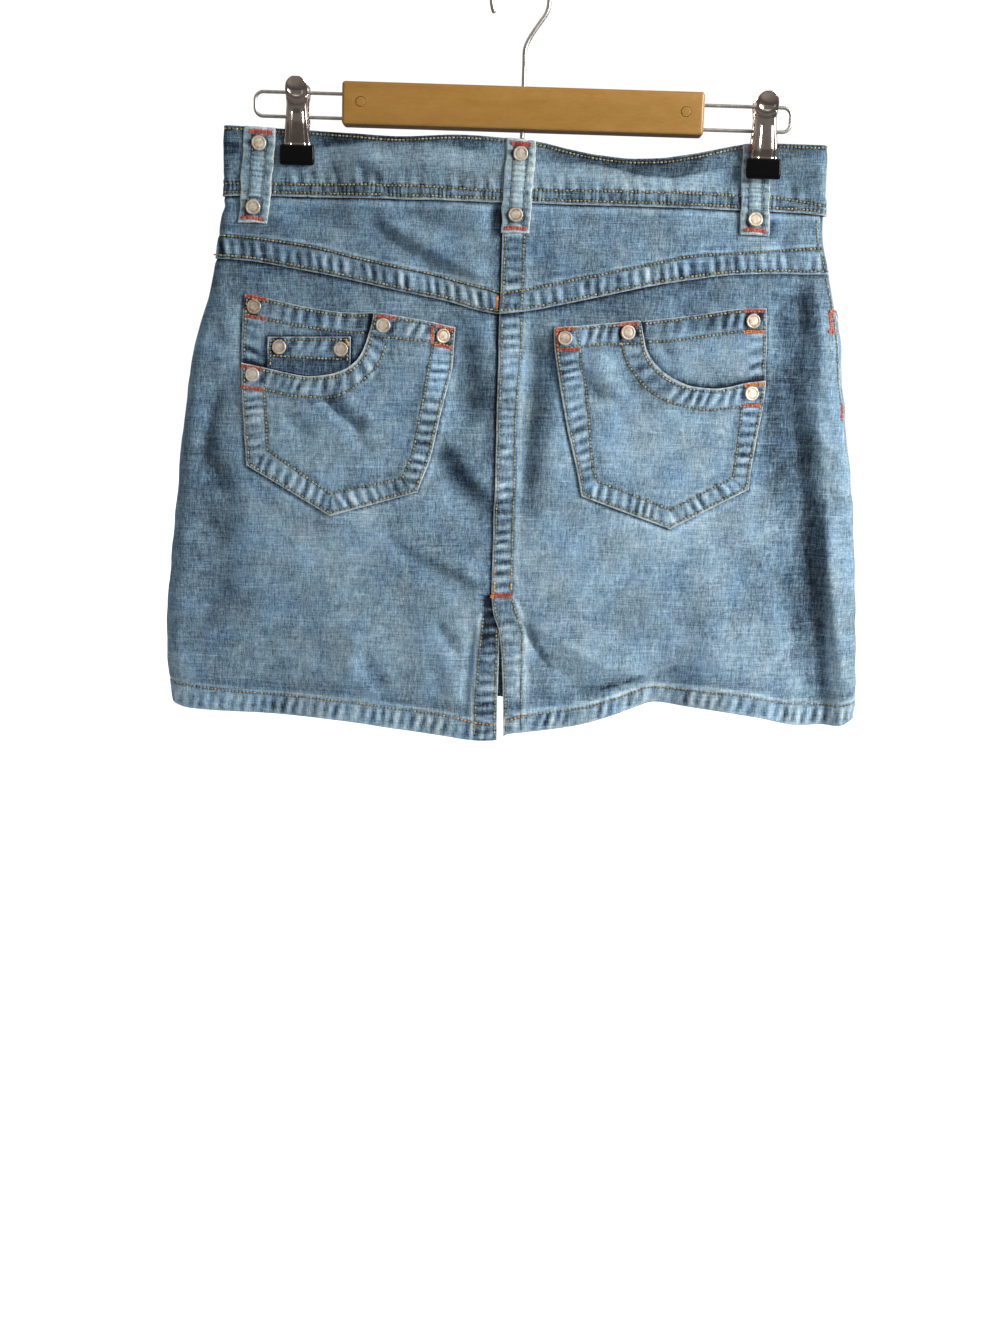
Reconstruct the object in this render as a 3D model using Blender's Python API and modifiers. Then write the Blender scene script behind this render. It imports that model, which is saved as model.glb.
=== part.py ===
"""Denim skirt on a clip hanger.

The frame: millimetres in the tables, metres in the scene. The origin is the
inside top of the hanger's hook. +Z is up, +Y is the side of the skirt's front,
-Y the side of its back, and +X the wearer's right.
"""

import math

import bmesh
import bpy
import numpy as np
from mathutils import Matrix, Vector

MM = 0.001

# ------------------------------------------------------------------ sizes, mm
CLOTH = 1.2            # wall of the panels, yokes and pockets' backing
BAND = 1.6             # waistband, two layers of denim
PATCH = 1.0            # patch pockets, their facings and the tab pocket
LOOP = 1.4             # belt loops, folded strip
GAP = 0.3              # between pieces at a seam
SEAM_LAP = 0.15        # half of that gap, taken from each piece

BAND_HEIGHT = 42.0
CENTRE_BACK_X = -10.6  # folded edge of the felled seam
VENT_TOP_Z = -389.0
FRONT_OVERLAP = 17.0   # how far each waistband end passes the centre front
PASSING = 1.15         # how far out or in each end stands there

RIVET_R, RIVET_TOP_R, RIVET_H = 4.75, 3.9, 1.3
BUTTON_R, BUTTON_H = 8.5, 3.2

BAR_HALF, BAR_Z, BAR_HALF_H, BAR_HALF_T = 113.7, -81.4, 13.2, 7.5
PLUG_X, PLUG_R, PLUG_DEEP = 102.0, 3.0, 1.5
WIRE_R, WIRE_RISE, WIRE_END = 1.1, 8.0, 169.0
HOOK_WIRE_R, HOOK_R = 1.4, 17.9
HOOK_X, HOOK_Z = -3.6, -16.5
HOOK_TIP_DEG = 202.0
CLIP_X = {"left": -142.0, "right": 152.6}
PAD_W, PAD_H, PAD_T, PAD_Z = 22.0, 13.4, 3.2, -113.4

# ------------------------------------------------------------------ tables, mm
# One row for each ring of the skirt, top to bottom: height, where its left and
# right edges are, the radius of the fold at the side, and how far its back and
# front stand from the middle plane.
RINGS = (
    # z,     left,   right,  fold, back, front
    (-90.0, -188.0, 192.0, 3.4, 7.5, 7.0),
    (-110.0, -188.2, 192.8, 3.6, 8.5, 8.0),
    (-130.0, -188.4, 194.0, 4.2, 11.0, 10.0),
    (-150.0, -189.6, 194.6, 5.0, 14.0, 13.0),
    (-177.0, -193.0, 200.6, 6.5, 18.5, 17.0),
    (-207.0, -200.1, 207.8, 8.0, 22.0, 21.0),
    (-240.0, -208.8, 212.2, 9.0, 25.0, 24.0),
    (-280.0, -214.6, 218.2, 10.0, 27.5, 26.5),
    (-330.0, -219.6, 225.8, 11.0, 30.0, 28.5),
    (-385.0, -225.2, 231.2, 12.0, 32.5, 30.0),
    (-430.0, -227.6, 235.2, 12.5, 34.5, 31.0),
    (-460.0, -225.0, 236.4, 12.5, 36.0, 31.5),
    (-490.0, -218.0, 236.0, 12.0, 37.0, 32.0),
)

# Edges and seams across the back and the front: place across, height.
BACK_TOP = (
    # x,      z
    (-188.0, -96.6), (-132.0, -98.0), (-78.0, -100.8), (-37.0, -98.6),
    (-9.5, -99.8), (9.0, -101.4), (29.0, -105.4), (50.0, -108.8),
    (71.0, -110.4), (86.0, -109.8), (106.0, -106.6), (143.0, -98.0),
    (164.0, -97.0), (192.0, -97.4),
)
FRONT_TOP = (
    # x,      z
    (-188.0, -96.6), (-142.0, -98.6), (-70.0, -111.0), (0.0, -118.0),
    (80.0, -112.0), (152.0, -98.6), (192.0, -97.4),
)
BACK_BAND_LOW = (
    # x,      z
    (-190.0, -140.0), (-160.0, -139.0), (0.0, -139.4), (140.0, -139.0),
    (176.0, -139.4), (194.0, -140.6),
)
FRONT_BAND_LOW = (
    # x,      z
    (-190.0, -140.0), (-142.0, -143.0), (-70.0, -154.0), (0.0, -160.0),
    (80.0, -154.0), (152.0, -143.0), (194.0, -140.6),
)
YOKE_SEAM = (
    # x,      z
    (-193.0, -178.6), (-172.0, -179.6), (-145.0, -183.4), (-117.0, -187.8),
    (-76.0, -195.6), (-48.0, -200.6), (-10.6, -208.0), (5.0, -206.2),
    (32.5, -200.4), (54.6, -195.2), (82.0, -188.6), (109.0, -183.4),
    (136.0, -179.4), (164.0, -177.6), (200.0, -176.8),
)
BACK_HEM = (
    # x,      z
    (-225.0, -466.6), (-208.0, -467.8), (-184.0, -468.4), (-156.0, -470.2),
    (-127.0, -472.0), (-98.0, -474.6), (-70.0, -477.6), (-40.0, -481.4),
    (-19.0, -483.8), (-5.0, -482.6), (3.0, -479.6), (14.0, -477.8),
    (43.0, -473.6), (71.0, -467.4), (88.0, -462.8), (100.0, -461.2),
    (118.0, -461.8), (140.0, -463.4), (166.0, -466.0), (202.0, -467.8),
    (222.0, -467.0), (236.0, -464.6),
)
FRONT_HEM = (
    # x,      z
    (-225.0, -466.6), (-150.0, -468.6), (-60.0, -467.4), (0.0, -466.6),
    (70.0, -467.6), (160.0, -468.0), (236.0, -464.6),
)
# The two edges of the vent, from its top down.
VENT_EDGES = (
    # z,      left flap, right flap
    (-389.0, -10.75, -10.45),
    (-398.0, -10.4, -7.4),
    (-410.0, -8.4, -3.9),
    (-430.0, -5.8, -1.4),
    (-455.0, -5.0, 0.4),
    (-484.0, -4.4, 1.4),
)
# The mouth of a front pocket, as shares of the way from the waistband out to
# the side seam, and of the way down.
MOUTH_TOP_SHARE = 0.56   # where it starts on the front's width
MOUTH_SIDE_Z = -199.0    # where it meets the side seam

# The largest folds. Each runs along a line from its top to its foot; depth is
# inwards, so a ridge has a negative depth. fade is the length of its ends.
FOLDS = (
    # side, x_top, z_top, x_foot, z_foot, width, depth, fade
    ("back", 172.0, -190.0, 208.0, -530.0, 19.0, 8.0, 60.0),
    ("back", 97.0, -395.0, 101.0, -560.0, 28.0, 16.0, 72.0),
    ("back", -26.0, -235.0, -30.0, -335.0, 12.0, 2.6, 40.0),
    ("back", 13.0, -236.0, 17.0, -356.0, 9.0, 2.6, 40.0),
    ("back", -96.0, -150.0, -20.0, -196.0, 12.0, 2.4, 30.0),
    ("back", -8.0, -405.0, -4.0, -560.0, 38.0, -4.0, 70.0),
    ("back", -150.0, -395.0, -162.0, -560.0, 34.0, 5.0, 72.0),
    ("back", 160.0, -405.0, 164.0, -560.0, 24.0, -4.0, 60.0),
    ("back", 72.0, -86.0, 72.0, -112.0, 38.0, -5.0, 12.0),
    ("back", -70.0, -86.0, -74.0, -118.0, 34.0, -2.0, 14.0),
    ("front", -60.0, -370.0, -66.0, -560.0, 32.0, 8.0, 84.0),
    ("front", 70.0, -350.0, 86.0, -560.0, 34.0, 9.0, 84.0),
    ("front", 160.0, -380.0, 172.0, -560.0, 28.0, 5.0, 76.0),
    ("front", -166.0, -360.0, -174.0, -560.0, 28.0, 5.0, 76.0),
    ("front", 30.0, -165.0, 90.0, -230.0, 16.0, 2.6, 34.0),
    ("front", -30.0, -168.0, -96.0, -226.0, 16.0, 2.4, 34.0),
)
# The clips press back and front together: place across, half width of the flat
# stretch, how far it takes to open out again across and down.
PINCHES = (
    # x,     flat,  across, z_flat, down
    (-142.0, 15.0, 28.0, -122.0, 46.0),
    (152.6, 15.0, 27.0, -122.0, 46.0),
)
PINCHED = 1.2            # a wall's middle from the middle plane under a clip

# Belt loops: side, middle at the top and foot, width at the top and foot, foot.
LOOPS = {
    # name:               side,    x_top, x_foot, w_top, w_foot, z_foot
    "belt_loop_back_left": ("back", -165.4, -169.6, 19.8, 18.8, -156.6),
    "belt_loop_back_centre": ("back", -0.4, -2.6, 18.4, 18.0, -158.4),
    "belt_loop_back_right": ("back", 148.6, 149.4, 17.8, 18.2, -154.6),
    "belt_loop_front_left": ("front", -92.0, -93.0, 18.4, 18.2, -168.0),
    "belt_loop_front_right": ("front", 96.0, 97.0, 18.4, 18.2, -168.0),
}
# Rivets on the cloth: side, place, height, and how far out the cloth stands.
RIVETS = {
    # name:                     side,   x,      z,      under
    "rivet_loop_left_top": ("back", -166.4, -107.0, 2.75),
    "rivet_loop_left_foot": ("back", -169.4, -146.4, 2.75),
    "rivet_loop_centre_top": ("back", -0.6, -109.6, 2.75),
    "rivet_loop_centre_foot": ("back", -2.6, -147.4, 2.75),
    "rivet_loop_right_top": ("back", 148.7, -107.6, 2.75),
    "rivet_loop_right_foot": ("back", 149.3, -145.3, 2.75),
    "rivet_front_left_top": ("front", -92.2, -118.6, 3.2),
    "rivet_front_left_foot": ("front", -92.9, -158.6, 3.2),
    "rivet_front_right_top": ("front", 96.2, -118.6, 3.2),
    "rivet_front_right_foot": ("front", 96.9, -158.6, 3.2),
    "rivet_pocket_left_corner": ("back", -167.4, -208.2, 2.3),
    "rivet_pocket_left_mouth": ("back", -84.0, -218.0, 3.6),
    "rivet_pocket_left_inner": ("back", -47.4, -222.4, 3.6),
    "rivet_pocket_left_outer": ("back", -167.6, -251.0, 3.6),
    "rivet_tab_outer": ("back", -150.4, -233.2, 3.6),
    "rivet_tab_inner": ("back", -110.6, -233.4, 3.6),
    "rivet_pocket_right_inner": ("back", 31.2, -222.6, 3.6),
    "rivet_pocket_right_mouth": ("back", 70.6, -217.6, 3.6),
    "rivet_pocket_right_corner": ("back", 150.4, -207.8, 2.3),
    "rivet_pocket_right_outer": ("back", 151.4, -253.0, 3.6),
}
# Patch pockets: the edge of the scooped mouth, from the outside in, then the
# outline's sides and its tip. Left is the wearer's left.
LEFT_MOUTH = (
    # x,      z
    (-175.6, -243.6), (-159.3, -246.4), (-145.3, -249.0), (-131.9, -250.8),
    (-118.0, -249.4), (-106.0, -245.4), (-98.6, -238.6), (-94.2, -229.0),
    (-91.4, -217.0), (-90.0, -210.0), (-76.0, -211.4), (-64.0, -213.0),
    (-51.0, -214.7), (-38.0, -216.4),
)
LEFT_TOP = (
    # x,      z
    (-173.8, -200.4), (-156.9, -203.2), (-124.0, -208.8), (-104.5, -210.4),
    (-90.6, -209.7),
)
RIGHT_MOUTH = (
    # x,      z
    (24.0, -216.0), (36.0, -214.8), (49.0, -213.3), (64.0, -211.5),
    (78.4, -209.8), (80.0, -217.0),
    (82.6, -228.0), (88.6, -237.4), (98.7, -245.0), (112.9, -249.8),
    (126.3, -250.6), (136.4, -249.2), (146.4, -246.6), (160.4, -244.4),
)
RIGHT_TOP = (
    # x,      z
    (79.2, -209.9), (110.0, -205.6), (143.6, -200.2), (158.8, -199.4),
)
POCKETS = {
    # name: z of the sides' table, then outer edge and inner edge at each
    "left": {
        "sides": (
            # z,      low x,   high x
            (-200.0, -173.8, -38.0), (-232.0, -175.4, -39.0),
            (-265.0, -174.2, -45.4), (-289.0, -173.0, -49.8),
            (-322.0, -170.6, -60.0),
        ),
        "foot": ((-171.4, -308.6), (-116.4, -339.0), (-59.9, -321.8)),
    },
    "right": {
        "sides": (
            # z,      low x,  high x
            (-199.4, 23.6, 158.8), (-220.0, 24.2, 160.0),
            (-243.0, 27.4, 160.4), (-277.0, 33.8, 157.2),
            (-307.0, 42.1, 153.6), (-321.0, 45.2, 153.0),
        ),
        "foot": ((45.2, -321.0), (103.0, -340.5), (153.1, -313.8)),
    },
}
TAB = {"left": -158.0, "right": -104.4, "top_left": -227.0, "top_right": -225.2,
       "clear": 1.0}

# A clip's lever, from its thumb end down: height, how far it stands from the
# middle plane, half its width, and how deep its side flanges are.
LEVER = (
    # z,     out,  half, flange
    (-67.4, 12.2, 2.4, 0.7),
    (-68.9, 11.6, 4.8, 0.8),
    (-71.4, 10.6, 6.5, 1.0),
    (-74.6, 9.4, 7.0, 1.3),
    (-78.0, 8.3, 6.7, 2.0),
    (-81.4, 7.6, 6.6, 2.8),
    (-86.0, 7.1, 6.9, 3.0),
    (-94.0, 6.6, 7.6, 2.8),
    (-101.0, 5.6, 8.3, 1.9),
    (-106.2, 4.6, 8.6, 1.0),
)


# ------------------------------------------------------------------ interpolation
def smooth(rows, column=1):
    """A function through the rows of a table, with no overshoot."""
    x = np.array([row[0] for row in rows], float)
    y = np.array([row[column] for row in rows], float)
    if x[0] > x[-1]:
        x, y = x[::-1], y[::-1]
    h, d = np.diff(x), np.diff(y) / np.diff(x)
    slope = np.zeros(len(x))
    slope[0], slope[-1] = d[0], d[-1]
    for i in range(1, len(x) - 1):
        if d[i - 1] * d[i] > 0:
            a, b = 2 * h[i] + h[i - 1], h[i] + 2 * h[i - 1]
            slope[i] = (a + b) / (a / d[i - 1] + b / d[i])

    def value(at):
        at = min(max(at, x[0]), x[-1])
        i = min(int(np.searchsorted(x, at, side="right")) - 1, len(x) - 2)
        t = (at - x[i]) / h[i]
        return float(
            (1 + 2 * t) * (1 - t) ** 2 * y[i]
            + t * (1 - t) ** 2 * h[i] * slope[i]
            + t * t * (3 - 2 * t) * y[i + 1]
            + t * t * (t - 1) * h[i] * slope[i + 1]
        )

    return value


def step(t):
    t = min(max(t, 0.0), 1.0)
    return t * t * (3 - 2 * t)


ring_left, ring_right, ring_fold, ring_back, ring_front = (
    smooth(RINGS, column) for column in range(1, 6)
)
top_of = {"back": smooth(BACK_TOP), "front": smooth(FRONT_TOP)}
band_low_of = {"back": smooth(BACK_BAND_LOW), "front": smooth(FRONT_BAND_LOW)}
hem_of = {"back": smooth(BACK_HEM), "front": smooth(FRONT_HEM)}
yoke_seam = smooth(YOKE_SEAM)
vent_left, vent_right = smooth(VENT_EDGES, 1), smooth(VENT_EDGES, 2)


# ------------------------------------------------------------------ the skirt's surface
# A place on the skirt is (u, z). u runs round the ring: -1 at the left fold, 0
# at the centre back, 1 at the right fold, 2 at the centre front, 3 at the left.
def ring(z):
    left, right = ring_left(z), ring_right(z)
    fold = ring_fold(z)
    half = (right - left) / 2
    return (left + right) / 2, half, fold, half + (math.pi / 2 - 1) * fold


def place(u, z):
    """(x, y, z) of the cloth's middle at a place on the skirt."""
    u = (u + 1) % 4 - 1
    back = u <= 1
    across = u if back else 2 - u
    middle, half, fold, quarter = ring(z)
    way = (1 - abs(across)) * quarter
    if way < fold * math.pi / 2:
        inset = fold * (1 - math.cos(way / fold))
        cap = fold * math.sin(way / fold)
    else:
        inset, cap = way - fold * (math.pi / 2 - 1), fold
    x = middle + math.copysign(half - inset, across)
    deep = ring_back(z) if back else ring_front(z)
    out = cap + (deep - fold) * math.sin(math.pi / 2 * min(inset / half, 1.0))
    side = "back" if back else "front"
    near_fold = step(inset / (2.2 * fold))
    for where, x0, z0, x1, z1, width, depth, fade in FOLDS:
        if where != side:
            continue
        length = math.hypot(x1 - x0, z1 - z0)
        along = ((x - x0) * (x1 - x0) + (z - z0) * (z1 - z0)) / length
        off = ((x - x0) * (z1 - z0) - (z - z0) * (x1 - x0)) / length
        ends = step(along / fade) * step((length - along) / fade)
        out -= depth * math.exp(-((off / width) ** 2)) * ends * near_fold
    for x0, flat, wide, z_flat, down in PINCHES:
        held = (1 - step((abs(x - x0) - flat) / wide)) * (1 - step((z_flat - z) / down))
        out += (PINCHED - out) * held * near_fold
    return Vector((x, -out if back else out, z))


def u_of(side, x, z):
    """Where a place across the back or the front is, round the ring."""
    middle, half, fold, quarter = ring(z)
    inset = max(half - abs(x - middle), 0.0)
    if inset < fold:
        way = fold * math.acos(1 - inset / fold)
    else:
        way = inset + fold * (math.pi / 2 - 1)
    across = math.copysign(1 - way / quarter, x - middle)
    return across if side == "back" else 2 - across


def lifted(u, z, out):
    """A place on the skirt, moved out from the cloth's middle."""
    at = place(u, z)
    if not out:
        return at
    du, dz = 0.004, 0.8
    normal = (place(u + du, z) - place(u - du, z)).cross(
        place(u, z + dz) - place(u, z - dz)
    )
    return at + normal.normalized() * out


def on(side, x, z, out):
    return lifted(u_of(side, x, z), z, out)


def height(table, u):
    """The height of an edge table where it crosses this u."""
    z = -200.0
    for _ in range(12):
        z = table(place(u, z).x)
    return z


def side_seam(which, z):
    """u of a side seam: just behind the fold on the right, before it on the left."""
    quarter = ring(z)[3]
    return 1 - 6.0 / quarter if which == "right" else -1 - 6.0 / quarter


# ------------------------------------------------------------------ making objects
def clear_scene():
    for obj in list(bpy.data.objects):
        bpy.data.objects.remove(obj, do_unlink=True)


def new_collection(name):
    collection = bpy.data.collections.new(name)
    bpy.context.scene.collection.children.link(collection)
    return collection


def material(name, colour, roughness, metallic=0.0):
    made = bpy.data.materials.new(name)
    made.use_nodes = True
    shader = made.node_tree.nodes["Principled BSDF"]
    shader.inputs["Base Color"].default_value = (*colour, 1.0)
    shader.inputs["Roughness"].default_value = roughness
    shader.inputs["Metallic"].default_value = metallic
    return made


LOOKS = {
    # kind: colour, roughness, metallic
    "denim": ((0.22, 0.34, 0.47), 0.9, 0.0),
    "metal": ((0.72, 0.72, 0.70), 0.3, 1.0),
    "wood": ((0.39, 0.20, 0.04), 0.4, 0.0),
    "chrome": ((0.80, 0.80, 0.80), 0.12, 1.0),
    "rubber": ((0.012, 0.012, 0.012), 0.3, 0.0),
}


def finish(obj, kind, smooth_angle=None):
    PARTS.objects.link(obj)
    if not obj.data.materials:
        colour, roughness, metallic = LOOKS[kind]
        obj.data.materials.append(material(f"{obj.name}_{kind}", colour, roughness, metallic))
    if smooth_angle is not None and obj.type == "MESH":
        obj.data.shade_smooth()
        obj.data.set_sharp_from_angle(angle=math.radians(smooth_angle))
    return obj


def sheet(name, columns, rows, where, wall, kind="denim"):
    """An open grid moved to where(s, r), and thickened both ways. s runs along
    the columns' list from 0 to 1, and r from 0 at the top to 1 at the foot."""
    shape = bmesh.new()
    nx, nz = len(columns) - 1, len(rows) - 1
    bmesh.ops.create_grid(shape, x_segments=nx, y_segments=nz, size=1.0)
    for vertex in shape.verts:
        i = round((vertex.co.x + 1) / 2 * nx)
        j = round((1 - vertex.co.y) / 2 * nz)
        vertex.co = where(columns[i], rows[j]) * MM
    mesh = bpy.data.meshes.new(name)
    shape.to_mesh(mesh)
    shape.free()
    obj = finish(bpy.data.objects.new(name, mesh), kind, 60)
    thick = obj.modifiers.new("wall", "SOLIDIFY")
    thick.thickness = wall * MM
    thick.offset = 0.0
    thick.use_even_offset = False
    return obj


def evenly(count):
    return [i / count for i in range(count + 1)]


def from_fold(length, first, growth, turn, widest=14.0):
    """Shares of a width, close together where the cloth turns at a fold."""
    steps, size = [0.0], first
    while steps[-1] < length:
        steps.append(steps[-1] + size)
        if steps[-1] > turn:
            size = min(size * growth, widest)
    return [value / steps[-1] for value in steps]


# ------------------------------------------------------------------ panels
def between(u_low, u_high, z_top, z_foot, out=0.0):
    """A piece between two seams, given as u at a height, and two edges, given
    as a height at a u."""

    def where(s, r):
        z = -250.0
        u = 0.0
        for _ in range(9):
            low, high = u_low(z), u_high(z)
            u = low + (high - low) * s
            top, foot = z_top(u), z_foot(u)
            z = top + (foot - top) * r
        amount = out(u, z) if callable(out) else out
        return lifted(u, z, amount)

    return where


def centre_back(which):
    def u(z):
        if z > VENT_TOP_Z:
            x = CENTRE_BACK_X + (-SEAM_LAP if which == "left" else SEAM_LAP)
        else:
            x = vent_left(z) if which == "left" else vent_right(z)
        return u_of("back", x, z)

    return u


def seam_at(which, lap):
    return lambda z: side_seam(which, z) + lap / ring(z)[3]


def edge(table, lap=0.0):
    return lambda u: height(table, u) + lap


def front_panel_top(which):
    """The top of a front panel: the waistband's seam, then the pocket's mouth."""
    low = band_low_of["front"]

    def z(u):
        side = abs(u - 2)
        reach = 1.0 + (6.0 if which == "left" else -6.0) / 200.0
        reach = 2 - reach if which == "left" else reach
        reach = (1 - 6.0 / 200.0) if which == "left" else (1 + 6.0 / 200.0)
        share = min(max((side - MOUTH_TOP_SHARE) / (reach - MOUTH_TOP_SHARE), 0.0), 1.0)
        seam = height(low, u) - SEAM_LAP
        if share <= 0:
            return seam
        start = height(low, 2 + math.copysign(MOUTH_TOP_SHARE, u - 2)) - SEAM_LAP
        curve = start + (MOUTH_SIDE_Z - start) * (1 - (1 - share) ** 1.7) ** 0.62 if share < 1 else MOUTH_SIDE_Z
        return min(seam, curve)

    return z


def make_panels():
    wide = from_fold(214, 4.0, 1.5, 18)
    across_left, across_right = wide, [1 - s for s in reversed(wide)]
    down = evenly(12)
    sheet("back_panel_left", across_left, down, between(
        seam_at("left", SEAM_LAP), centre_back("left"),
        edge(yoke_seam, -SEAM_LAP), edge(hem_of["back"])), CLOTH)
    sheet("back_panel_right", across_right, down, between(
        centre_back("right"), seam_at("right", -SEAM_LAP),
        edge(yoke_seam, -SEAM_LAP), edge(hem_of["back"])), CLOTH)
    sheet("back_yoke_left", across_left, evenly(4), between(
        seam_at("left", SEAM_LAP), centre_back("left"),
        edge(band_low_of["back"], -SEAM_LAP), edge(yoke_seam, SEAM_LAP)), CLOTH)
    sheet("back_yoke_right", across_right, evenly(4), between(
        centre_back("right"), seam_at("right", -SEAM_LAP),
        edge(band_low_of["back"], -SEAM_LAP), edge(yoke_seam, SEAM_LAP)), CLOTH)

    sheet("front_panel_right", across_left, down, between(
        seam_at("right", 2 * SEAM_LAP), lambda z: u_of("front", SEAM_LAP, z),
        front_panel_top("right"), edge(hem_of["front"])), CLOTH)
    sheet("front_panel_left", across_right, down, between(
        lambda z: u_of("front", -SEAM_LAP, z), lambda z: seam_at("left", -2 * SEAM_LAP)(z) + 4,
        front_panel_top("left"), edge(hem_of["front"])), CLOTH)

    # Behind each mouth, on the inside of the panel.
    inside = -(CLOTH / 2 + 2.2 * GAP + PATCH / 2)
    for which in ("right", "left"):
        mouth = front_panel_top(which)
        foot = lambda u, mouth=mouth: mouth(u) - 11.0
        if which == "right":
            where = between(seam_at("right", SEAM_LAP), lambda z: 2 - MOUTH_TOP_SHARE + 0.04,
                            edge(band_low_of["front"], -SEAM_LAP), foot, inside)
            sheet("front_pocket_facing_right", from_fold(90, 4.0, 1.5, 16), evenly(5), where, PATCH)
        else:
            where = between(lambda z: 2 + MOUTH_TOP_SHARE - 0.04, lambda z: seam_at("left", -SEAM_LAP)(z) + 4,
                            edge(band_low_of["front"], -SEAM_LAP), foot, inside)
            sheet("front_pocket_facing_left", [1 - s for s in reversed(from_fold(90, 4.0, 1.5, 16))],
                  evenly(5), where, PATCH)


def make_waistband():
    def band_top(side):
        return edge(top_of[side])

    def band_foot(side):
        return edge(band_low_of[side], 2 * SEAM_LAP)

    half = from_fold(200, 4.0, 1.5, 18)
    whole = [s / 2 for s in half] + [1 - s / 2 for s in reversed(half)][1:]

    def back_top(u):
        return band_top("back")(u) if -1 <= u <= 1 else band_top("front")(u)

    def back_foot(u):
        return band_foot("back")(u) if -1 <= u <= 1 else band_foot("front")(u)

    sheet("waistband_back", whole, evenly(3), between(
        seam_at("left", 0.35), seam_at("right", -0.35), back_top, back_foot), BAND)

    # The two ends pass each other at the centre front, the left one outside.
    def passing(amount):
        return lambda u, z: amount * (1 - step((abs(u - 2) - 0.12) / 0.16))

    def front_top(u):
        return band_top("front")(u) if 1 <= u <= 3 else band_top("back")(u)

    def front_foot(u):
        return band_foot("front")(u) if 1 <= u <= 3 else band_foot("back")(u)

    sheet("waistband_front_right", half, evenly(3), between(
        seam_at("right", 0.35), lambda z: u_of("front", -FRONT_OVERLAP, z),
        front_top, front_foot, passing(-PASSING)), BAND)
    sheet("waistband_front_left", [1 - s for s in reversed(half)], evenly(3), between(
        lambda z: u_of("front", FRONT_OVERLAP, z), lambda z: seam_at("left", -0.35)(z) + 4,
        front_top, front_foot, passing(PASSING)), BAND)


# ------------------------------------------------------------------ loops and pockets
def make_loops():
    for name, (side, x_top, x_foot, w_top, w_foot, z_foot) in LOOPS.items():
        front = side == "front"

        def where(s, r):
            x = x_top + (x_foot - x_top) * r + (s - 0.5) * (w_top + (w_foot - w_top) * r) * (-1 if front else 1)
            z_top = top_of[side](x) - 0.2
            z = z_top + (z_foot - z_top) * r
            out = BAND / 2 + GAP + LOOP / 2 + 0.7 * math.sin(math.pi * r) ** 2
            if front:
                out += 0.3
            return on(side, x, z, out)

        sheet(name, evenly(2), evenly(8), where, LOOP)


def pocket_sides(which):
    rows = POCKETS[which]["sides"]
    return smooth(rows, 1), smooth(rows, 2)


def pocket_foot(which):
    (x0, z0), (x1, z1), (x2, z2) = POCKETS[which]["foot"]
    return lambda x: z0 + (z1 - z0) * (x - x0) / (x1 - x0) if x < x1 else z1 + (z2 - z1) * (x - x1) / (x2 - x1)


def make_pockets():
    flat = CLOTH / 2 + 1.6 * GAP + PATCH / 2    # lying on the panel
    raised = flat + PATCH + GAP                 # lying on a facing
    for which, mouth_rows, top_rows in (
        ("left", LEFT_MOUTH, LEFT_TOP), ("right", RIGHT_MOUTH, RIGHT_TOP)):
        low_x, high_x = pocket_sides(which)
        foot, mouth = pocket_foot(which), smooth(mouth_rows)
        tip = POCKETS[which]["foot"][1][0]
        # A column runs down from each row of the mouth's table to the foot.
        marks = [row[0] for row in mouth_rows]
        spread = [(x - marks[0]) / (marks[-1] - marks[0]) for x in marks]
        tip_share = (tip - POCKETS[which]["foot"][0][0]) / (POCKETS[which]["foot"][2][0] - POCKETS[which]["foot"][0][0])
        nearest = min(range(1, len(spread) - 1), key=lambda i: abs(spread[i] - tip_share))

        def foot_share(s):
            at = spread[nearest]
            return tip_share * s / at if s < at else tip_share + (1 - tip_share) * (s - at) / (1 - at)

        def where(s, r):
            z_mouth = mouth(marks[0] + (marks[-1] - marks[0]) * s)
            feet = POCKETS[which]["foot"]
            x_foot = feet[0][0] + (feet[2][0] - feet[0][0]) * foot_share(s)
            z = z_mouth + (foot(x_foot) - z_mouth) * r
            share = s + (foot_share(s) - s) * r
            x = low_x(z) + (high_x(z) - low_x(z)) * share
            out = raised + (flat - raised) * step((z_mouth - 14.0 - z) / 22.0)
            return on("back", x, z, out)

        sheet(f"back_pocket_{which}", spread, [0.0, 0.07, 0.15, 0.26, 0.42, 0.62, 0.82, 1.0], where, PATCH)

        # The facing shows in the scoop, and runs on behind the pocket.
        top = smooth(top_rows)
        inner = top_rows[-1][0] if which == "left" else top_rows[0][0]

        def facing(s, r):
            if which == "left":
                low, high = top_rows[0][0], inner + 12.0
            else:
                low, high = inner - 12.0, top_rows[-1][0]
            x = low + (high - low) * s
            z_top = top(x) - (0.9 if (x > inner if which == "left" else x < inner) else 0.0)
            z_foot = min(mouth(x), z_top - 4.0) - 9.0
            z = z_top + (z_foot - z_top) * r
            if which == "left":
                x = x + (low_x(z) - low) * (1 - s)
            else:
                x = x + (high_x(z) - high) * s
            return on("back", x, z, flat)

        sheet(f"pocket_facing_{which}", evenly(8), evenly(3), facing, PATCH)

    # The tab pocket lies on the left facing, above the pocket's mouth.
    mouth = smooth(LEFT_MOUTH)

    def tab(s, r):
        x = TAB["left"] + (TAB["right"] - TAB["left"]) * s
        z_top = TAB["top_left"] + (TAB["top_right"] - TAB["top_left"]) * s
        z_foot = mouth(x) + TAB["clear"] + 0.6 * PATCH
        return on("back", x, z_top + (z_foot - z_top) * r, raised)

    sheet("coin_pocket", evenly(5), evenly(2), tab, PATCH)


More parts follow.
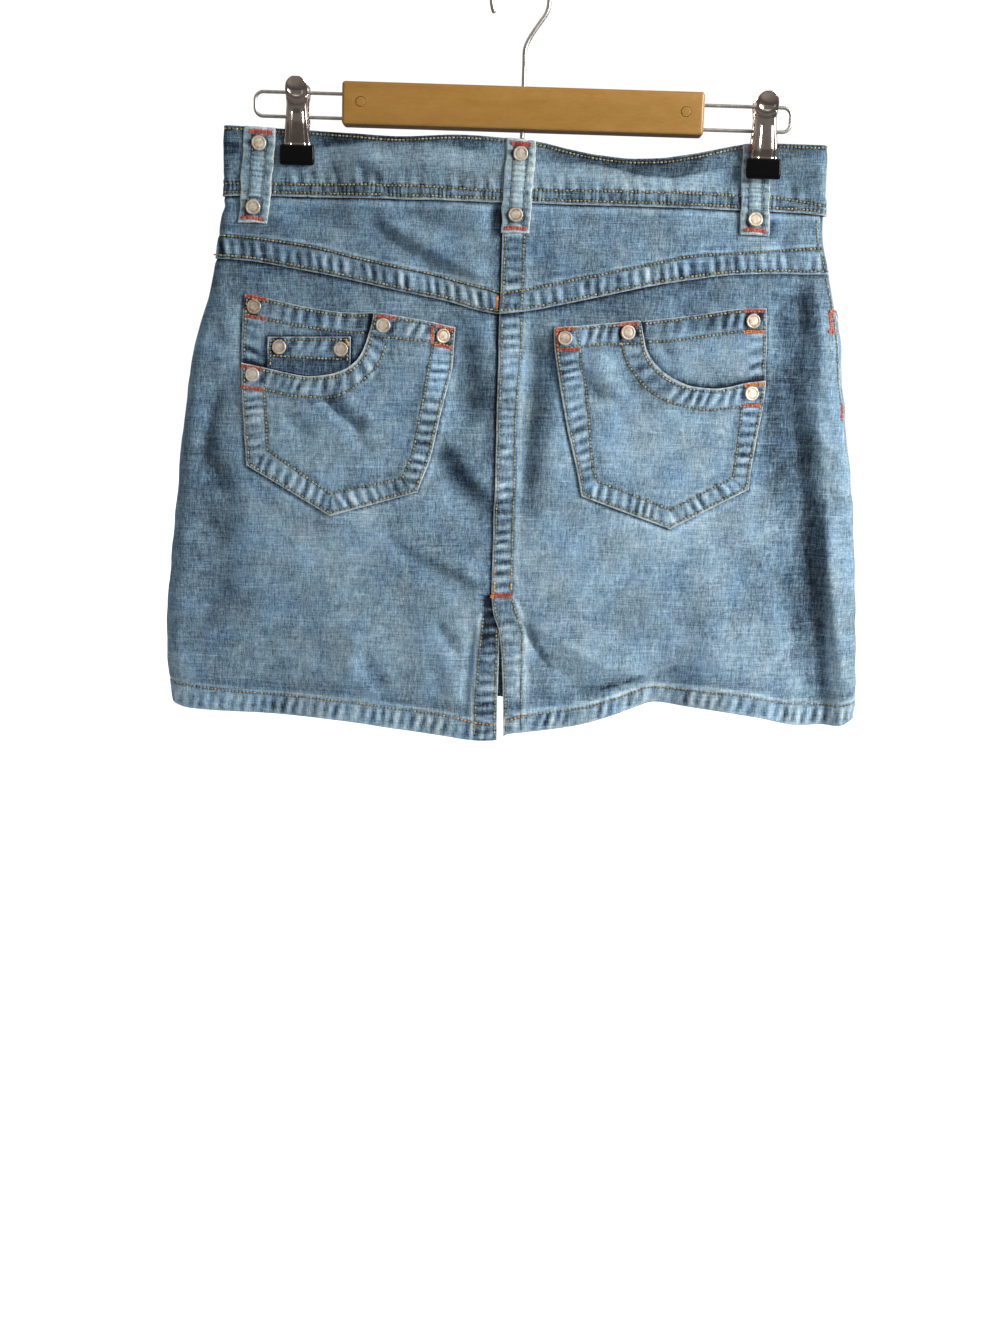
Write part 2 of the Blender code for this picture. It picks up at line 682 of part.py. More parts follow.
# ------------------------------------------------------------------ metal on the cloth
def turned(name, profile, segments, kind):
    """A turned piece on the Z axis: the profile's rows are radius and height,
    from the top of its axis down its outer side."""
    mesh = bpy.data.meshes.new(name)
    mesh.from_pydata([(r * MM, 0, h * MM) for r, h in profile],
                     [(i, i + 1) for i in range(len(profile) - 1)], [])
    obj = finish(bpy.data.objects.new(name, mesh), kind)
    turn = obj.modifiers.new("turn", "SCREW")
    turn.axis = "Z"
    turn.steps = turn.render_steps = segments
    turn.use_merge_vertices = True
    turn.merge_threshold = 0.00005
    turn.use_smooth_shade = True
    return obj


def set_on(obj, side, x, z, out):
    """Puts a piece on the cloth, its own Z pointing straight out."""
    u = u_of(side, x, z)
    normal = (lifted(u, z, 1.0) - lifted(u, z, 0.0)).normalized()
    right = Vector((0, 0, 1)).cross(normal).normalized()
    up = normal.cross(right)
    turn = Matrix((right, up, normal)).transposed().to_4x4()
    obj.matrix_world = Matrix.Translation(lifted(u, z, out) * MM) @ turn
    return obj


def make_trim():
    profile = ((0.0, RIVET_H), (RIVET_TOP_R, RIVET_H), (RIVET_R, RIVET_H * 0.45), (RIVET_R, 0.0), (0.0, 0.0))
    first = None
    for name, (side, x, z, under) in RIVETS.items():
        obj = turned(name, profile, 12, "metal")
        if first is None:
            first = obj.data
        set_on(obj, side, x, z, under + 0.35)
    # The button stands on the end of the waistband that lies outside.
    button = turned("waist_button", (
        (0.0, BUTTON_H - 0.5), (BUTTON_R * 0.62, BUTTON_H - 0.5), (BUTTON_R * 0.74, BUTTON_H),
        (BUTTON_R, BUTTON_H - 0.6), (BUTTON_R, BUTTON_H - 1.5), (3.6, BUTTON_H - 1.9), (3.6, 0.0),
        (0.0, 0.0)), 20, "metal")
    set_on(button, "front", 2.0, -139.0, PASSING + BAND / 2 + 0.5)


# ------------------------------------------------------------------ hanger
def tube(name, points, radius, kind, resolution=2):
    curve = bpy.data.curves.new(name, "CURVE")
    curve.dimensions = "3D"
    curve.bevel_depth = radius * MM
    curve.bevel_resolution = resolution
    curve.use_fill_caps = True
    spline = curve.splines.new("POLY")
    spline.points.add(len(points) - 1)
    for point, at in zip(spline.points, points):
        point.co = (*(Vector(at) * MM), 1.0)
    return finish(bpy.data.objects.new(name, curve), kind)


def arc(centre, radius, start, end, count, y=0.0):
    return [
        (centre[0] + radius * math.cos(a), y, centre[1] + radius * math.sin(a))
        for a in (math.radians(start + (end - start) * i / count) for i in range(count + 1))
    ]


def box(name, size, centre, kind, bevel):
    mesh = bpy.data.meshes.new(name)
    shape = bmesh.new()
    bmesh.ops.create_cube(shape, size=1.0)
    for vertex in shape.verts:
        vertex.co = Vector((vertex.co[i] * size[i] for i in range(3))) * MM
    shape.to_mesh(mesh)
    shape.free()
    obj = finish(bpy.data.objects.new(name, mesh), kind, 40)
    obj.location = Vector(centre) * MM
    if bevel:
        rounding = obj.modifiers.new("rounding", "BEVEL")
        rounding.width = bevel * MM
        rounding.segments = 2
        rounding.limit_method = "ANGLE"
    return obj


def cutter(name, radius, depth, centre, axis):
    mesh = bpy.data.meshes.new(name)
    shape = bmesh.new()
    bmesh.ops.create_cone(shape, cap_ends=True, segments=16, radius1=radius * MM,
                          radius2=radius * MM, depth=depth * MM)
    shape.to_mesh(mesh)
    shape.free()
    obj = bpy.data.objects.new(name, mesh)
    CUTTERS.objects.link(obj)
    obj.location = Vector(centre) * MM
    if axis == "Y":
        obj.rotation_euler.x = math.pi / 2
    obj.hide_render = True
    obj.display_type = "WIRE"
    return obj


def cut(obj, tool):
    made = obj.modifiers.new(tool.name, "BOOLEAN")
    made.operation = "DIFFERENCE"
    made.solver = "EXACT"
    made.object = tool


def make_hanger():
    bar = box("hanger_bar", (2 * BAR_HALF, 2 * BAR_HALF_T, 2 * BAR_HALF_H), (0, 0, BAR_Z), "wood", 1.4)
    cut(bar, cutter("cut_hook", HOOK_WIRE_R + 0.35, 2 * BAR_HALF_H + 6, (0, 0, BAR_Z), "Z"))
    for which, sign in (("left", -1), ("right", 1)):
        cut(bar, cutter(f"cut_plug_{which}", PLUG_R + GAP, 2 * PLUG_DEEP,
                        (sign * PLUG_X, -BAR_HALF_T, BAR_Z + 0.8), "Y"))
        plug = turned(f"bar_plug_{which}", (
            (0.0, PLUG_DEEP - GAP), (PLUG_R, PLUG_DEEP - GAP), (PLUG_R, 0.0), (0.0, 0.0)), 14, "wood")
        plug.matrix_world = Matrix.Translation(
            Vector((sign * PLUG_X, -BAR_HALF_T + PLUG_DEEP - GAP, BAR_Z + 0.8)) * MM
        ) @ Matrix.Rotation(math.pi / 2, 4, "X")

    # The hook: a rod up through the bar, a bend to the side, and the crook.
    neck = ((0.0, -98.4), (0.0, -46.5), (0.9, -42.6), (3.0, -38.2), (6.2, -33.2),
            (9.6, -28.4), (12.0, -25.0))
    points = [(x, 0.0, z) for x, z in neck] + arc((HOOK_X, HOOK_Z), HOOK_R, -20, HOOK_TIP_DEG, 22)
    tube("hanger_hook", points, HOOK_WIRE_R, "chrome")

    for which, sign in (("left", -1), ("right", 1)):
        start, bend = BAR_HALF + 0.35, 5.0
        z_top, z_low = BAR_Z + WIRE_RISE, BAR_Z - WIRE_RISE
        path = [(start, 0.0, z_top)]
        path += arc((WIRE_END - bend, z_top - bend), bend, 90, 0, 4)
        path += arc((WIRE_END - bend, z_low + bend), bend, 0, -90, 4)
        path += [(start, 0.0, z_low)]
        tube(f"hanger_wire_{which}", [(sign * x, y, z) for x, y, z in path], WIRE_R, "chrome", 1)

    # How far out each pad starts: on the band, or over the loop and its rivet.
    on_band = PINCHED + BAND / 2 + 1.5 * GAP
    starts = {("left", "back"): on_band, ("left", "front"): on_band,
              ("right", "back"): 6.3, ("right", "front"): on_band}
    for (which, side), start in starts.items():
        sign = -1 if side == "back" else 1
        x = CLIP_X[which]
        box(f"clip_pad_{which}_{side}", (PAD_W, PAD_T, PAD_H), (x, sign * (start + PAD_T / 2), PAD_Z), "rubber", 0.9)
        shift = start + PAD_T / 2 - LEVER[-1][1]

        def where(s, r, x=x, sign=sign, shift=shift):
            at = r * (len(LEVER) - 1)
            i = min(int(at), len(LEVER) - 2)
            t = at - i
            z, out, half, flange = (LEVER[i][k] + (LEVER[i + 1][k] - LEVER[i][k]) * t for k in range(4))
            out += shift * step((-80.0 - z) / 24.0)
            across, back = ((-1.0, 1.0), (-1.0, 0.25), (-0.86, 0.0), (-0.4, -0.12), (0.4, -0.12),
                            (0.86, 0.0), (1.0, 0.25), (1.0, 1.0))[round(s * 7)]
            return Vector((x + across * half * (-sign), sign * (out - max(back, 0.0) * flange - min(back, 0.0) * 3.0), z))

        sheet(f"clip_lever_{which}_{side}", evenly(7), evenly(len(LEVER) - 1), where, 0.9, "chrome")
    for which in ("left", "right"):
        # The spring between the levers.
        mesh = bpy.data.meshes.new(f"clip_spring_{which}")
        shape = bmesh.new()
        bmesh.ops.create_cone(shape, cap_ends=True, segments=14, radius1=2.9 * MM, radius2=2.9 * MM, depth=9.0 * MM)
        shape.to_mesh(mesh)
        shape.free()
        spring = finish(bpy.data.objects.new(mesh.name, mesh), "chrome", 40)
        spring.rotation_euler.y = math.pi / 2
        spring.location = Vector((CLIP_X[which], 0, BAR_Z)) * MM


clear_scene()
PARTS = new_collection("denim_skirt")
CUTTERS = new_collection("cutters")
CUTTERS.hide_render = True
make_panels()
make_waistband()
make_loops()
make_pockets()
make_trim()
make_hanger()
bpy.context.view_layer.update()
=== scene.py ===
"""The looks of the denim skirt on its clip hanger.

Tables are in millimetres, in the frame of the solids: the origin is the inside
top of the hook, +Z is up, +Y the skirt's front, -Y its back, +X the wearer's
right. A place on the cloth is (side, X, z), where X runs across the back or the
front and goes on round the fold at the side as if the cloth were unrolled.
"""

import math

import bmesh
import bpy
import numpy as np
from mathutils import Matrix, Vector


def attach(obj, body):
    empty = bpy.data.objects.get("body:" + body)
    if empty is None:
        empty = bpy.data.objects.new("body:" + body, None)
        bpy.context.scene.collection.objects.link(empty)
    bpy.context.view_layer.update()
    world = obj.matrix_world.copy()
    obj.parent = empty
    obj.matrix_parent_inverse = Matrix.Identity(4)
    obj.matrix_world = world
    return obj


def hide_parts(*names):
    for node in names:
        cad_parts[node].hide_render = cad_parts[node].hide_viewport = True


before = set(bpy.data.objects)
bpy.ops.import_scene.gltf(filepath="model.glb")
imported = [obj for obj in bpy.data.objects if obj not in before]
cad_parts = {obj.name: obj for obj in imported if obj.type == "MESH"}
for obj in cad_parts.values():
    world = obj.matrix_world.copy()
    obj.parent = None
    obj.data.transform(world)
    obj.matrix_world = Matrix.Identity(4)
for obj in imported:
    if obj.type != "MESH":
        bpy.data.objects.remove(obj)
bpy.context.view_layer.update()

MM = 0.001
PI = math.pi

# ------------------------------------------------------------------ sizes, mm
CENTRE_BACK_X = -10.6
VENT_TOP_Z = -386.5
FRONT_OVERLAP = 17.0
PASSING = 1.15
RIVET_R = 4.75
BAR_HALF, BAR_Z, BAR_HALF_H, BAR_HALF_T = 113.7, -81.4, 13.2, 7.5
PLUG_X, PLUG_R = 102.0, 3.0
WIRE_R, WIRE_RISE, WIRE_END = 1.1, 8.0, 169.0
HOOK_WIRE_R, HOOK_R = 1.4, 17.9
HOOK_X, HOOK_Z, HOOK_TIP_DEG = -3.6, -16.5, 202.0
CLIP_X = {"left": -142.0, "right": 152.6}
PAD_W, PAD_H, PAD_T, PAD_Z = 22.0, 13.4, 3.2, -113.4
PINCHED = 1.2

# ------------------------------------------------------------------ tables, mm
RINGS = (
    # z,     left,   right,  fold, back, front
    (-90.0, -188.0, 192.0, 3.4, 7.5, 7.0),
    (-110.0, -188.2, 192.8, 3.6, 8.5, 8.0),
    (-130.0, -188.4, 194.0, 4.2, 11.0, 10.0),
    (-150.0, -189.6, 194.6, 5.0, 14.0, 13.0),
    (-177.0, -193.0, 200.6, 6.5, 18.5, 17.0),
    (-207.0, -200.1, 207.8, 8.0, 22.0, 21.0),
    (-240.0, -208.8, 212.2, 9.0, 25.0, 24.0),
    (-280.0, -214.6, 218.2, 10.0, 27.5, 26.5),
    (-330.0, -219.6, 225.8, 11.0, 30.0, 28.5),
    (-385.0, -225.2, 231.2, 12.0, 32.5, 30.0),
    (-430.0, -227.6, 235.2, 12.5, 34.5, 31.0),
    (-460.0, -225.0, 236.4, 12.5, 36.0, 31.5),
    (-490.0, -218.0, 236.0, 12.0, 37.0, 32.0),
)
BACK_TOP = (
    # x,      z
    (-188.0, -96.6), (-132.0, -98.0), (-78.0, -100.8), (-37.0, -98.6),
    (-9.5, -99.8), (9.0, -101.4), (29.0, -105.4), (50.0, -108.8),
    (71.0, -110.4), (86.0, -109.8), (106.0, -106.6), (143.0, -98.0),
    (164.0, -97.0), (192.0, -97.4),
)
FRONT_TOP = (
    # x,      z
    (-188.0, -96.6), (-142.0, -98.6), (-70.0, -111.0), (0.0, -118.0),
    (80.0, -112.0), (152.0, -98.6), (192.0, -97.4),
)
BACK_BAND_LOW = (
    # x,      z
    (-190.0, -140.0), (-160.0, -139.0), (0.0, -139.4), (140.0, -139.0),
    (176.0, -139.4), (194.0, -140.6),
)
FRONT_BAND_LOW = (
    # x,      z
    (-190.0, -140.0), (-142.0, -143.0), (-70.0, -154.0), (0.0, -160.0),
    (80.0, -154.0), (152.0, -143.0), (194.0, -140.6),
)
YOKE_SEAM = (
    # x,      z
    (-193.0, -178.6), (-172.0, -179.6), (-145.0, -183.4), (-117.0, -187.8),
    (-76.0, -195.6), (-48.0, -200.6), (-10.6, -208.0), (5.0, -206.2),
    (32.5, -200.4), (54.6, -195.2), (82.0, -188.6), (109.0, -183.4),
    (136.0, -179.4), (164.0, -177.6), (200.0, -176.8),
)
BACK_HEM = (
    # x,      z
    (-225.0, -469.0), (-208.0, -471.4), (-184.0, -472.2), (-156.0, -472.5),
    (-127.0, -472.8), (-98.0, -474.2), (-70.0, -477.0), (-40.0, -479.6),
    (-19.0, -481.4), (-5.0, -480.6), (3.0, -476.2), (14.0, -475.0),
    (43.0, -471.2), (71.0, -464.6), (88.0, -459.8), (100.0, -456.6),
    (118.0, -458.0), (140.0, -459.6), (166.0, -463.0), (202.0, -470.2),
    (222.0, -470.4), (236.0, -466.0),
)
FRONT_HEM = (
    # x,      z
    (-225.0, -469.0), (-150.0, -469.4), (-60.0, -467.4), (0.0, -466.6),
    (60.0, -466.4), (106.0, -464.8), (160.0, -468.0), (236.0, -466.0),
)
VENT_EDGES = (
    # z,      left flap, right flap
    (-386.5, -5.4, -10.6), (-398.0, -5.2, -9.0), (-410.0, -4.9, -4.9),
    (-430.0, -4.5, -2.5), (-455.0, -4.5, -0.9), (-484.0, -4.0, 0.3),
)
MOUTH_TOP_SHARE, MOUTH_SIDE_Z = 0.56, -199.0

# The largest folds, as on the solids: side, from, to, width, depth inwards, fade.
FOLDS = (
    ("back", 183.0, -168.0, 176.0, -262.0, 10.0, 4.4, 34.0, 0.0, 0.7),
    ("back", 176.0, -236.0, 220.0, -500.0, 12.0, 9.0, 34.0, 0.0, 0.7),
    ("back", 97.0, -395.0, 101.0, -560.0, 28.0, 16.0, 72.0),
    ("back", -8.0, -405.0, -4.0, -560.0, 38.0, -4.0, 70.0),
    ("back", -150.0, -395.0, -162.0, -560.0, 34.0, 5.0, 72.0),
    ("back", 160.0, -405.0, 164.0, -560.0, 24.0, -4.0, 60.0),
    ("back", 72.0, -86.0, 72.0, -112.0, 38.0, -5.0, 12.0),
    ("back", -70.0, -86.0, -74.0, -118.0, 34.0, -2.0, 14.0),
    ("front", -60.0, -370.0, -66.0, -560.0, 32.0, 8.0, 84.0),
    ("front", 70.0, -350.0, 86.0, -560.0, 34.0, 9.0, 84.0),
    ("front", 160.0, -380.0, 172.0, -560.0, 28.0, 5.0, 76.0),
    ("front", -166.0, -360.0, -174.0, -560.0, 28.0, 5.0, 76.0),
    ("front", 30.0, -165.0, 90.0, -230.0, 16.0, 2.6, 34.0),
    ("front", -30.0, -168.0, -96.0, -226.0, 16.0, 2.4, 34.0),
)
# Smaller creases, placed one by one: they may bend, and be steeper on one side.
CREASES = (
    # side, x0, z0, x1, z1, width, depth, fade, bend, lean
    # the waistband
    ("back", -108.0, -115.0, -76.0, -138.0, 4.0, 0.9, 14.0, 2.0, 1.2),
    ("back", -100.0, -112.0, -70.0, -129.0, 4.5, -0.7, 14.0, 2.0, 1.0),
    ("back", -132.0, -110.5, -60.0, -106.0, 2.6, 0.9, 20.0, -3.0, 1.0),
    ("back", -64.0, -112.0, -30.0, -131.0, 6.0, 0.7, 14.0, 0.0, 1.0),
    ("back", -124.0, -112.0, -112.0, -136.0, 3.0, 0.7, 10.0, 1.5, 1.0),
    ("back", -131.0, -118.0, -136.0, -138.0, 2.6, 0.6, 8.0, 0.0, 1.0),
    ("back", 160.0, -112.0, 176.0, -128.0, 4.0, 1.0, 10.0, 0.0, 1.0),
    ("back", 168.0, -104.0, 182.0, -136.0, 5.0, -0.9, 14.0, 0.0, 1.0),
    # the yokes
    ("back", -97.0, -146.0, -15.0, -187.0, 5.0, -2.3, 20.0, 2.5, 1.5),
    ("back", -100.0, -152.0, -22.0, -197.0, 7.0, 1.6, 20.0, 2.5, 1.0),
    ("back", -86.0, -143.0, -15.0, -166.0, 6.5, 1.7, 20.0, 1.5, 0.9),
    ("back", -70.0, -139.0, -14.0, -150.0, 4.0, -0.9, 14.0, 0.0, 1.0),
    ("back", -150.0, -150.0, -98.0, -163.0, 5.0, 0.8, 18.0, 1.0, 1.0),
    ("back", -184.0, -146.0, -150.0, -160.0, 5.0, 1.0, 12.0, 1.0, 1.0),
    ("back", -17.0, -138.0, -18.0, -166.0, 4.0, 1.5, 8.0, 0.0, 0.8),
    ("back", 14.0, -143.0, 70.0, -168.0, 7.0, 0.8, 22.0, -2.0, 1.0),
    ("back", 22.0, -182.0, 64.0, -160.0, 6.0, 0.8, 16.0, 2.0, 1.0),
    ("back", 96.0, -150.0, 150.0, -166.0, 8.0, 0.7, 22.0, 0.0, 1.0),
    ("back", 164.0, -146.0, 172.0, -176.0, 5.0, 1.3, 10.0, 1.0, 1.0),
    ("back", 176.0, -142.0, 184.0, -178.0, 5.0, -1.2, 12.0, 1.0, 1.0),
    # beside the centre seam
    ("back", -43.0, -204.0, -26.0, -290.0, 14.0, 4.6, 26.0, 3.0, 1.25),
    ("back", 10.0, -206.0, 6.0, -332.0, 9.0, 3.0, 26.0, -2.0, 0.7),
    ("back", 33.0, -206.0, 22.0, -330.0, 9.0, -1.3, 26.0, -3.0, 1.0),
    ("back", -44.0, -284.0, -6.0, -328.0, 5.5, -1.9, 14.0, 2.0, 1.3),
    ("back", -56.0, -292.0, -12.0, -346.0, 9.0, 2.2, 16.0, 2.0, 1.0),
    ("back", -14.0, -196.0, -13.0, -236.0, 3.5, 1.1, 12.0, 0.0, 1.0),
    # the lower left and the vent
    ("back", -80.0, -346.0, -13.0, -377.0, 5.5, -1.5, 20.0, 3.0, 1.3),
    ("back", -76.0, -356.0, -13.0, -390.0, 7.0, 1.3, 20.0, 3.0, 1.0),
    ("back", -48.0, -398.0, -28.0, -432.0, 4.5, 1.4, 10.0, 1.5, 1.0),
    ("back", -42.0, -394.0, -30.0, -466.0, 6.0, -1.1, 18.0, 1.5, 1.0),
    ("back", -97.0, -424.0, -78.0, -456.0, 6.5, 1.5, 12.0, 1.0, 1.0),
    ("back", -106.0, -400.0, -94.0, -450.0, 10.0, -1.0, 18.0, 1.0, 1.0),
    ("back", -62.0, -372.0, -74.0, -452.0, 11.0, 1.1, 30.0, 0.0, 1.0),
    ("back", -130.0, -330.0, -60.0, -366.0, 10.0, -1.0, 24.0, 2.0, 1.0),
    ("back", -20.0, -400.0, -26.0, -464.0, 3.4, 1.7, 14.0, 1.0, 1.0),
    ("back", 6.0, -396.0, 96.0, -442.0, 6.0, -1.1, 20.0, 3.0, 1.4),
    ("back", 10.0, -404.0, 30.0, -436.0, 3.0, 1.8, 9.0, 1.0, 1.0),
    ("back", 20.0, -424.0, 60.0, -446.0, 6.0, 0.9, 14.0, 2.0, 1.0),
    ("back", 38.0, -450.0, 92.0, -441.0, 5.0, 2.0, 12.0, 1.0, 1.0),
    ("back", 30.0, -398.0, 110.0, -420.0, 11.0, 1.3, 24.0, 0.0, 1.0),
    # the sides
    ("back", -188.0, -250.0, -203.0, -318.0, 6.0, 1.8, 18.0, 2.0, 1.0),
    ("back", -206.0, -286.0, -180.0, -334.0, 6.0, 1.7, 16.0, 1.0, 1.0),
    ("back", -205.0, -340.0, -160.0, -372.0, 9.0, 1.3, 20.0, 2.0, 1.0),
    ("back", -188.0, -300.0, -196.0, -430.0, 12.0, 1.7, 40.0, 0.0, 1.0),
    ("back", -192.0, -190.0, -183.0, -232.0, 5.0, -1.4, 12.0, 1.0, 1.0),
    ("back", 84.0, -352.0, 66.0, -430.0, 13.0, 1.3, 34.0, 0.0, 1.0),
    ("back", 130.0, -356.0, 138.0, -446.0, 12.0, -1.4, 34.0, 0.0, 1.0),
    ("back", 203.0, -322.0, 232.0, -460.0, 5.5, -3.0, 22.0, 2.0, 1.6),
    ("back", 200.0, -262.0, 216.0, -271.0, 2.2, -1.5, 5.0, 0.0, 1.0),
    ("back", 197.0, -278.0, 213.0, -292.0, 3.2, -1.2, 6.0, 0.0, 1.0),
    ("back", 184.0, -184.0, 199.0, -226.0, 5.0, -1.6, 12.0, 1.0, 1.0),
    ("back", 192.0, -240.0, 200.0, -262.0, 4.0, 1.2, 8.0, 0.0, 1.0),
    ("back", 198.0, -296.0, 216.0, -330.0, 4.0, 1.0, 10.0, 0.0, 1.0),
    # inside the pockets
    ("back", -127.0, -260.0, -92.0, -288.0, 3.6, 1.3, 10.0, 1.5, 1.0),
    ("back", -118.0, -254.0, -84.0, -280.0, 4.0, -1.1, 10.0, 1.5, 1.0),
    ("back", -108.0, -282.0, -88.0, -298.0, 4.0, 0.9, 8.0, 0.0, 1.0),
    ("back", -150.0, -270.0, -120.0, -300.0, 7.0, 0.8, 14.0, 1.0, 1.0),
    ("back", 34.0, -230.0, 62.0, -266.0, 4.5, 1.5, 12.0, 2.0, 1.0),
    ("back", 46.0, -222.0, 72.0, -262.0, 5.0, -1.2, 12.0, 2.0, 1.0),
    ("back", 60.0, -252.0, 74.0, -282.0, 5.0, 0.9, 10.0, 0.0, 1.0),
    ("back", 120.0, -268.0, 74.0, -292.0, 8.0, -0.9, 18.0, 0.0, 1.0),
    ("back", 84.0, -214.0, 104.0, -238.0, 4.0, 1.1, 8.0, 1.0, 1.0),
    # the front
    ("front", -96.0, -180.0, -40.0, -214.0, 9.0, 1.5, 24.0, 2.0, 1.2),
    ("front", 104.0, -176.0, 36.0, -222.0, 9.0, 1.5, 24.0, 2.0, 1.2),
    ("front", -24.0, -270.0, -80.0, -330.0, 10.0, 1.7, 30.0, 2.0, 1.2),
    ("front", 22.0, -280.0, 96.0, -322.0, 10.0, 1.6, 30.0, 2.0, 1.2),
    ("front", -120.0, -300.0, -132.0, -440.0, 13.0, 2.2, 50.0, 2.0, 1.0),
    ("front", 118.0, -290.0, 128.0, -430.0, 12.0, 2.0, 50.0, 2.0, 1.0),
    ("front", 8.0, -340.0, 14.0, -470.0, 13.0, -1.8, 44.0, 0.0, 1.0),
    ("front", -186.0, -230.0, -196.0, -350.0, 8.0, 2.0, 40.0, 1.0, 1.0),
    ("front", 186.0, -240.0, 198.0, -360.0, 8.0, 2.0, 40.0, 1.0, 1.0),
    ("front", -60.0, -126.0, -22.0, -142.0, 6.0, 0.8, 14.0, 0.0, 1.0),
    ("front", 50.0, -124.0, 112.0, -132.0, 6.0, 0.8, 16.0, 0.0, 1.0),
    ("front", -60.0, -190.0, -16.0, -232.0, 6.0, -1.2, 16.0, 2.0, 1.2),
    ("front", 66.0, -196.0, 14.0, -246.0, 6.0, -1.2, 16.0, 2.0, 1.2),
    ("front", -150.0, -226.0, -110.0, -262.0, 9.0, 1.2, 18.0, 2.0, 1.0),
    ("front", 154.0, -230.0, 108.0, -268.0, 9.0, 1.2, 18.0, 2.0, 1.0),
    ("front", -106.0, -196.0, -44.0, -204.0, 5.0, 1.1, 18.0, 2.0, 1.2),
    ("front", -118.0, -212.0, -58.0, -228.0, 6.0, 1.3, 20.0, 2.0, 1.2),
    ("front", -126.0, -232.0, -70.0, -256.0, 6.5, -1.0, 20.0, 2.0, 1.1),
    ("front", 112.0, -192.0, 52.0, -206.0, 5.0, 1.1, 18.0, 2.0, 1.2),
    ("front", 124.0, -212.0, 62.0, -232.0, 6.0, 1.3, 20.0, 2.0, 1.2),
    ("front", 132.0, -236.0, 78.0, -258.0, 6.5, -1.0, 20.0, 2.0, 1.1),
    ("front", -8.0, -188.0, -12.0, -252.0, 6.0, 1.0, 20.0, 1.0, 1.0),
    ("front", 12.0, -300.0, 50.0, -352.0, 7.0, 1.5, 18.0, 2.0, 1.3),
    ("front", -14.0, -312.0, -52.0, -352.0, 7.0, -1.3, 18.0, 2.0, 1.3),
    ("front", -160.0, -262.0, -120.0, -300.0, 8.0, 1.4, 22.0, 2.0, 1.2),
    ("front", 172.0, -270.0, 132.0, -306.0, 8.0, 1.4, 22.0, 2.0, 1.2),
    ("front", -196.0, -380.0, -160.0, -420.0, 9.0, 1.3, 24.0, 2.0, 1.2),
    ("front", 200.0, -392.0, 166.0, -430.0, 9.0, 1.3, 24.0, 2.0, 1.2),
    ("front", -84.0, -420.0, -50.0, -468.0, 8.0, 1.3, 18.0, 1.0, 1.2),
    ("front", 96.0, -430.0, 64.0, -470.0, 8.0, -1.3, 18.0, 1.0, 1.2),
    ("front", -70.0, -380.0, -20.0, -430.0, 8.0, -1.3, 20.0, 2.0, 1.2),
    ("front", 80.0, -400.0, 24.0, -446.0, 8.0, 1.3, 20.0, 2.0, 1.2),
)
PINCHES = (
    # x,     flat,  across, z_flat, down
    (-142.0, 15.0, 28.0, -122.0, 46.0),
    (152.6, 15.0, 27.0, -122.0, 46.0),
)
# The waistband's rolled lip, right of its centre: where its crease runs.
LIP = (
    # x,     z of the crease, how far the top edge leans out
    (-4.0, -112.0, 0.0), (9.0, -112.6, 0.8), (36.0, -112.5, 2.0),
    (57.0, -115.4, 3.6), (78.0, -119.6, 4.6), (94.0, -120.2, 4.4),
    (106.0, -117.8, 3.4), (122.0, -114.0, 1.8), (139.0, -111.0, 0.3),
    (146.0, -110.0, 0.0),
)
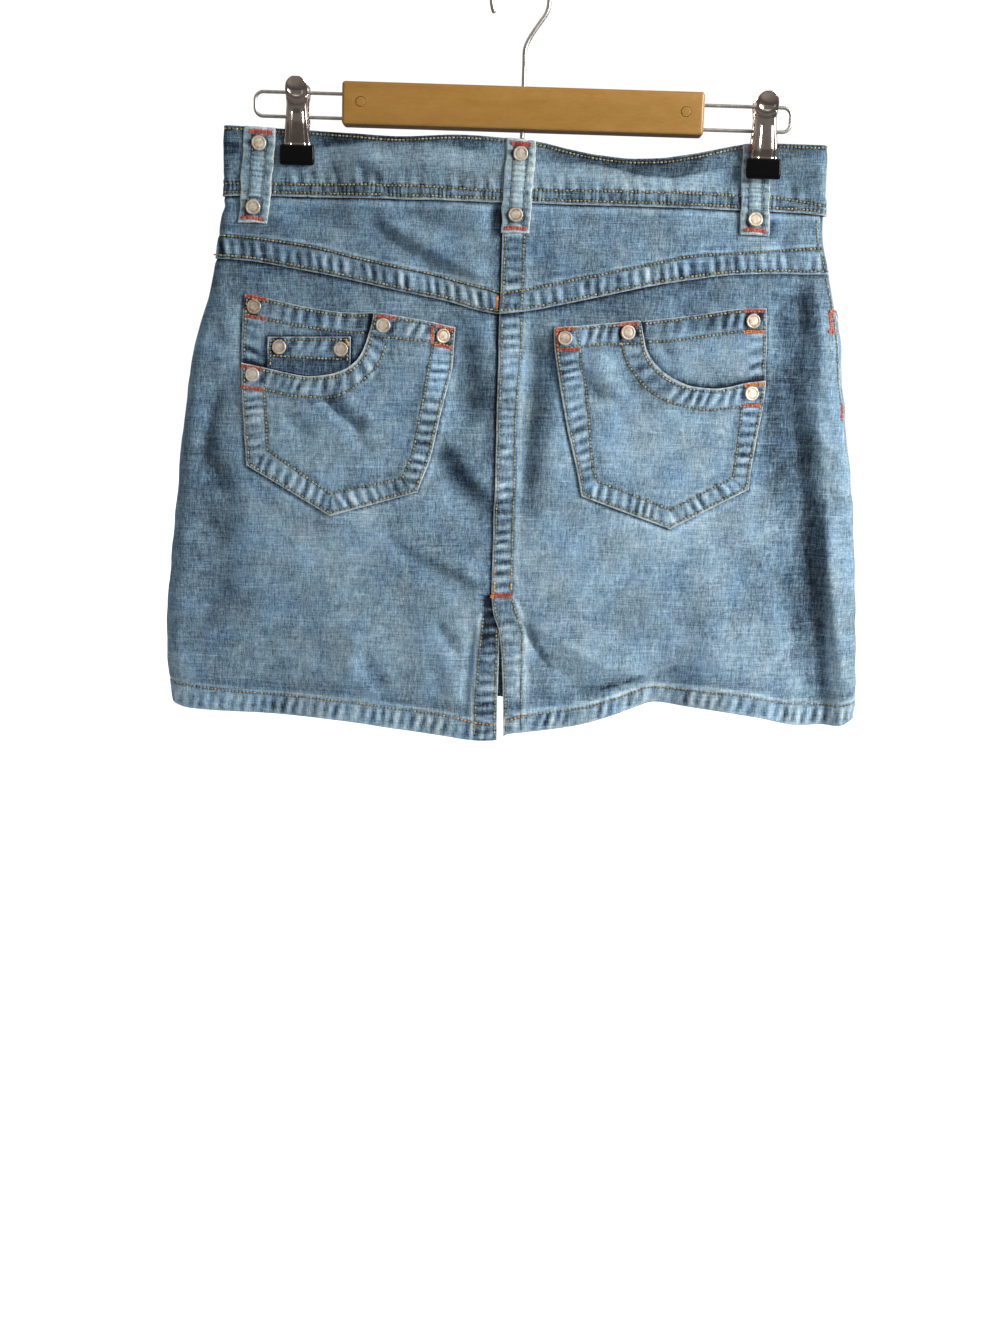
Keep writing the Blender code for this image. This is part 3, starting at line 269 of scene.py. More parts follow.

# Long darker or paler places on the back: painted shade and painted highlight along the folds and creases, and some
# wear.
BACK_CREASE_SHADING_AND_WEAR = (
    # x0, z0, x1, z1, width, how pale, fade, bend, lean
    (-31.0, -212.0, -17.0, -278.0, 8.0, -0.55, 20.0, 0.0, 1.0),
    (-45.0, -288.0, -6.0, -340.0, 7.0, -0.50, 14.0, 2.0, 1.3),
    (26.0, -208.0, 17.0, -300.0, 7.0, -0.50, 20.0, 0.0, 1.0),
    (17.0, -290.0, 9.0, -342.0, 6.0, -0.35, 16.0, 0.0, 1.0),
    (-21.0, -274.0, -21.0, -290.0, 5.0, 0.35, 6.0, 0.0, 1.0),
    (-54.0, -358.0, -13.0, -385.0, 5.0, -0.40, 12.0, 2.0, 1.2),
    (-92.0, -430.0, -79.0, -452.0, 6.0, -0.30, 8.0, 0.0, 1.0),
    (-42.0, -404.0, -29.0, -424.0, 5.0, -0.30, 8.0, 0.0, 1.0),
    (13.0, -402.0, 31.0, -434.0, 2.6, -0.30, 13.0, 1.0, 1.6),
    (20.0, -414.0, 25.0, -460.0, 8.0, -0.35, 14.0, 0.0, 1.0),
    (32.0, -412.0, 76.0, -436.0, 5.5, 0.35, 14.0, 1.0, 1.0),
    (44.0, -448.0, 90.0, -438.0, 3.0, -0.26, 12.0, 1.0, 1.0),
    (60.0, -447.8, 76.0, -444.2, 1.1, -0.60, 4.0, 0.0, 1.0),
    (76.0, -444.2, 92.0, -437.8, 1.1, -0.60, 4.0, 0.0, 1.0),
    (-121.0, -258.0, -88.0, -286.0, 4.0, -0.45, 10.0, 1.5, 1.0),
    (35.0, -230.0, 58.0, -262.0, 5.0, -0.40, 10.0, 1.5, 1.0),
    (-189.0, -256.0, -202.0, -314.0, 5.0, -0.30, 14.0, 0.0, 1.0),
    (-202.0, -294.0, -185.0, -330.0, 5.0, -0.30, 12.0, 0.0, 1.0),
    (-104.0, -114.0, -74.0, -136.0, 3.5, -0.35, 8.0, 1.5, 1.0),
    (-192.0, -107.6, -176.0, -109.0, 2.0, -0.75, 4.0, 0.4, 1.0),
    (-192.0, -113.6, -176.0, -113.0, 1.6, -0.60, 4.0, -0.4, 1.0),
    (-14.0, -139.0, -14.4, -163.0, 3.2, -0.60, 6.0, 0.0, 1.0),
    (138.0, -142.0, 138.6, -160.0, 3.0, -0.40, 6.0, 0.0, 1.0),
    (160.6, -142.0, 161.0, -158.0, 3.0, -0.60, 5.0, 0.0, 1.0),
    (130.0, -124.0, 138.0, -138.0, 3.0, -0.35, 6.0, 0.0, 1.0),
)
# Painted shade and painted highlight along the front's creases.
FRONT_CREASE_SHADING = (
    (-106.0, -194.0, -44.0, -202.0, 3.6, 0.24, 20.0, 2.0, 1.0),
    (-118.0, -214.0, -58.0, -230.0, 3.6, 0.26, 20.0, 2.0, 1.0),
    (-126.0, -234.0, -70.0, -258.0, 5.0, -0.24, 20.0, 2.0, 1.0),
    (112.0, -190.0, 52.0, -204.0, 3.6, 0.24, 20.0, 2.0, 1.0),
    (124.0, -214.0, 62.0, -234.0, 3.6, 0.26, 20.0, 2.0, 1.0),
    (132.0, -238.0, 78.0, -260.0, 5.0, -0.24, 20.0, 2.0, 1.0),
    (12.0, -302.0, 50.0, -354.0, 5.0, -0.26, 18.0, 2.0, 1.0),
    (-14.0, -310.0, -52.0, -350.0, 6.0, 0.30, 14.0, 2.0, 1.0),
    (-60.0, -300.0, -64.0, -440.0, 14.0, -0.16, 50.0, 2.0, 1.0),
    (64.0, -296.0, 72.0, -440.0, 14.0, -0.16, 50.0, 2.0, 1.0),
)
# The panel's fold at the right, under painted shade: where the shade's flat begins and ends.
SHADE = (
    # z,     from,   to
    (-176.0, 178.0, 188.0), (-190.0, 170.0, 191.0), (-204.0, 165.0, 194.0), (-266.0, 157.0, 197.0),
    (-328.0, 168.0, 206.0), (-390.0, 181.0, 210.0), (-440.0, 197.0, 215.0), (-462.0, 208.0, 217.0),
)

LOOPS = {
    # name:               side,    x_top, x_foot, w_top, w_foot, z_foot
    "belt_loop_back_left": ("back", -165.4, -169.6, 19.8, 18.8, -156.6),
    "belt_loop_back_centre": ("back", -0.4, -2.6, 18.4, 18.0, -158.4),
    "belt_loop_back_right": ("back", 148.6, 149.4, 17.8, 18.2, -154.6),
    "belt_loop_front_left": ("front", -92.0, -93.0, 18.4, 18.2, -168.0),
    "belt_loop_front_right": ("front", 96.0, 97.0, 18.4, 18.2, -168.0),
}
RIVETS = {
    # name:                     side,   x,      z,      piece under it
    "rivet_loop_left_top": ("back", -166.4, -107.0, "belt_loop_back_left"),
    "rivet_loop_left_foot": ("back", -169.4, -146.4, "belt_loop_back_left"),
    "rivet_loop_centre_top": ("back", -0.6, -109.6, "belt_loop_back_centre"),
    "rivet_loop_centre_foot": ("back", -2.6, -147.4, "belt_loop_back_centre"),
    "rivet_loop_right_top": ("back", 148.7, -107.6, "belt_loop_back_right"),
    "rivet_loop_right_foot": ("back", 149.3, -145.3, "belt_loop_back_right"),
    "rivet_front_left_top": ("front", -92.2, -118.6, "belt_loop_front_left"),
    "rivet_front_left_foot": ("front", -92.9, -158.6, "belt_loop_front_left"),
    "rivet_front_right_top": ("front", 96.2, -118.6, "belt_loop_front_right"),
    "rivet_front_right_foot": ("front", 96.9, -158.6, "belt_loop_front_right"),
    "rivet_pocket_left_corner": ("back", -167.4, -208.2, "pocket_facing_left"),
    "rivet_pocket_left_mouth": ("back", -84.0, -218.0, "back_pocket_left"),
    "rivet_pocket_left_inner": ("back", -47.4, -222.4, "back_pocket_left"),
    "rivet_pocket_left_outer": ("back", -167.6, -251.0, "back_pocket_left"),
    "rivet_tab_outer": ("back", -150.4, -233.2, "coin_pocket"),
    "rivet_tab_inner": ("back", -110.6, -233.4, "coin_pocket"),
    "rivet_pocket_right_inner": ("back", 31.2, -222.6, "back_pocket_right"),
    "rivet_pocket_right_mouth": ("back", 70.6, -217.6, "back_pocket_right"),
    "rivet_pocket_right_corner": ("back", 150.4, -207.8, "pocket_facing_right"),
    "rivet_pocket_right_outer": ("back", 151.4, -253.0, "back_pocket_right"),
}
LEFT_MOUTH = (
    # x,      z
    (-175.6, -243.6), (-159.3, -246.4), (-145.3, -249.0), (-131.9, -250.8),
    (-118.0, -249.4), (-106.0, -245.4), (-98.6, -238.6), (-94.2, -229.0),
    (-91.4, -217.0), (-90.0, -210.0), (-76.0, -211.4), (-64.0, -213.0),
    (-51.0, -214.7), (-38.0, -216.4),
)
LEFT_TOP = (
    # x,      z
    (-173.8, -200.4), (-156.9, -203.2), (-124.0, -208.8), (-104.5, -210.4),
    (-90.6, -209.7),
)
RIGHT_MOUTH = (
    # x,      z
    (24.0, -216.0), (36.0, -214.8), (49.0, -213.3), (64.0, -211.5),
    (78.4, -209.8), (80.0, -217.0),
    (82.6, -228.0), (88.6, -237.4), (98.7, -245.0), (112.9, -249.8),
    (126.3, -250.6), (136.4, -249.2), (146.4, -246.6), (160.4, -244.4),
)
RIGHT_TOP = (
    # x,      z
    (79.2, -209.9), (110.0, -205.6), (143.6, -200.2), (158.8, -199.4),
)
POCKETS = {
    "left": {
        "sides": (
            # z,      low x,   high x
            (-200.0, -173.8, -38.0), (-232.0, -175.4, -39.0),
            (-265.0, -174.2, -45.4), (-289.0, -173.0, -49.8),
            (-322.0, -170.6, -60.0),
        ),
        "foot": ((-171.4, -308.6), (-116.4, -339.0), (-59.9, -321.8)),
    },
    "right": {
        "sides": (
            # z,      low x,  high x
            (-199.4, 23.6, 158.8), (-220.0, 24.2, 160.0),
            (-243.0, 27.4, 160.4), (-277.0, 33.8, 157.2),
            (-307.0, 42.1, 153.6), (-321.0, 45.2, 153.0),
        ),
        "foot": ((45.2, -321.0), (103.0, -340.5), (153.1, -313.8)),
    },
}
TAB = {"left": -158.0, "right": -104.4, "top_left": -227.0, "top_right": -225.2,
       "clear": 1.0}

# Rows of stitching: side, then places through which each runs.
UPPER_BAND_ROW = (
    (-195.0, -132.4), (-186.0, -132.2), (-159.0, -131.7), (-110.0, -131.0), (-70.0, -130.8),
    (-40.0, -131.6), (-14.0, -132.7), (8.0, -131.4), (50.0, -130.6), (94.0, -130.1),
    (139.0, -129.9), (160.0, -130.4), (175.0, -131.9), (192.0, -134.4), (199.0, -135.2),
)
YOKE_ROW = (
    (-198.0, -164.0), (-186.0, -164.5), (-159.0, -166.7), (-131.0, -170.2), (-103.5, -176.1),
    (-76.0, -181.4), (-48.0, -186.7), (-20.0, -193.0), (-9.6, -195.2), (5.0, -193.1),
    (32.0, -186.8), (60.0, -180.4), (96.0, -171.9), (108.5, -169.0), (136.0, -166.4),
    (163.0, -163.7), (190.0, -161.0), (202.0, -160.4),
)
HEM_ROW_LEFT = (
    (-232.0, -454.0), (-218.0, -454.8), (-184.0, -458.0), (-156.0, -458.8), (-127.0, -459.6),
    (-98.0, -460.8), (-70.0, -463.5), (-41.0, -465.8), (-21.0, -469.1), (-6.0, -470.6),
)
HEM_ROW_RIGHT = (
    (1.6, -467.6), (14.0, -463.8), (42.0, -459.8), (64.0, -455.8), (85.0, -449.8),
    (93.5, -446.4), (111.0, -446.2), (136.5, -447.4), (158.0, -448.8), (172.0, -451.6),
    (193.5, -455.0), (220.0, -456.4), (241.0, -454.2),
)
CENTRE_ROW = (
    # right stitch row of the centre-back seam
    (3.4, -150.0), (3.2, -166.0), (3.0, -200.0), (2.9, -230.0), (1.0, -271.0), (1.6, -312.0),
    (1.8, -350.0), (2.1, -384.5),
)
VENT_ROW_RIGHT = (
    (3.0, -389.0), (5.2, -396.0), (8.6, -405.0), (10.2, -416.0), (10.5, -432.0), (10.8, -455.0), (11.4, -472.0),
)
VENT_ROW_LEFT = (
    (-15.4, -401.0), (-16.0, -411.0), (-17.4, -430.0), (-18.4, -452.0), (-18.8, -480.0),
)
POCKET_ROWS = {
    # the inner row of each patch pocket, and the second row of its scoop
    "left": {
        "inner": ((-159.4, -256.0), (-159.9, -262.0), (-158.6, -282.0), (-157.9, -298.0), (-116.6, -324.8),
                  (-69.7, -313.1), (-63.0, -295.0), (-57.6, -262.0), (-54.1, -234.3), (-52.6, -219.0)),
        "scoop": ((-174.0, -259.0), (-156.7, -260.6), (-140.0, -263.4), (-123.6, -263.4), (-110.0, -261.4),
                  (-101.0, -256.0), (-90.6, -246.6), (-84.4, -237.0), (-82.0, -228.6)),
        "top": ((-172.0, -213.0), (-159.4, -215.9), (-137.0, -219.5), (-108.7, -222.6), (-95.4, -222.6)),
        "top_low": ((-88.8, -224.9), (-70.0, -225.8), (-54.0, -227.0), (-41.0, -229.4)),
    },
    "right": {
        "inner": ((37.6, -217.0), (40.2, -229.0), (43.6, -248.0), (47.6, -269.4), (49.6, -288.0), (51.6, -303.5),
                  (55.1, -311.1), (103.0, -328.0), (142.3, -306.4), (144.2, -288.0), (145.3, -262.0)),
        "scoop": ((66.0, -221.4), (69.4, -233.0), (75.0, -241.6), (85.1, -252.5), (99.4, -260.0),
                  (120.7, -264.0), (138.0, -262.4), (158.6, -259.6)),
        "top": ((83.6, -222.9), (100.0, -221.2), (122.0, -217.8), (144.5, -214.0), (157.4, -213.6)),
        "top_low": ((26.4, -229.4), (39.0, -227.6), (52.0, -226.0), (66.0, -224.6), (78.0, -223.9)),
    },
}


# ------------------------------------------------------------------ interpolation
def smooth(rows, column=1):
    """A function through the rows of a table, with no overshoot."""
    x = np.array([row[0] for row in rows], float)
    y = np.array([row[column] for row in rows], float)
    if x[0] > x[-1]:
        x, y = x[::-1], y[::-1]
    h, d = np.diff(x), np.diff(y) / np.diff(x)
    slope = np.zeros(len(x))
    slope[0], slope[-1] = d[0], d[-1]
    for i in range(1, len(x) - 1):
        if d[i - 1] * d[i] > 0:
            a, b = 2 * h[i] + h[i - 1], h[i] + 2 * h[i - 1]
            slope[i] = (a + b) / (a / d[i - 1] + b / d[i])

    def value(at):
        at = np.clip(at, x[0], x[-1])
        i = np.clip(np.searchsorted(x, at, side="right") - 1, 0, len(x) - 2)
        t = (at - x[i]) / h[i]
        return (
            (1 + 2 * t) * (1 - t) ** 2 * y[i]
            + t * (1 - t) ** 2 * h[i] * slope[i]
            + t * t * (3 - 2 * t) * y[i + 1]
            + t * t * (t - 1) * h[i] * slope[i + 1]
        )

    return value


def step(t):
    t = np.clip(t, 0.0, 1.0)
    return t * t * (3 - 2 * t)


def hill(d, width):
    return np.exp(-((d / width) ** 2))


def hashed(i, seed):
    value = np.sin(i * 127.1 + seed * 311.7) * 43758.5453
    return 2 * (value - np.floor(value)) - 1


def wander(t, seed):
    """Smooth noise along a line, from -1 to 1, with a period of about 1."""
    i = np.floor(t)
    f = t - i
    f = f * f * (3 - 2 * f)
    return hashed(i, seed) * (1 - f) + hashed(i + 1, seed) * f


def cloud(x, y, seed):
    """The same over a plane."""
    i, j = np.floor(x), np.floor(y)
    f, g = x - i, y - j
    f, g = f * f * (3 - 2 * f), g * g * (3 - 2 * g)
    low = hashed(i + 57 * j, seed) * (1 - f) + hashed(i + 1 + 57 * j, seed) * f
    high = hashed(i + 57 * (j + 1), seed) * (1 - f) + hashed(i + 1 + 57 * (j + 1), seed) * f
    return low * (1 - g) + high * g


def bars(t, v, wave, skew, seed):
    """The puckers that a row of stitching draws across a seam, from -1 to 1: a
    pale ridge and a dark valley to each pair of waves, as uneven as on worn denim."""
    s = t / (2 * wave) + 0.5 * skew * v + 0.34 * wander(t / (6.1 * wave), seed + 9) + 0.07 * wander(3.0 * v + t / (4 * wave), seed + 4)
    beat = np.cos(2 * PI * s)
    much = 0.66 + 0.40 * wander(0.83 * s + 2.0, seed + 6) + 0.12 * wander(2.2 * v + 5 * s, seed + 2)
    rough = wander(2.7 * s + 1.1 * v, seed)
    return 0.9 * np.sign(beat) * np.abs(beat) ** 0.75 * much + 0.36 * rough


ring_left, ring_right, ring_fold, ring_back, ring_front = (
    smooth(RINGS, column) for column in range(1, 6)
)
top_of = {"back": smooth(BACK_TOP), "front": smooth(FRONT_TOP)}
band_low_of = {"back": smooth(BACK_BAND_LOW), "front": smooth(FRONT_BAND_LOW)}
hem_of = {"back": smooth(BACK_HEM), "front": smooth(FRONT_HEM)}
yoke_seam = smooth(YOKE_SEAM)
vent_left, vent_right = smooth(VENT_EDGES, 1), smooth(VENT_EDGES, 2)
lip_z, lip_lean = smooth(LIP, 1), smooth(LIP, 2)


# ------------------------------------------------------------------ the skirt's surface
def ring(z):
    left, right, fold = ring_left(z), ring_right(z), ring_fold(z)
    half = (right - left) / 2
    return (left + right) / 2, half, fold, half + (PI / 2 - 1) * fold


def u_at(side, across, z):
    """Round the ring, -1 to 3, from the unrolled place across a side."""
    middle, _, _, quarter = ring(z)
    u = (across - middle) / quarter
    return u if side == "back" else 2 - u


def across_at(side, u, z):
    middle, _, _, quarter = ring(z)
    return (u if side == "back" else 2 - u) * quarter + middle


def x_of(side, x, z):
    """The unrolled place of a point that shows at x."""
    middle, half, fold, quarter = ring(z)
    inset = np.maximum(half - np.abs(x - middle), 0.0)
    bent = fold * np.arccos(np.clip(1 - inset / fold, -1, 1))
    way = np.where(inset < fold, bent, inset + fold * (PI / 2 - 1))
    return middle + np.sign(x - middle) * (quarter - way)


def trough(x, z, row):
    x0, z0, x1, z1, width, depth, fade, *rest = row
    bend, lean = rest or (0.0, 1.0)
    length = math.hypot(x1 - x0, z1 - z0)
    along = ((x - x0) * (x1 - x0) + (z - z0) * (z1 - z0)) / length
    off = ((x - x0) * (z1 - z0) - (z - z0) * (x1 - x0)) / length
    if bend:
        t = np.clip(along / length, 0, 1)
        off = off - bend * 4 * t * (1 - t)
    ends = step(along / fade) * step((length - along) / fade)
    if lean != 1.0:
        width = np.where(off > 0, width / lean, width * lean)
    return depth * np.exp(-((off / width) ** 2)) * ends


def place(u, z):
    """The cloth's middle at (u, z), in millimetres."""
    u = (u + 1) % 4 - 1
    back = u <= 1
    across = np.where(back, u, 2 - u)
    middle, half, fold, quarter = ring(z)
    way = (1 - np.abs(across)) * quarter
    turn = way < fold * PI / 2
    angle = np.clip(way / fold, 0, PI / 2)
    inset = np.where(turn, fold * (1 - np.cos(angle)), way - fold * (PI / 2 - 1))
    cap = np.where(turn, fold * np.sin(angle), fold)
    edge = np.exp(-inset / 9.0)
    wave = np.where(across < 0, 0.6 * wander(z / 17.0, 61) + 0.3 * wander(z / 7.0, 62), 0.7 * wander(z / 13.0, 63))
    notch = np.where(across < 0, 1.5 * hill(z + 146.0, 3.6) + 1.2 * hill(z + 133.0, 11.0) - 0.5 * hill(z + 158.0, 6.0), 0.0)
    x = middle + np.copysign(half - inset, across) + edge * (wave + notch) * np.where(across < 0, 1.0, -1.0) * step((-96.0 - z) / 14.0)
    deep = np.where(back, ring_back(z), ring_front(z))
    out = cap + (deep - fold) * np.sin(PI / 2 * np.minimum(inset / half, 1.0))
    near_fold = step(inset / (2.2 * fold))
    drop = np.zeros_like(out)
    for side, *row in FOLDS:
        on = back if side == "back" else ~back
        drop += np.where(on, trough(x, z, row), 0.0)
    for side, *row in CREASES:
        on = back if side == "back" else ~back
        drop += np.where(on, 1.6 * trough(x, z, row), 0.0)
    # The cloth is never quite flat.
    drop += 0.55 * cloud(x / 31.0 + 40 * back, z / 44.0, 5) + 0.28 * cloud(x / 13.0, z / 19.0 + 30 * back, 6)
    out = out - drop * near_fold
    # The lip of the waistband rolls outwards above its crease.
    above = z - lip_z(x)
    lean = lip_lean(x) * (np.sqrt(np.maximum(above + 0.4, 0.0) ** 2 + 0.5) - 0.7) / 9.0
    lean = np.where(back & (above > -0.4), np.maximum(lean, 0.0), 0.0)
    crease = 0.14 * lip_lean(x) * np.exp(-np.abs(above) / 1.5)
    out = out + np.where(back, lean - np.minimum(crease, 0.8), 0.0)
    for x0, flat, wide, z_flat, down in PINCHES:
        held = (1 - step((np.abs(x - x0) - flat) / wide)) * (1 - step((z_flat - z) / down))
        out = out + (PINCHED - out) * held * near_fold
    return np.stack([x, np.where(back, -out, out), z], -1)


def surface(u, z):
    """Places and outward normals."""
    u, z = np.asarray(u, float), np.asarray(z, float)
    du, dz = 0.003, 0.6
    across = place(u + du, z) - place(u - du, z)
    along = place(u, z + dz) - place(u, z - dz)
    normal = np.cross(across, along)
    normal /= np.linalg.norm(normal, axis=-1, keepdims=True)
    return place(u, z), normal


def on_cloth(side, across, z, out):
    """Places on a side, lifted by out."""
    across, z = np.asarray(across, float), np.asarray(z, float)
    at, normal = surface(u_at(side, across, z), z)
    return at + normal * np.asarray(out)[..., None], normal


def height(table, side, u):
    z = np.full_like(u, -200.0)
    for _ in range(4):
        z = table(across_at(side, u, z))
    return z


def side_seam(which, z):
    quarter = ring(z)[3]
    return 1 - 6.0 / quarter if which == "right" else -1 - 6.0 / quarter


# ------------------------------------------------------------------ lines on the cloth
class Line:
    """A line on a side of the cloth, with how far a place is from it."""

    def __init__(self, side, rows, curved=True, closed=False, every=1.2, pitch=2.4):
        self.pitch = pitch
        p = np.array(rows, float)
        if closed:
            p = np.vstack([p, p[:1]])
        if curved:
            q = np.vstack([2 * p[0] - p[1], p, 2 * p[-1] - p[-2]])
            made = []
            for i in range(1, len(q) - 2):
                n = max(2, int(np.linalg.norm(q[i + 1] - q[i]) / every))
                t = np.linspace(0, 1, n, endpoint=False)[:, None]
                made.append(0.5 * (2 * q[i] + (q[i + 1] - q[i - 1]) * t
                                   + (2 * q[i - 1] - 5 * q[i] + 4 * q[i + 1] - q[i + 2]) * t ** 2
                                   + (3 * q[i] - q[i - 1] - 3 * q[i + 1] + q[i + 2]) * t ** 3))
            p = np.vstack([*made, p[-1:]])
        self.side, self.p = side, p
        self.t = np.concatenate([[0.0], np.cumsum(np.linalg.norm(np.diff(p, axis=0), axis=1))])

    def near(self, x, z, reach=22.0):
        """(how far, left of the line being positive; where along it)."""
        shape = np.shape(x)
        q = np.stack([np.ravel(x), np.ravel(z)], 1)
        far, along = np.full(len(q), 999.0), np.zeros(len(q))
        low, high = self.p.min(0) - reach, self.p.max(0) + reach
        pick = np.flatnonzero(((q >= low) & (q <= high)).all(1))
        a, ab = self.p[:-1], np.diff(self.p, axis=0)
        squared = (ab ** 2).sum(1)
        for part in np.array_split(pick, max(1, len(pick) // 3000)):
            if not len(part):
                continue
            w = q[part][:, None] - a
            k = np.clip((w * ab).sum(2) / squared, 0, 1)
            away = ((w - k[..., None] * ab) ** 2).sum(2)
            best = away.argmin(1)
            rows = np.arange(len(part))
            turn = ab[best, 0] * w[rows, best, 1] - ab[best, 1] * w[rows, best, 0]
            far[part] = np.sqrt(away[rows, best]) * np.where(turn >= 0, 1.0, -1.0)
            along[part] = self.t[best] + k[rows, best] * np.sqrt(squared[best])
        return far.reshape(shape), along.reshape(shape)

    def at(self, t):
        return np.stack([np.interp(t, self.t, self.p[:, k]) for k in (0, 1)], -1)


def moved(table, rows_x, lift):
    """A line that follows a height table, so far above it."""
    return [(x, float(table(x)) + lift) for x in rows_x]


def spread(low, high, every=4.0):
    return np.linspace(low, high, max(2, int(abs(high - low) / every)))


# ------------------------------------------------------------------ the grain and its marks
def wash_and_painted_shade(side, x, z):
    """How much paler or darker the cloth is, roughly -1 to 1: wear, with painted shade and painted highlight laid over
    it.
    """
    tone = 0.12 * cloud(x / 60.0, z / 48.0, 21) + 0.08 * cloud(x / 22.0, z / 30.0, 22)
    # Painted shade: the upper part is darker, from the pockets' tops up.
    tone = tone - 0.30 * step((z + 232.0) / 40.0)
    if side == "back":
        # Soft patches: worn paler places on the seat and the pockets, a pale strip at the right side, darker bands
        # below the yoke seam; painted shade down the left side, where the cloth turns away, and beside the centre seam;
        # painted light on the waistband below its lip.
        for x0, z0, rx, rz, amount in (
            (-112.0, -410.0, 60.0, 50.0, 0.12), (108.0, -390.0, 60.0, 50.0, 0.12),
            (96.0, -295.0, 30.0, 30.0, 0.08), (-112.0, -292.0, 34.0, 26.0, 0.05),
            (60.0, -410.0, 24.0, 30.0, 0.05), (-198.0, -330.0, 22.0, 95.0, -0.45),
            (218.0, -400.0, 8.0, 60.0, 0.25),
            (-60.0, -120.0, 70.0, 12.0, 0.10), (80.0, -126.0, 70.0, 8.0, 0.25),
            (-24.0, -285.0, 14.0, 60.0, -0.15), (14.0, -290.0, 10.0, 60.0, -0.10),
            (-60.0, -215.0, 50.0, 6.0, -0.15), (60.0, -205.0, 50.0, 6.0, -0.10),
        ):
            tone = tone + amount * np.exp(-(((x - x0) / rx) ** 2) - ((z - z0) / rz) ** 2)
        # Painted shade and painted highlight along the folds and creases, with some wear.
        for streak in BACK_CREASE_SHADING_AND_WEAR:
            tone = tone + trough(x, z, streak)
    else:
        # Painted shade and painted highlight along the front's creases.
        for streak in FRONT_CREASE_SHADING:
            tone = tone + trough(x, z, streak)
        for x0, z0, rx, rz, amount in (
            (-110.0, -360.0, 50.0, 80.0, 0.35), (112.0, -360.0, 50.0, 80.0, 0.35),
            (-60.0, -190.0, 40.0, 18.0, -0.15), (60.0, -190.0, 40.0, 18.0, -0.15),
            (0.0, -420.0, 20.0, 60.0, -0.15),
        ):
            tone = tone + amount * np.exp(-(((x - x0) / rx) ** 2) - ((z - z0) / rz) ** 2)
    return tone


class Marks:
    """What a piece's cloth does at each place: how far its middle stands out,
    half its thickness, how pale it is and how worn its edge is."""

    def __init__(self, side, x, z, half=0.5, tone=0.0):
        self.side, self.x, self.z = side, x, z
        self.mid = np.zeros_like(x)
        self.half = np.full_like(x, half)
        self.tone = wash_and_painted_shade(side, x, z) + tone
        self.edge = np.zeros_like(x)
        self.seam_q = np.full_like(x, 9.0)
        self.seam_t = np.zeros_like(x)
        self.rib = np.zeros_like(x)
        self.deep = np.zeros_like(x)
        self.hue = np.zeros_like(x)

    def groove(self, line, deep=0.2, wide=0.9, dark=0.2, ridge=0.0, holes=True):
        """A row of stitches presses in, with painted shade along it; the places it dives at get the darkest painted
        shade, in the material.
        """
        d, t = line.near(self.x, self.z, 8.0)
        self.mid -= deep * hill(d, wide)
        self.tone -= dark * hill(d, wide * 1.3)
        if ridge:
            self.tone += abs(ridge) * hill(d - math.copysign(2.0, ridge), 1.0)
            self.mid += 0.12 * hill(d - math.copysign(2.0, ridge), 1.0)
        if holes:
            nearer = d ** 2 < self.seam_q
            self.seam_q = np.where(nearer, d ** 2, self.seam_q)
            self.seam_t = np.where(nearer, t / line.pitch, self.seam_t)
        return self

    def pucker(self, d, t, width, wave, deep, seed, skew=0.8, tone=0.9, inside=1.0):
        """Puckers over the band from d = 0 to d = width."""
        v = d / width
        window = np.where((v > 0) & (v < 1), np.clip(np.sin(PI * np.clip(v, 0, 1)), 0, 1) ** 0.6, 0.0) * inside
        b = bars(t, v, wave, skew, seed)
        self.mid += deep * b * window
        self.tone += (tone * b - 0.10) * window
        return self

    def worn(self, d, wide=0.8, much=1.0, seed=3, t=None):
        """A worn edge, d away."""
        along = self.x + self.z if t is None else t
        patchy = 0.66 + 0.30 * wander(along / 5.0, seed) + 0.16 * wander(along / 1.9, seed + 1)
        self.edge = np.maximum(self.edge, much * patchy * np.exp(-np.abs(d / (0.72 * wide)) ** 2.4))
        self.tone += 0.25 * much * hill(d, 2.2 * wide)
        return self

    def dimple(self, x0, z0, radius=5.6):
        """The cloth sinks a little round a rivet, with a darker ring round it: wear and painted shade."""
        r = np.hypot(self.x - x0, self.z - z0)
        self.mid -= 0.25 * hill(r, radius)
        self.tone -= 0.55 * hill(r - radius, 1.5)
        return self


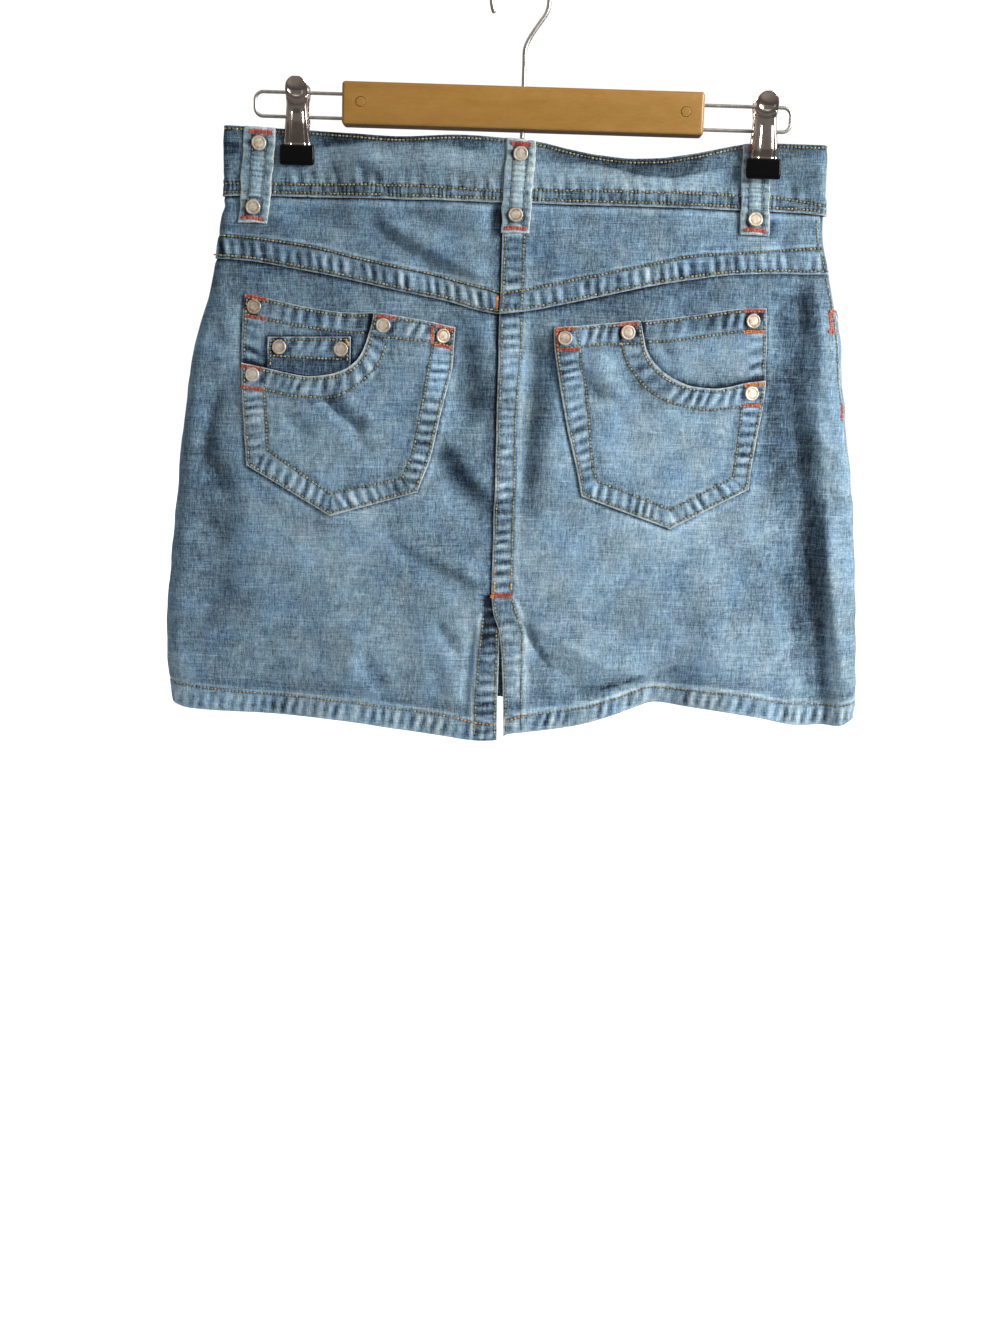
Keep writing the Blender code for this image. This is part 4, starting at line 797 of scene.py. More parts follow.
LINES = {
    "band_edge": Line("back", moved(band_low_of["back"], spread(-200, 205), 0.0)),
    "band_low": Line("back", moved(band_low_of["back"], spread(-198, 203), 2.3)),
    "band_up": Line("back", UPPER_BAND_ROW),
    "band_top": Line("back", moved(top_of["back"], spread(-198, 203, 3.0), -2.0)),
    "yoke_edge": Line("back", moved(yoke_seam, spread(-200, 210), 0.0)),
    "yoke_low": Line("back", moved(yoke_seam, spread(-200, 210), 2.0)),
    "yoke_up": Line("back", YOKE_ROW),
    "centre_edge": Line("back", [(CENTRE_BACK_X, -134.0), (CENTRE_BACK_X, -386.5)], curved=False),
    "centre_low": Line("back", [(CENTRE_BACK_X + 1.9, -142.0), (CENTRE_BACK_X + 1.8, -384.6)], curved=False),
    "centre_up": Line("back", CENTRE_ROW),
    "vent_right_low": Line("back", [(float(vent_right(z)) + 1.7, z) for z in np.linspace(-388.6, -474, 24)]),
    "vent_right_up": Line("back", VENT_ROW_RIGHT),
    "vent_left_low": Line("back", [(float(vent_left(z)) - 1.7, z) for z in np.linspace(-409, -480, 24)]),
    "vent_left_up": Line("back", VENT_ROW_LEFT),
    "hem_left": Line("back", HEM_ROW_LEFT),
    "hem_right": Line("back", HEM_ROW_RIGHT),
    "hem_front": Line("front", moved(hem_of["front"], spread(-232, 243), 13.0)),
    "fband_low": Line("front", moved(band_low_of["front"], spread(-200, 206), 2.3)),
    "fband_up": Line("front", moved(band_low_of["front"], spread(-200, 206), 8.6)),
    "fband_top": Line("front", moved(top_of["front"], spread(-200, 206, 3.0), -2.0)),
}


def centre_edge_x(z):
    """Where the overlying right side's edge runs down the centre back."""
    return np.where(z > VENT_TOP_Z, CENTRE_BACK_X, vent_right(z))


def centre_band(z):
    """How wide the felled seam or the vent's hem is there."""
    seam = np.interp(z, [-389, -350, -271, -230, -150], [12.8, 12.4, 11.6, 13.5, 13.9])
    vent = np.interp(z, [-484, -455, -430, -410, -398, -386.5], [11.0, 11.8, 12.8, 13.8, 14.4, 13.2])
    return np.where(z > VENT_TOP_Z, seam, vent)


def felled_seam(m, which):
    """The centre-back seam, the right side folded over the left, and the vent."""
    x, z = m.x, m.z
    on_seam = step((z - VENT_TOP_Z + 2.0) / 4.0)
    if which == "right":
        c, width = x - centre_edge_x(z), centre_band(z)
        zone = 1 - step((c - width - 0.2) / 2.2)
        m.mid += zone * (0.35 + 0.45 * on_seam)
        m.half += zone * 0.15
        window = 0.55 + 0.45 * on_seam
        m.pucker(c, -z, np.maximum(width, 1.0), 3.3, 0.44, 31, skew=0.4, tone=0.80, inside=window)
        # Painted shade just past the seam's band, and a paler line beyond it.
        m.tone -= 0.4 * hill(c - width - 1.6, 1.4) * on_seam
        m.tone += 0.25 * hill(c - width - 4.2, 1.6) * on_seam
        m.worn(c, 0.8, 1.0, 41, -z)
    else:
        c = CENTRE_BACK_X - x
        m.mid -= 0.6 * (1 - step((c + 1.2) / 2.6)) * on_seam
        # A painted shadow along the left of the seam, where the right side's fold overlaps it.
        seam_shadow_strength = 0.55 + 0.45 * hill(z + 235.0, 70.0) + 0.15 * wander(z / 12.0, 12)
        m.tone -= seam_shadow_strength * (1.5 * hill(c, 1.3) + 0.5 * hill(c, 5.0)) * on_seam
        c = vent_left(z) - x
        width = np.interp(z, [-482, -452, -430, -411, -396], [14.9, 14.2, 13.0, 11.4, 10.4])
        zone = (1 - step((c - width - 0.2) / 2.4)) * (1 - on_seam)
        # Its top lies under the right side's flap, in shadow.
        under = step((z + 416.0) / 12.0)
        m.mid += zone * (0.35 * (1 - under) - 0.75 * under)
        m.half += zone * 0.15 * (1 - under)
        m.pucker(c, -z, np.maximum(width, 1.0), 3.1, 0.45, 35, skew=-0.4, tone=0.95, inside=(1 - on_seam))
        m.worn(c + 90.0 * on_seam, 0.8, 0.9 * (1 - under), 42, -z)
        # Painted shade on the left flap inside the vent; by its second row a pale and a dark line, painted highlight
        # and painted shade of a small ridge.
        shade = step((z + 446.0) / 52.0) * (1 - on_seam)
        m.tone -= shade * (1.15 * (1 - step((c - width + 2.0) / 3.0)) + 0.3 * hill(c - width, 6.0))
        m.tone += (0.24 + 0.12 * wander(z / 5.0, 19)) * hill(c - width - 2.4, 1.4) * (1 - on_seam) * step((-402.0 - z) / 12.0) * step((z + 472.0) / 8.0)
        m.tone -= 0.16 * hill(c - width - 5.0, 1.6) * (1 - on_seam) * step((-430.0 - z) / 30.0)
    return m


def turned_hem(m, side):
    up = m.z - hem_of[side](m.x)
    zone = 1 - step((up - 12.6) / 2.2)
    m.mid += 0.2 * zone
    m.half += 0.3 * zone
    m.pucker(up, m.x, 13.0, 3.6, 0.55, 51, skew=-0.9, tone=0.95)
    m.tone += 0.22 * zone
    # A band of painted shade just above the hem.
    m.tone -= 0.24 * hill(up - 19.6, 3.6)
    m.worn(up, 1.0, 0.55, 43, m.x)
    return m


# The back pockets' sides; round each pocket a thin line of painted shadow lies on the panel.
def pocket_sides(which):
    rows = POCKETS[which]["sides"]
    return smooth(rows, 1), smooth(rows, 2)


def pocket_foot(which):
    (x0, z0), (x1, z1), (x2, z2) = POCKETS[which]["foot"]
    return lambda x: np.where(x < x1, z0 + (z1 - z0) * (x - x0) / (x1 - x0), z1 + (z2 - z1) * (x - x1) / (x2 - x1))


def pocket_outline(which, with_top):
    """Round the pocket: from the outer top corner down, along the foot and up."""
    low, high = pocket_sides(which)
    feet = POCKETS[which]["foot"]
    mouth = LEFT_MOUTH if which == "left" else RIGHT_MOUTH
    start = mouth[0][1] if not with_top else (-200.4 if which == "left" else -216.0)
    stop = mouth[-1][1] if not with_top else (-216.4 if which == "left" else -199.4)
    down = [(float(low(z)), z) for z in np.linspace(start, feet[0][1], 24)]
    along = [feet[1]]
    up = [(float(high(z)), z) for z in np.linspace(feet[2][1], stop, 24)]
    return down + along + up


OUTLINES = {which: Line("back", pocket_outline(which, True), curved=False) for which in ("left", "right")}
EDGES = {which: Line("back", pocket_outline(which, False), curved=False) for which in ("left", "right")}


def mouth_line(which):
    rows = LEFT_MOUTH if which == "left" else RIGHT_MOUTH
    f = smooth(rows)
    marks = np.array([r[0] for r in rows])
    dense = np.unique(np.concatenate([np.linspace(marks[0], marks[-1], 160), marks,
                                      np.linspace(-98.6, -90.0, 50) if which == "left" else np.linspace(78.4, 90.0, 60)]))
    return Line("back", np.stack([dense, f(dense)], 1), curved=False)


MOUTHS = {which: mouth_line(which) for which in ("left", "right")}
for which_ in ("left", "right"):
    for name_, rows_ in POCKET_ROWS[which_].items():
        LINES[f"pocket_{which_}_{name_}"] = Line("back", rows_, curved=name_ in ("scoop", "top", "top_low"))


def shifted(line, by, first=0.5, every=0.9):
    """The line, moved sideways."""
    p = line.at(np.arange(first, line.t[-1], every))
    way = np.gradient(p, axis=0)
    way /= np.linalg.norm(way, axis=1, keepdims=True)
    return Line(line.side, p + by * np.stack([-way[:, 1], way[:, 0]], 1), curved=False)


for which_ in ("left", "right"):
    LINES[f"pocket_{which_}_edge_row"] = shifted(EDGES[which_], 1.9)
    LINES[f"pocket_{which_}_lead_row"] = shifted(MOUTHS[which_], -1.9)
    rows_ = LEFT_TOP if which_ == "left" else RIGHT_TOP
    xs_ = np.linspace(rows_[0][0] + 2, rows_[-1][0] - 2, 60)
    LINES[f"facing_{which_}_edge"] = Line("back", np.stack([xs_, smooth(rows_)(xs_) - 1.9], 1), curved=False)
    zs_ = np.linspace(-203, -241, 30)
    xs_ = pocket_sides(which_)[0 if which_ == "left" else 1](zs_) + (1.9 if which_ == "left" else -1.9)
    LINES[f"facing_{which_}_side"] = Line("back", np.stack([xs_, zs_], 1), curved=False)
LINES["tab_edge"] = Line("back", [
    (TAB["left"] + 2, -245.0), (TAB["left"] + 2, -229.0), (TAB["right"] - 2, -227.2), (TAB["right"] - 2, -242.0)], curved=False)
LINES["tab_low"] = Line("back", [(TAB["left"] + 3, -238.6), (-130.0, -239.4), (TAB["right"] - 3, -239.6)])
for name_, (side_, x_top_, x_foot_, _, _, z_foot_) in LOOPS.items():
    z_top_ = float(top_of[side_](x_top_))
    for k_, off_ in enumerate((-4.1, 4.1)):
        LINES[f"{name_}_{k_}"] = Line(side_, [(x_top_ + off_, z_top_ - 3.0), (x_foot_ + off_, z_foot_ + 3.0)], curved=False)


shade_from, shade_to = smooth(SHADE, 1), smooth(SHADE, 2)


def marks_back_panel(which):
    def made(x, z):
        m = Marks("back", x, z, 0.5)
        # The panel dips under the yoke's folded edge, and a painted shadow lies just below that edge.
        below = yoke_seam(x) - z
        m.mid -= 0.65 * (1 - step((below + 0.6) / 2.8))
        m.tone -= (0.8 + 0.25 * wander(x / 9.0, 7)) * hill(below, 1.1) + 0.15 * hill(below, 4.5)
        felled_seam(m, which)
        turned_hem(m, "back")
        if which == "right":
            m.groove(LINES["centre_low"]).groove(LINES["centre_up"], ridge=0.4)
            m.groove(LINES["vent_right_low"]).groove(LINES["vent_right_up"], ridge=0.6).groove(LINES["hem_right"], ridge=0.62)
            # Worn white spots beside the vent's second row, and its bright edge fold.
            for x0, z0 in ((8.3, -425.6), (8.2, -434.8), (8.4, -443.0), (8.8, -451.0), (7.6, -402.6)):
                m.tone += 0.9 * np.exp(-((x - x0) / 1.4) ** 2 - ((z - z0) / 1.6) ** 2)
            m.tone += trough(x, z, (5.0, -388.0, 13.0, -404.0, 1.2, 0.9, 5.0))
            # A pale line right of the second row: painted highlight on a small ridge.
            m.tone += trough(x, z, (13.4, -402.0, 15.4, -462.0, 1.8, 0.25, 12.0))
        else:
            m.groove(LINES["vent_left_low"]).groove(LINES["vent_left_up"], ridge=-0.8).groove(LINES["hem_left"], ridge=0.62)
        # A thin painted shadow round each pocket's outline, and a paler line just outside it.
        d, _ = OUTLINES[which].near(x, z, 12.0)
        m.tone -= (0.65 + 0.3 * wander((x + z) / 11.0, 14)) * hill(d, 1.1) * (np.abs(d) < 12)
        m.tone += 0.22 * hill(np.abs(d) - 3.2, 1.5)
        # Painted shade over the fold at the right, and a touch of painted light just past it.
        from_x, to_x = shade_from(z), shade_to(z)
        inside = step((x - from_x + 8.0) / 17.0) * (1 - step((x - to_x + 2.0) / 4.0))
        ends = step((-174.0 - z) / 16.0) * step((z + 466.0) / 30.0)
        m.tone -= ends * inside * (0.61 + 0.07 * wander(z / 31.0, 17) + 0.04 * cloud(x / 9.0, z / 14.0, 18))
        m.tone += ends * 0.03 * step((x - to_x - 0.5) / 3.0)
        if which == "right":
            # The side seam, worn pale where it turns into view, with a thin line of painted shade beside it.
            off = across_at("back", side_seam("right", z), z) - x
            m.tone -= 0.5 * hill(off - 2.4, 0.8) * step((-178.0 - z) / 3.0) * step((z + 272.0) / 8.0)
            m.worn(off, 0.8, 0.5, 58, z)
        return m

    return made


def marks_yoke(which):
    def made(x, z):
        m = Marks("back", x, z, 0.5, 0.06 + 0.10 * step((x - 10.0) / 60.0))
        above = z - band_low_of["back"](x)
        m.mid -= 0.65 * step((above + 2.4) / 2.6)
        # Painted shadow under the waistband's folded edge, with a paler line just below it.
        m.tone -= (0.85 + 0.2 * wander(x / 8.0, 8)) * hill(above, 1.1) - 0.30 * hill(above + 3.0, 1.8)
        up = z - yoke_seam(x)
        d_up, _ = LINES["yoke_up"].near(x, z, 22.0)
        width = 12.9
        zone = 1 - step((up - width) / 2.4)
        m.mid += 0.75 * zone
        m.half += 0.18 * zone
        m.pucker(up, x, width, 3.4, 0.50, 61, skew=0.35, tone=1.0)
        # Paler over the seam's band, with a line of painted shade just above it.
        m.tone += 0.10 * zone - 0.25 * hill(up - width - 1.8, 1.6)
        m.worn(up, 0.7, 0.75, 44, x)
        felled_seam(m, which)
        m.groove(LINES["yoke_low"]).groove(LINES["yoke_up"], ridge=0.55)
        if which == "right":
            m.groove(LINES["centre_low"]).groove(LINES["centre_up"], ridge=0.4)
        return m

    return made


def marks_band(side):
    low, top = band_low_of[side], top_of[side]

    def made(x, z):
        m = Marks(side, x, z, 0.75, 0.0)
        m.hue += 0.42
        up = z - low(x)
        m.rib = step((up - 0.8) / 1.2) * (1 - step((up - 7.0) / 7.0)) * (0.8 + 0.35 * wander(x / 9.0, 78))
        zone = 1 - step((up - 9.0) / 3.0)
        m.mid += 0.8 * zone
        m.pucker(up, x, 8.6, 3.4, 0.26, 71, skew=0.15, tone=0.35)
        rise = np.clip((up - 8.0) / 14.0, 0, 1)
        above = np.where(up > 8.0, (1 - rise) ** 1.5, 0.0)
        b = bars(x, rise, 4.2, 0.4, 77)
        m.mid += 0.22 * b * above
        m.tone += 0.60 * b * above
        m.worn(up, 0.75, 0.9, 45, x)
        down = top(x) - z
        m.worn(down, 0.7, 0.3, 46, x)
        m.tone -= 0.22 * (1 - step((down - 5.0) / 8.0))
        if side == "back":
            # The rolled lip is painted darker, with painted shade in its crease and painted light on the band just
            # below.
            over = z - lip_z(x)
            strong = step(lip_lean(x) / 3.0)
            m.tone -= strong * (0.40 * hill(over, 1.1) + 0.30 * step(over / 2.0))
            m.tone += strong * 0.28 * step((-over) / 3.0) * (1 - step((-over - 7.0) / 8.0))
            left = step((-over + 0.0) / 1.0)
            # Left of the middle: painted shade over the top of the band above an arc from the left clip, painted light
            # below it.
            arc = -103.5 - 6.5 * np.clip((np.abs(x + 78) / 58.0), 0, 1.3) ** 2
            over = z - arc
            inside = step((x + 140.0) / 16.0) * (1 - step((x + 36.0) / 20.0))
            m.tone -= inside * (0.35 * step((over + 0.5) / 1.6)) * (left * 0 + 1)
            m.tone += inside * 0.3 * step(-over / 2.0) * (1 - step((-over - 8.0) / 8.0))
            m.groove(LINES["band_low"]).groove(LINES["band_up"], ridge=0.15).groove(LINES["band_top"])
            # Small drag lines spread from the left clip, laid on as painted shade.
            m.tone -= 0.4 * hill(x + 118.0 + 0.4 * (z + 120.0), 1.6) * hill(z + 124.0, 10.0)
            m.tone -= 0.4 * hill(x + 131.0 - 0.2 * (z + 120.0), 1.4) * hill(z + 128.0, 8.0)
        else:
            m.groove(LINES["fband_low"]).groove(LINES["fband_up"]).groove(LINES["fband_top"])
            share = 1 - step((np.abs(across_share(side, x, z)) - 0.12) / 0.16)
            m.mid += PASSING * share * (1.0 if made.which == "left" else -1.0)
        return m

    made.which = "left"
    return made


def across_share(side, x, z):
    middle, _, _, quarter = ring(z)
    return (x - middle) / quarter


def clearly_inside(m, lift):
    m.mid = m.mid + lift
    return m


FLAT, RAISED = 1.45, 2.65


def marks_pocket(which):
    mouth = smooth(LEFT_MOUTH if which == "left" else RIGHT_MOUTH)
    rows = POCKET_ROWS[which]

    def made(x, z):
        m = Marks("back", x, z, 0.45, 0.05)
        m.mid += RAISED + (FLAT - RAISED) * step((mouth(x) - 16.0 - z) / 24.0)
        d_edge, t_edge = EDGES[which].near(x, z, 40.0)
        d_edge = np.abs(d_edge)
        d_mouth, t_mouth = MOUTHS[which].near(x, z, 40.0)
        d_mouth = np.abs(d_mouth)
        # The scoop gapes a little.
        scoop = (x > -160) & (x < -84) if which == "left" else (x > 76) & (x < 150)
        m.mid += 0.5 * hill(d_mouth, 7.0) * np.where(scoop, 1.0, 0.0)
        m.half += 0.2 * (1 - step((d_edge - 13.0) / 2.0))
        lead = 1 - step((d_mouth - 13.0) / 2.0)
        m.half += 0.15 * lead
        nearer = d_edge < d_mouth
        m.pucker(np.where(nearer, d_edge, 99.0), t_edge, 13.6, 3.2, 0.44, 81 + 7 * (which == "right"), skew=0.6, tone=0.85)
        m.pucker(np.where(nearer, 99.0, d_mouth), t_mouth, 13.0, 3.4, 0.44, 84 + 7 * (which == "right"), skew=1.2, tone=0.8)
        # Painted shade along a line just inside the stitched bands.
        m.tone -= 0.25 * hill(np.minimum(d_edge, d_mouth) - 15.6, 1.8)
        m.worn(d_edge, 0.9, 1.05, 47, t_edge).worn(d_mouth, 0.85, 1.0, 48, t_mouth)
        for name in rows:
            if name != "top":
                m.groove(LINES[f"pocket_{which}_{name}"])
        m.groove(LINES[f"pocket_{which}_edge_row"]).groove(LINES[f"pocket_{which}_lead_row"])
        for rivet, (_, rx, rz, under) in RIVETS.items():
            if under == f"back_pocket_{which}":
                m.dimple(rx, rz)
        return m

    return made


def marks_facing(which):
    top = smooth(LEFT_TOP if which == "left" else RIGHT_TOP)
    low, high = pocket_sides(which)

    def made(x, z):
        m = Marks("back", x, z, 0.45, -0.02)
        m.mid += FLAT - 0.15
        down = top(x) - z
        m.worn(down, 0.75, 0.9, 49, x)
        side = (x - low(z)) if which == "left" else (high(z) - x)
        m.worn(side, 0.7, 0.6, 50, z)
        m.half += 0.15 * (1 - step((down - 12.6) / 2.0))
        m.pucker(down, x, 12.6, 4.2, 0.40, 91, skew=0.5, tone=0.75)
        m.pucker(np.where(down > 13, side, 99.0), z, 12.0, 3.6, 0.36, 92, skew=0.5, tone=0.7)
        m.groove(LINES[f"pocket_{which}_top"], ridge=0.25).groove(LINES[f"facing_{which}_edge"]).groove(LINES[f"facing_{which}_side"])
        # Painted shadow under the pocket's mouth, near black at its edge.
        d, _ = MOUTHS[which].near(x, z, 14.0)
        m.tone -= 1.7 * np.exp(-np.abs(d) / 1.6) + 0.35 * np.exp(-np.abs(d) / 6.0)
        if which == "left":
            # The tab's own edges stand in shadow.
            share = np.clip((x - TAB["left"]) / (TAB["right"] - TAB["left"]), 0, 1)
            above = z - (TAB["top_left"] + (TAB["top_right"] - TAB["top_left"]) * share)
            beside = np.maximum(TAB["left"] - x, x - TAB["right"])
            out = np.maximum(np.maximum(above, beside), 0.0)
            m.tone -= 1.5 * np.exp(-out / 1.3)
        for rivet, (_, rx, rz, under) in RIVETS.items():
            if under == f"pocket_facing_{which}":
                m.dimple(rx, rz)
        return m

    return made


def marks_tab(x, z):
    m = Marks("back", x, z, 0.45, -0.1)
    m.mid += RAISED + 0.15
    share = (x - TAB["left"]) / (TAB["right"] - TAB["left"])
    down = TAB["top_left"] + (TAB["top_right"] - TAB["top_left"]) * share - z
    side = np.minimum(x - TAB["left"], TAB["right"] - x)
    m.worn(down, 0.75, 0.8, 51, x).worn(side, 0.7, 0.7, 52, z)
    m.pucker(down, x, 11.5, 4.6, 0.45, 95, skew=0.8, tone=0.7)
    m.tone -= 0.5 * step((down - 12.0) / 3.0)
    m.groove(LINES["tab_edge"]).groove(LINES["tab_low"])
    for rivet in ("rivet_tab_outer", "rivet_tab_inner"):
        m.dimple(RIVETS[rivet][1], RIVETS[rivet][2], 5.2)
    return m


def loop_sides(name, z):
    """Both edges of a loop, which are never quite straight, and how far down it is."""
    side, x_top, x_foot, w_top, w_foot, z_foot = LOOPS[name]
    z_top = float(top_of[side](x_top))
    r = (z_top - z) / (z_top - z_foot)
    middle, half = x_top + (x_foot - x_top) * r, (w_top + (w_foot - w_top) * r) / 2
    seed = 3.0 * list(LOOPS).index(name)
    low = middle - half + 0.45 * wander(z / 8.0, 71 + seed) + 0.22 * wander(z / 3.3, 72 + seed)
    high = middle + half + 0.45 * wander(z / 8.0, 73 + seed) + 0.22 * wander(z / 3.3, 74 + seed)
    return low, high, r


def marks_loop(name):
    side = LOOPS[name][0]
    seed = 90 + list(LOOPS).index(name)

    def made(x, z):
        m = Marks(side, x, z, 0.6, 0.16)
        m.hue += 1.0
        m.tone += 0.18
        low, high, r = loop_sides(name, z)
        middle, half = (low + high) / 2, (high - low) / 2
        r = np.clip(r, 0, 1)
        # It stands over the waistband's foot, then comes down to the yoke.
        up = z - band_low_of[side](x)
        over = 1 - step((up - 9.0) / 4.0)
        off = step((-up - 1.0) / 7.0)
        m.mid += 1.8 + 0.6 * np.sin(PI * r) ** 2 + 0.85 * over * (1 - 0.85 * off)
        if side == "front":
            m.mid += 0.3
        across = (x - middle) / half
        # The folded strip is thicker down its middle and thin at its edges.
        ridge = hill(across, 0.36)
        m.half += 0.25 * ridge
        m.mid += 0.42 * ridge - 0.55 * np.abs(across) ** 5
        for k in (0, 1):
            m.groove(LINES[f"{name}_{k}"], 0.3, 0.9, 0.55, holes=False)
        b = bars(z, across, 1.7, 0.15, seed)
        m.mid += 0.22 * b * (np.abs(across) < 0.42)
        m.tone += (0.40 * b + 0.25) * (np.abs(across) < 0.40)
        b = bars(z, across, 2.8, 0.3, seed + 20)
        m.mid += 0.20 * b * (np.abs(across) > 0.48)
        m.tone += 0.32 * b * (np.abs(across) > 0.48)
        m.worn(half - np.abs(x - middle), 1.0, 1.1, 53, z)
        m.worn((1 - r) * 58.0, 1.0, 0.9, 54, x).worn(r * 58.0, 0.9, 0.8, 55, x)
        # Here and there a darker line near one edge.
        m.tone -= 0.4 * hill(across - 0.72, 0.14) * step(np.abs(wander(z / 5.0, seed + 5)) * 3 - 1)
        for rivet, (_, rx, rz, under) in RIVETS.items():
            if under == name:
                m.dimple(rx, rz, 5.4)
        return m

    return made


def marks_front_panel(which):
    def made(x, z):
        m = Marks("front", x, z, 0.5)
        above = z - band_low_of["front"](x)
        m.mid -= 0.65 * step((above + 2.4) / 2.6)
        # Painted shadow under the waistband's edge.
        m.tone -= 0.6 * hill(above, 1.7)
        # The left side folds over the right at the fly.
        if which == "left":
            zone = 1 - step((-x - 12.0) / 3.0)
            m.mid += 0.75 * zone
            m.half += 0.12 * zone
            m.worn(x - 1.2, 0.8, 0.8, 56, z)
            m.pucker(1.2 - x, -z, 13.0, 3.8, 0.4, 33, skew=0.4, tone=0.8)
            for name in ("fly_inner", "fly_outer", "centre_front"):
                m.groove(LINES[name])
        else:
            m.mid -= 0.6 * (1 - step((x + 0.6) / 2.8))
            # Painted shadow on the right side beside the fly's edge.
            m.tone -= 0.6 * hill(x - 1.4, 1.6)
        turned_hem(m, "front")
        # Deep inside, behind the vent, hardly any light comes in: the inner side gets painted shade there.
        m.deep = -2.6 * hill(x + 3.0, 11.0) * step((-372.0 - z) / 24.0)
        d, t = LINES[f"mouth_{which}"].near(x, z, 16.0)
        d = np.abs(d)
        m.pucker(d, t, 8.6, 3.4, 0.34, 34, skew=0.6, tone=0.8)
        m.worn(d, 0.8, 0.95, 57, t)
        m.groove(LINES["hem_front"]).groove(LINES[f"mouth_{which}_low"]).groove(LINES[f"mouth_{which}_up"])
        return m

    return made


def marks_front_facing(x, z):
    m = Marks("front", x, z, 0.4, -0.05)
    m.mid -= 1.35
    above = z - band_low_of["front"](x)
    # Painted shadow under the waistband's edge.
    m.tone -= 0.5 * hill(above, 1.7)
    return m


# ------------------------------------------------------------------ the front's lines
def mouth_height(u, which):
    """The top of a front panel: the waistband's seam, then the pocket's mouth."""
    low = band_low_of["front"]
    side = np.abs(u - 2)
    reach = (1 - 6.0 / 200.0) if which == "left" else (1 + 6.0 / 200.0)
    share = np.clip((side - MOUTH_TOP_SHARE) / (reach - MOUTH_TOP_SHARE), 0.0, 1.0)
    seam = height(low, "front", u)
    start = height(low, "front", 2 + np.copysign(MOUTH_TOP_SHARE, u - 2))
    curve = start + (MOUTH_SIDE_Z - start) * (1 - (1 - share) ** 1.7) ** 0.62
    return np.where(share <= 0, seam + 4.0, np.minimum(seam + 4.0, curve + 4.0 * (1 - step(share / 0.02))))


def front_mouth_line(which, off):
    sign = 1 if which == "left" else -1
    share = np.concatenate([[0.0, 0.0008, 0.003, 0.008], np.linspace(0.016, 1.0, 60)])
    reach = (1 - 6.0 / 200.0) if which == "left" else (1 + 6.0 / 200.0)
    u = 2 + sign * (MOUTH_TOP_SHARE + (reach - MOUTH_TOP_SHARE) * share)
    start = float(height(band_low_of["front"], "front", np.array([u[0]]))[0])
    z = start + (MOUTH_SIDE_Z - start) * (1 - (1 - share) ** 1.7) ** 0.62
    p = np.stack([across_at("front", u, z), z], 1)
    if off:
        way = np.gradient(p, axis=0)
        way /= np.linalg.norm(way, axis=1, keepdims=True)
        p = p + off * np.stack([way[:, 1], -way[:, 0]], 1) * (1 if which == "right" else -1)
    return Line("front", p, curved=False)


for which_ in ("left", "right"):
    LINES[f"mouth_{which_}"] = front_mouth_line(which_, 0.0)
    LINES[f"mouth_{which_}_low"] = front_mouth_line(which_, 1.9)
    LINES[f"mouth_{which_}_up"] = front_mouth_line(which_, 8.2)
zs_ = np.linspace(-143.0, -266.0, 80)
xs_ = across_at("back", side_seam("right", zs_), zs_) - 2.4
LINES["side_right_up"] = Line("back", np.stack([xs_, zs_], 1)[zs_ > -177.0], curved=False)
LINES["side_right_low"] = Line("back", np.stack([xs_, zs_], 1)[zs_ < -178.5], curved=False)
xs_ = across_at("front", side_seam("left", zs_) + 4, zs_) + 2.4
LINES["side_left_low"] = Line("front", np.stack([xs_, zs_], 1)[zs_ < -202], curved=False)
LINES["fband_end"] = Line("front", [(FRONT_OVERLAP - 2.0, -119.0), (FRONT_OVERLAP - 2.0, -155.0)], curved=False)
LINES["fly_outer"] = Line("front", [(-40.0, -158.0), (-39.6, -200.0), (-38.0, -240.0), (-33.0, -266.0), (-22.0, -284.0), (-8.0, -294.0), (0.0, -297.0)])
LINES["fly_inner"] = Line("front", [(-34.0, -159.0), (-33.6, -200.0), (-32.0, -238.0), (-27.6, -260.0), (-18.0, -276.0), (-6.0, -285.6), (0.0, -288.0)])
LINES["centre_front"] = Line("front", [(-0.8, -160.0), (-0.8, -455.0)], curved=False)
LINES["centre_front_up"] = Line("front", [(-11.0, -300.0), (-11.0, -455.0)], curved=False)

MARKS = {
    "back_panel_left": marks_back_panel("left"),
    "back_panel_right": marks_back_panel("right"),
    "back_yoke_left": marks_yoke("left"),
    "back_yoke_right": marks_yoke("right"),
    "waistband_back": marks_band("back"),
    "back_pocket_left": marks_pocket("left"),
    "back_pocket_right": marks_pocket("right"),
    "pocket_facing_left": marks_facing("left"),
    "pocket_facing_right": marks_facing("right"),
    "coin_pocket": marks_tab,
    "front_panel_left": marks_front_panel("left"),
    "front_panel_right": marks_front_panel("right"),
    "front_pocket_facing_left": marks_front_facing,
    "front_pocket_facing_right": marks_front_facing,
}
for which_ in ("left", "right"):
    MARKS[f"waistband_front_{which_}"] = marks_band("front")
    MARKS[f"waistband_front_{which_}"].which = which_
for name_ in LOOPS:
    MARKS[name_] = marks_loop(name_)


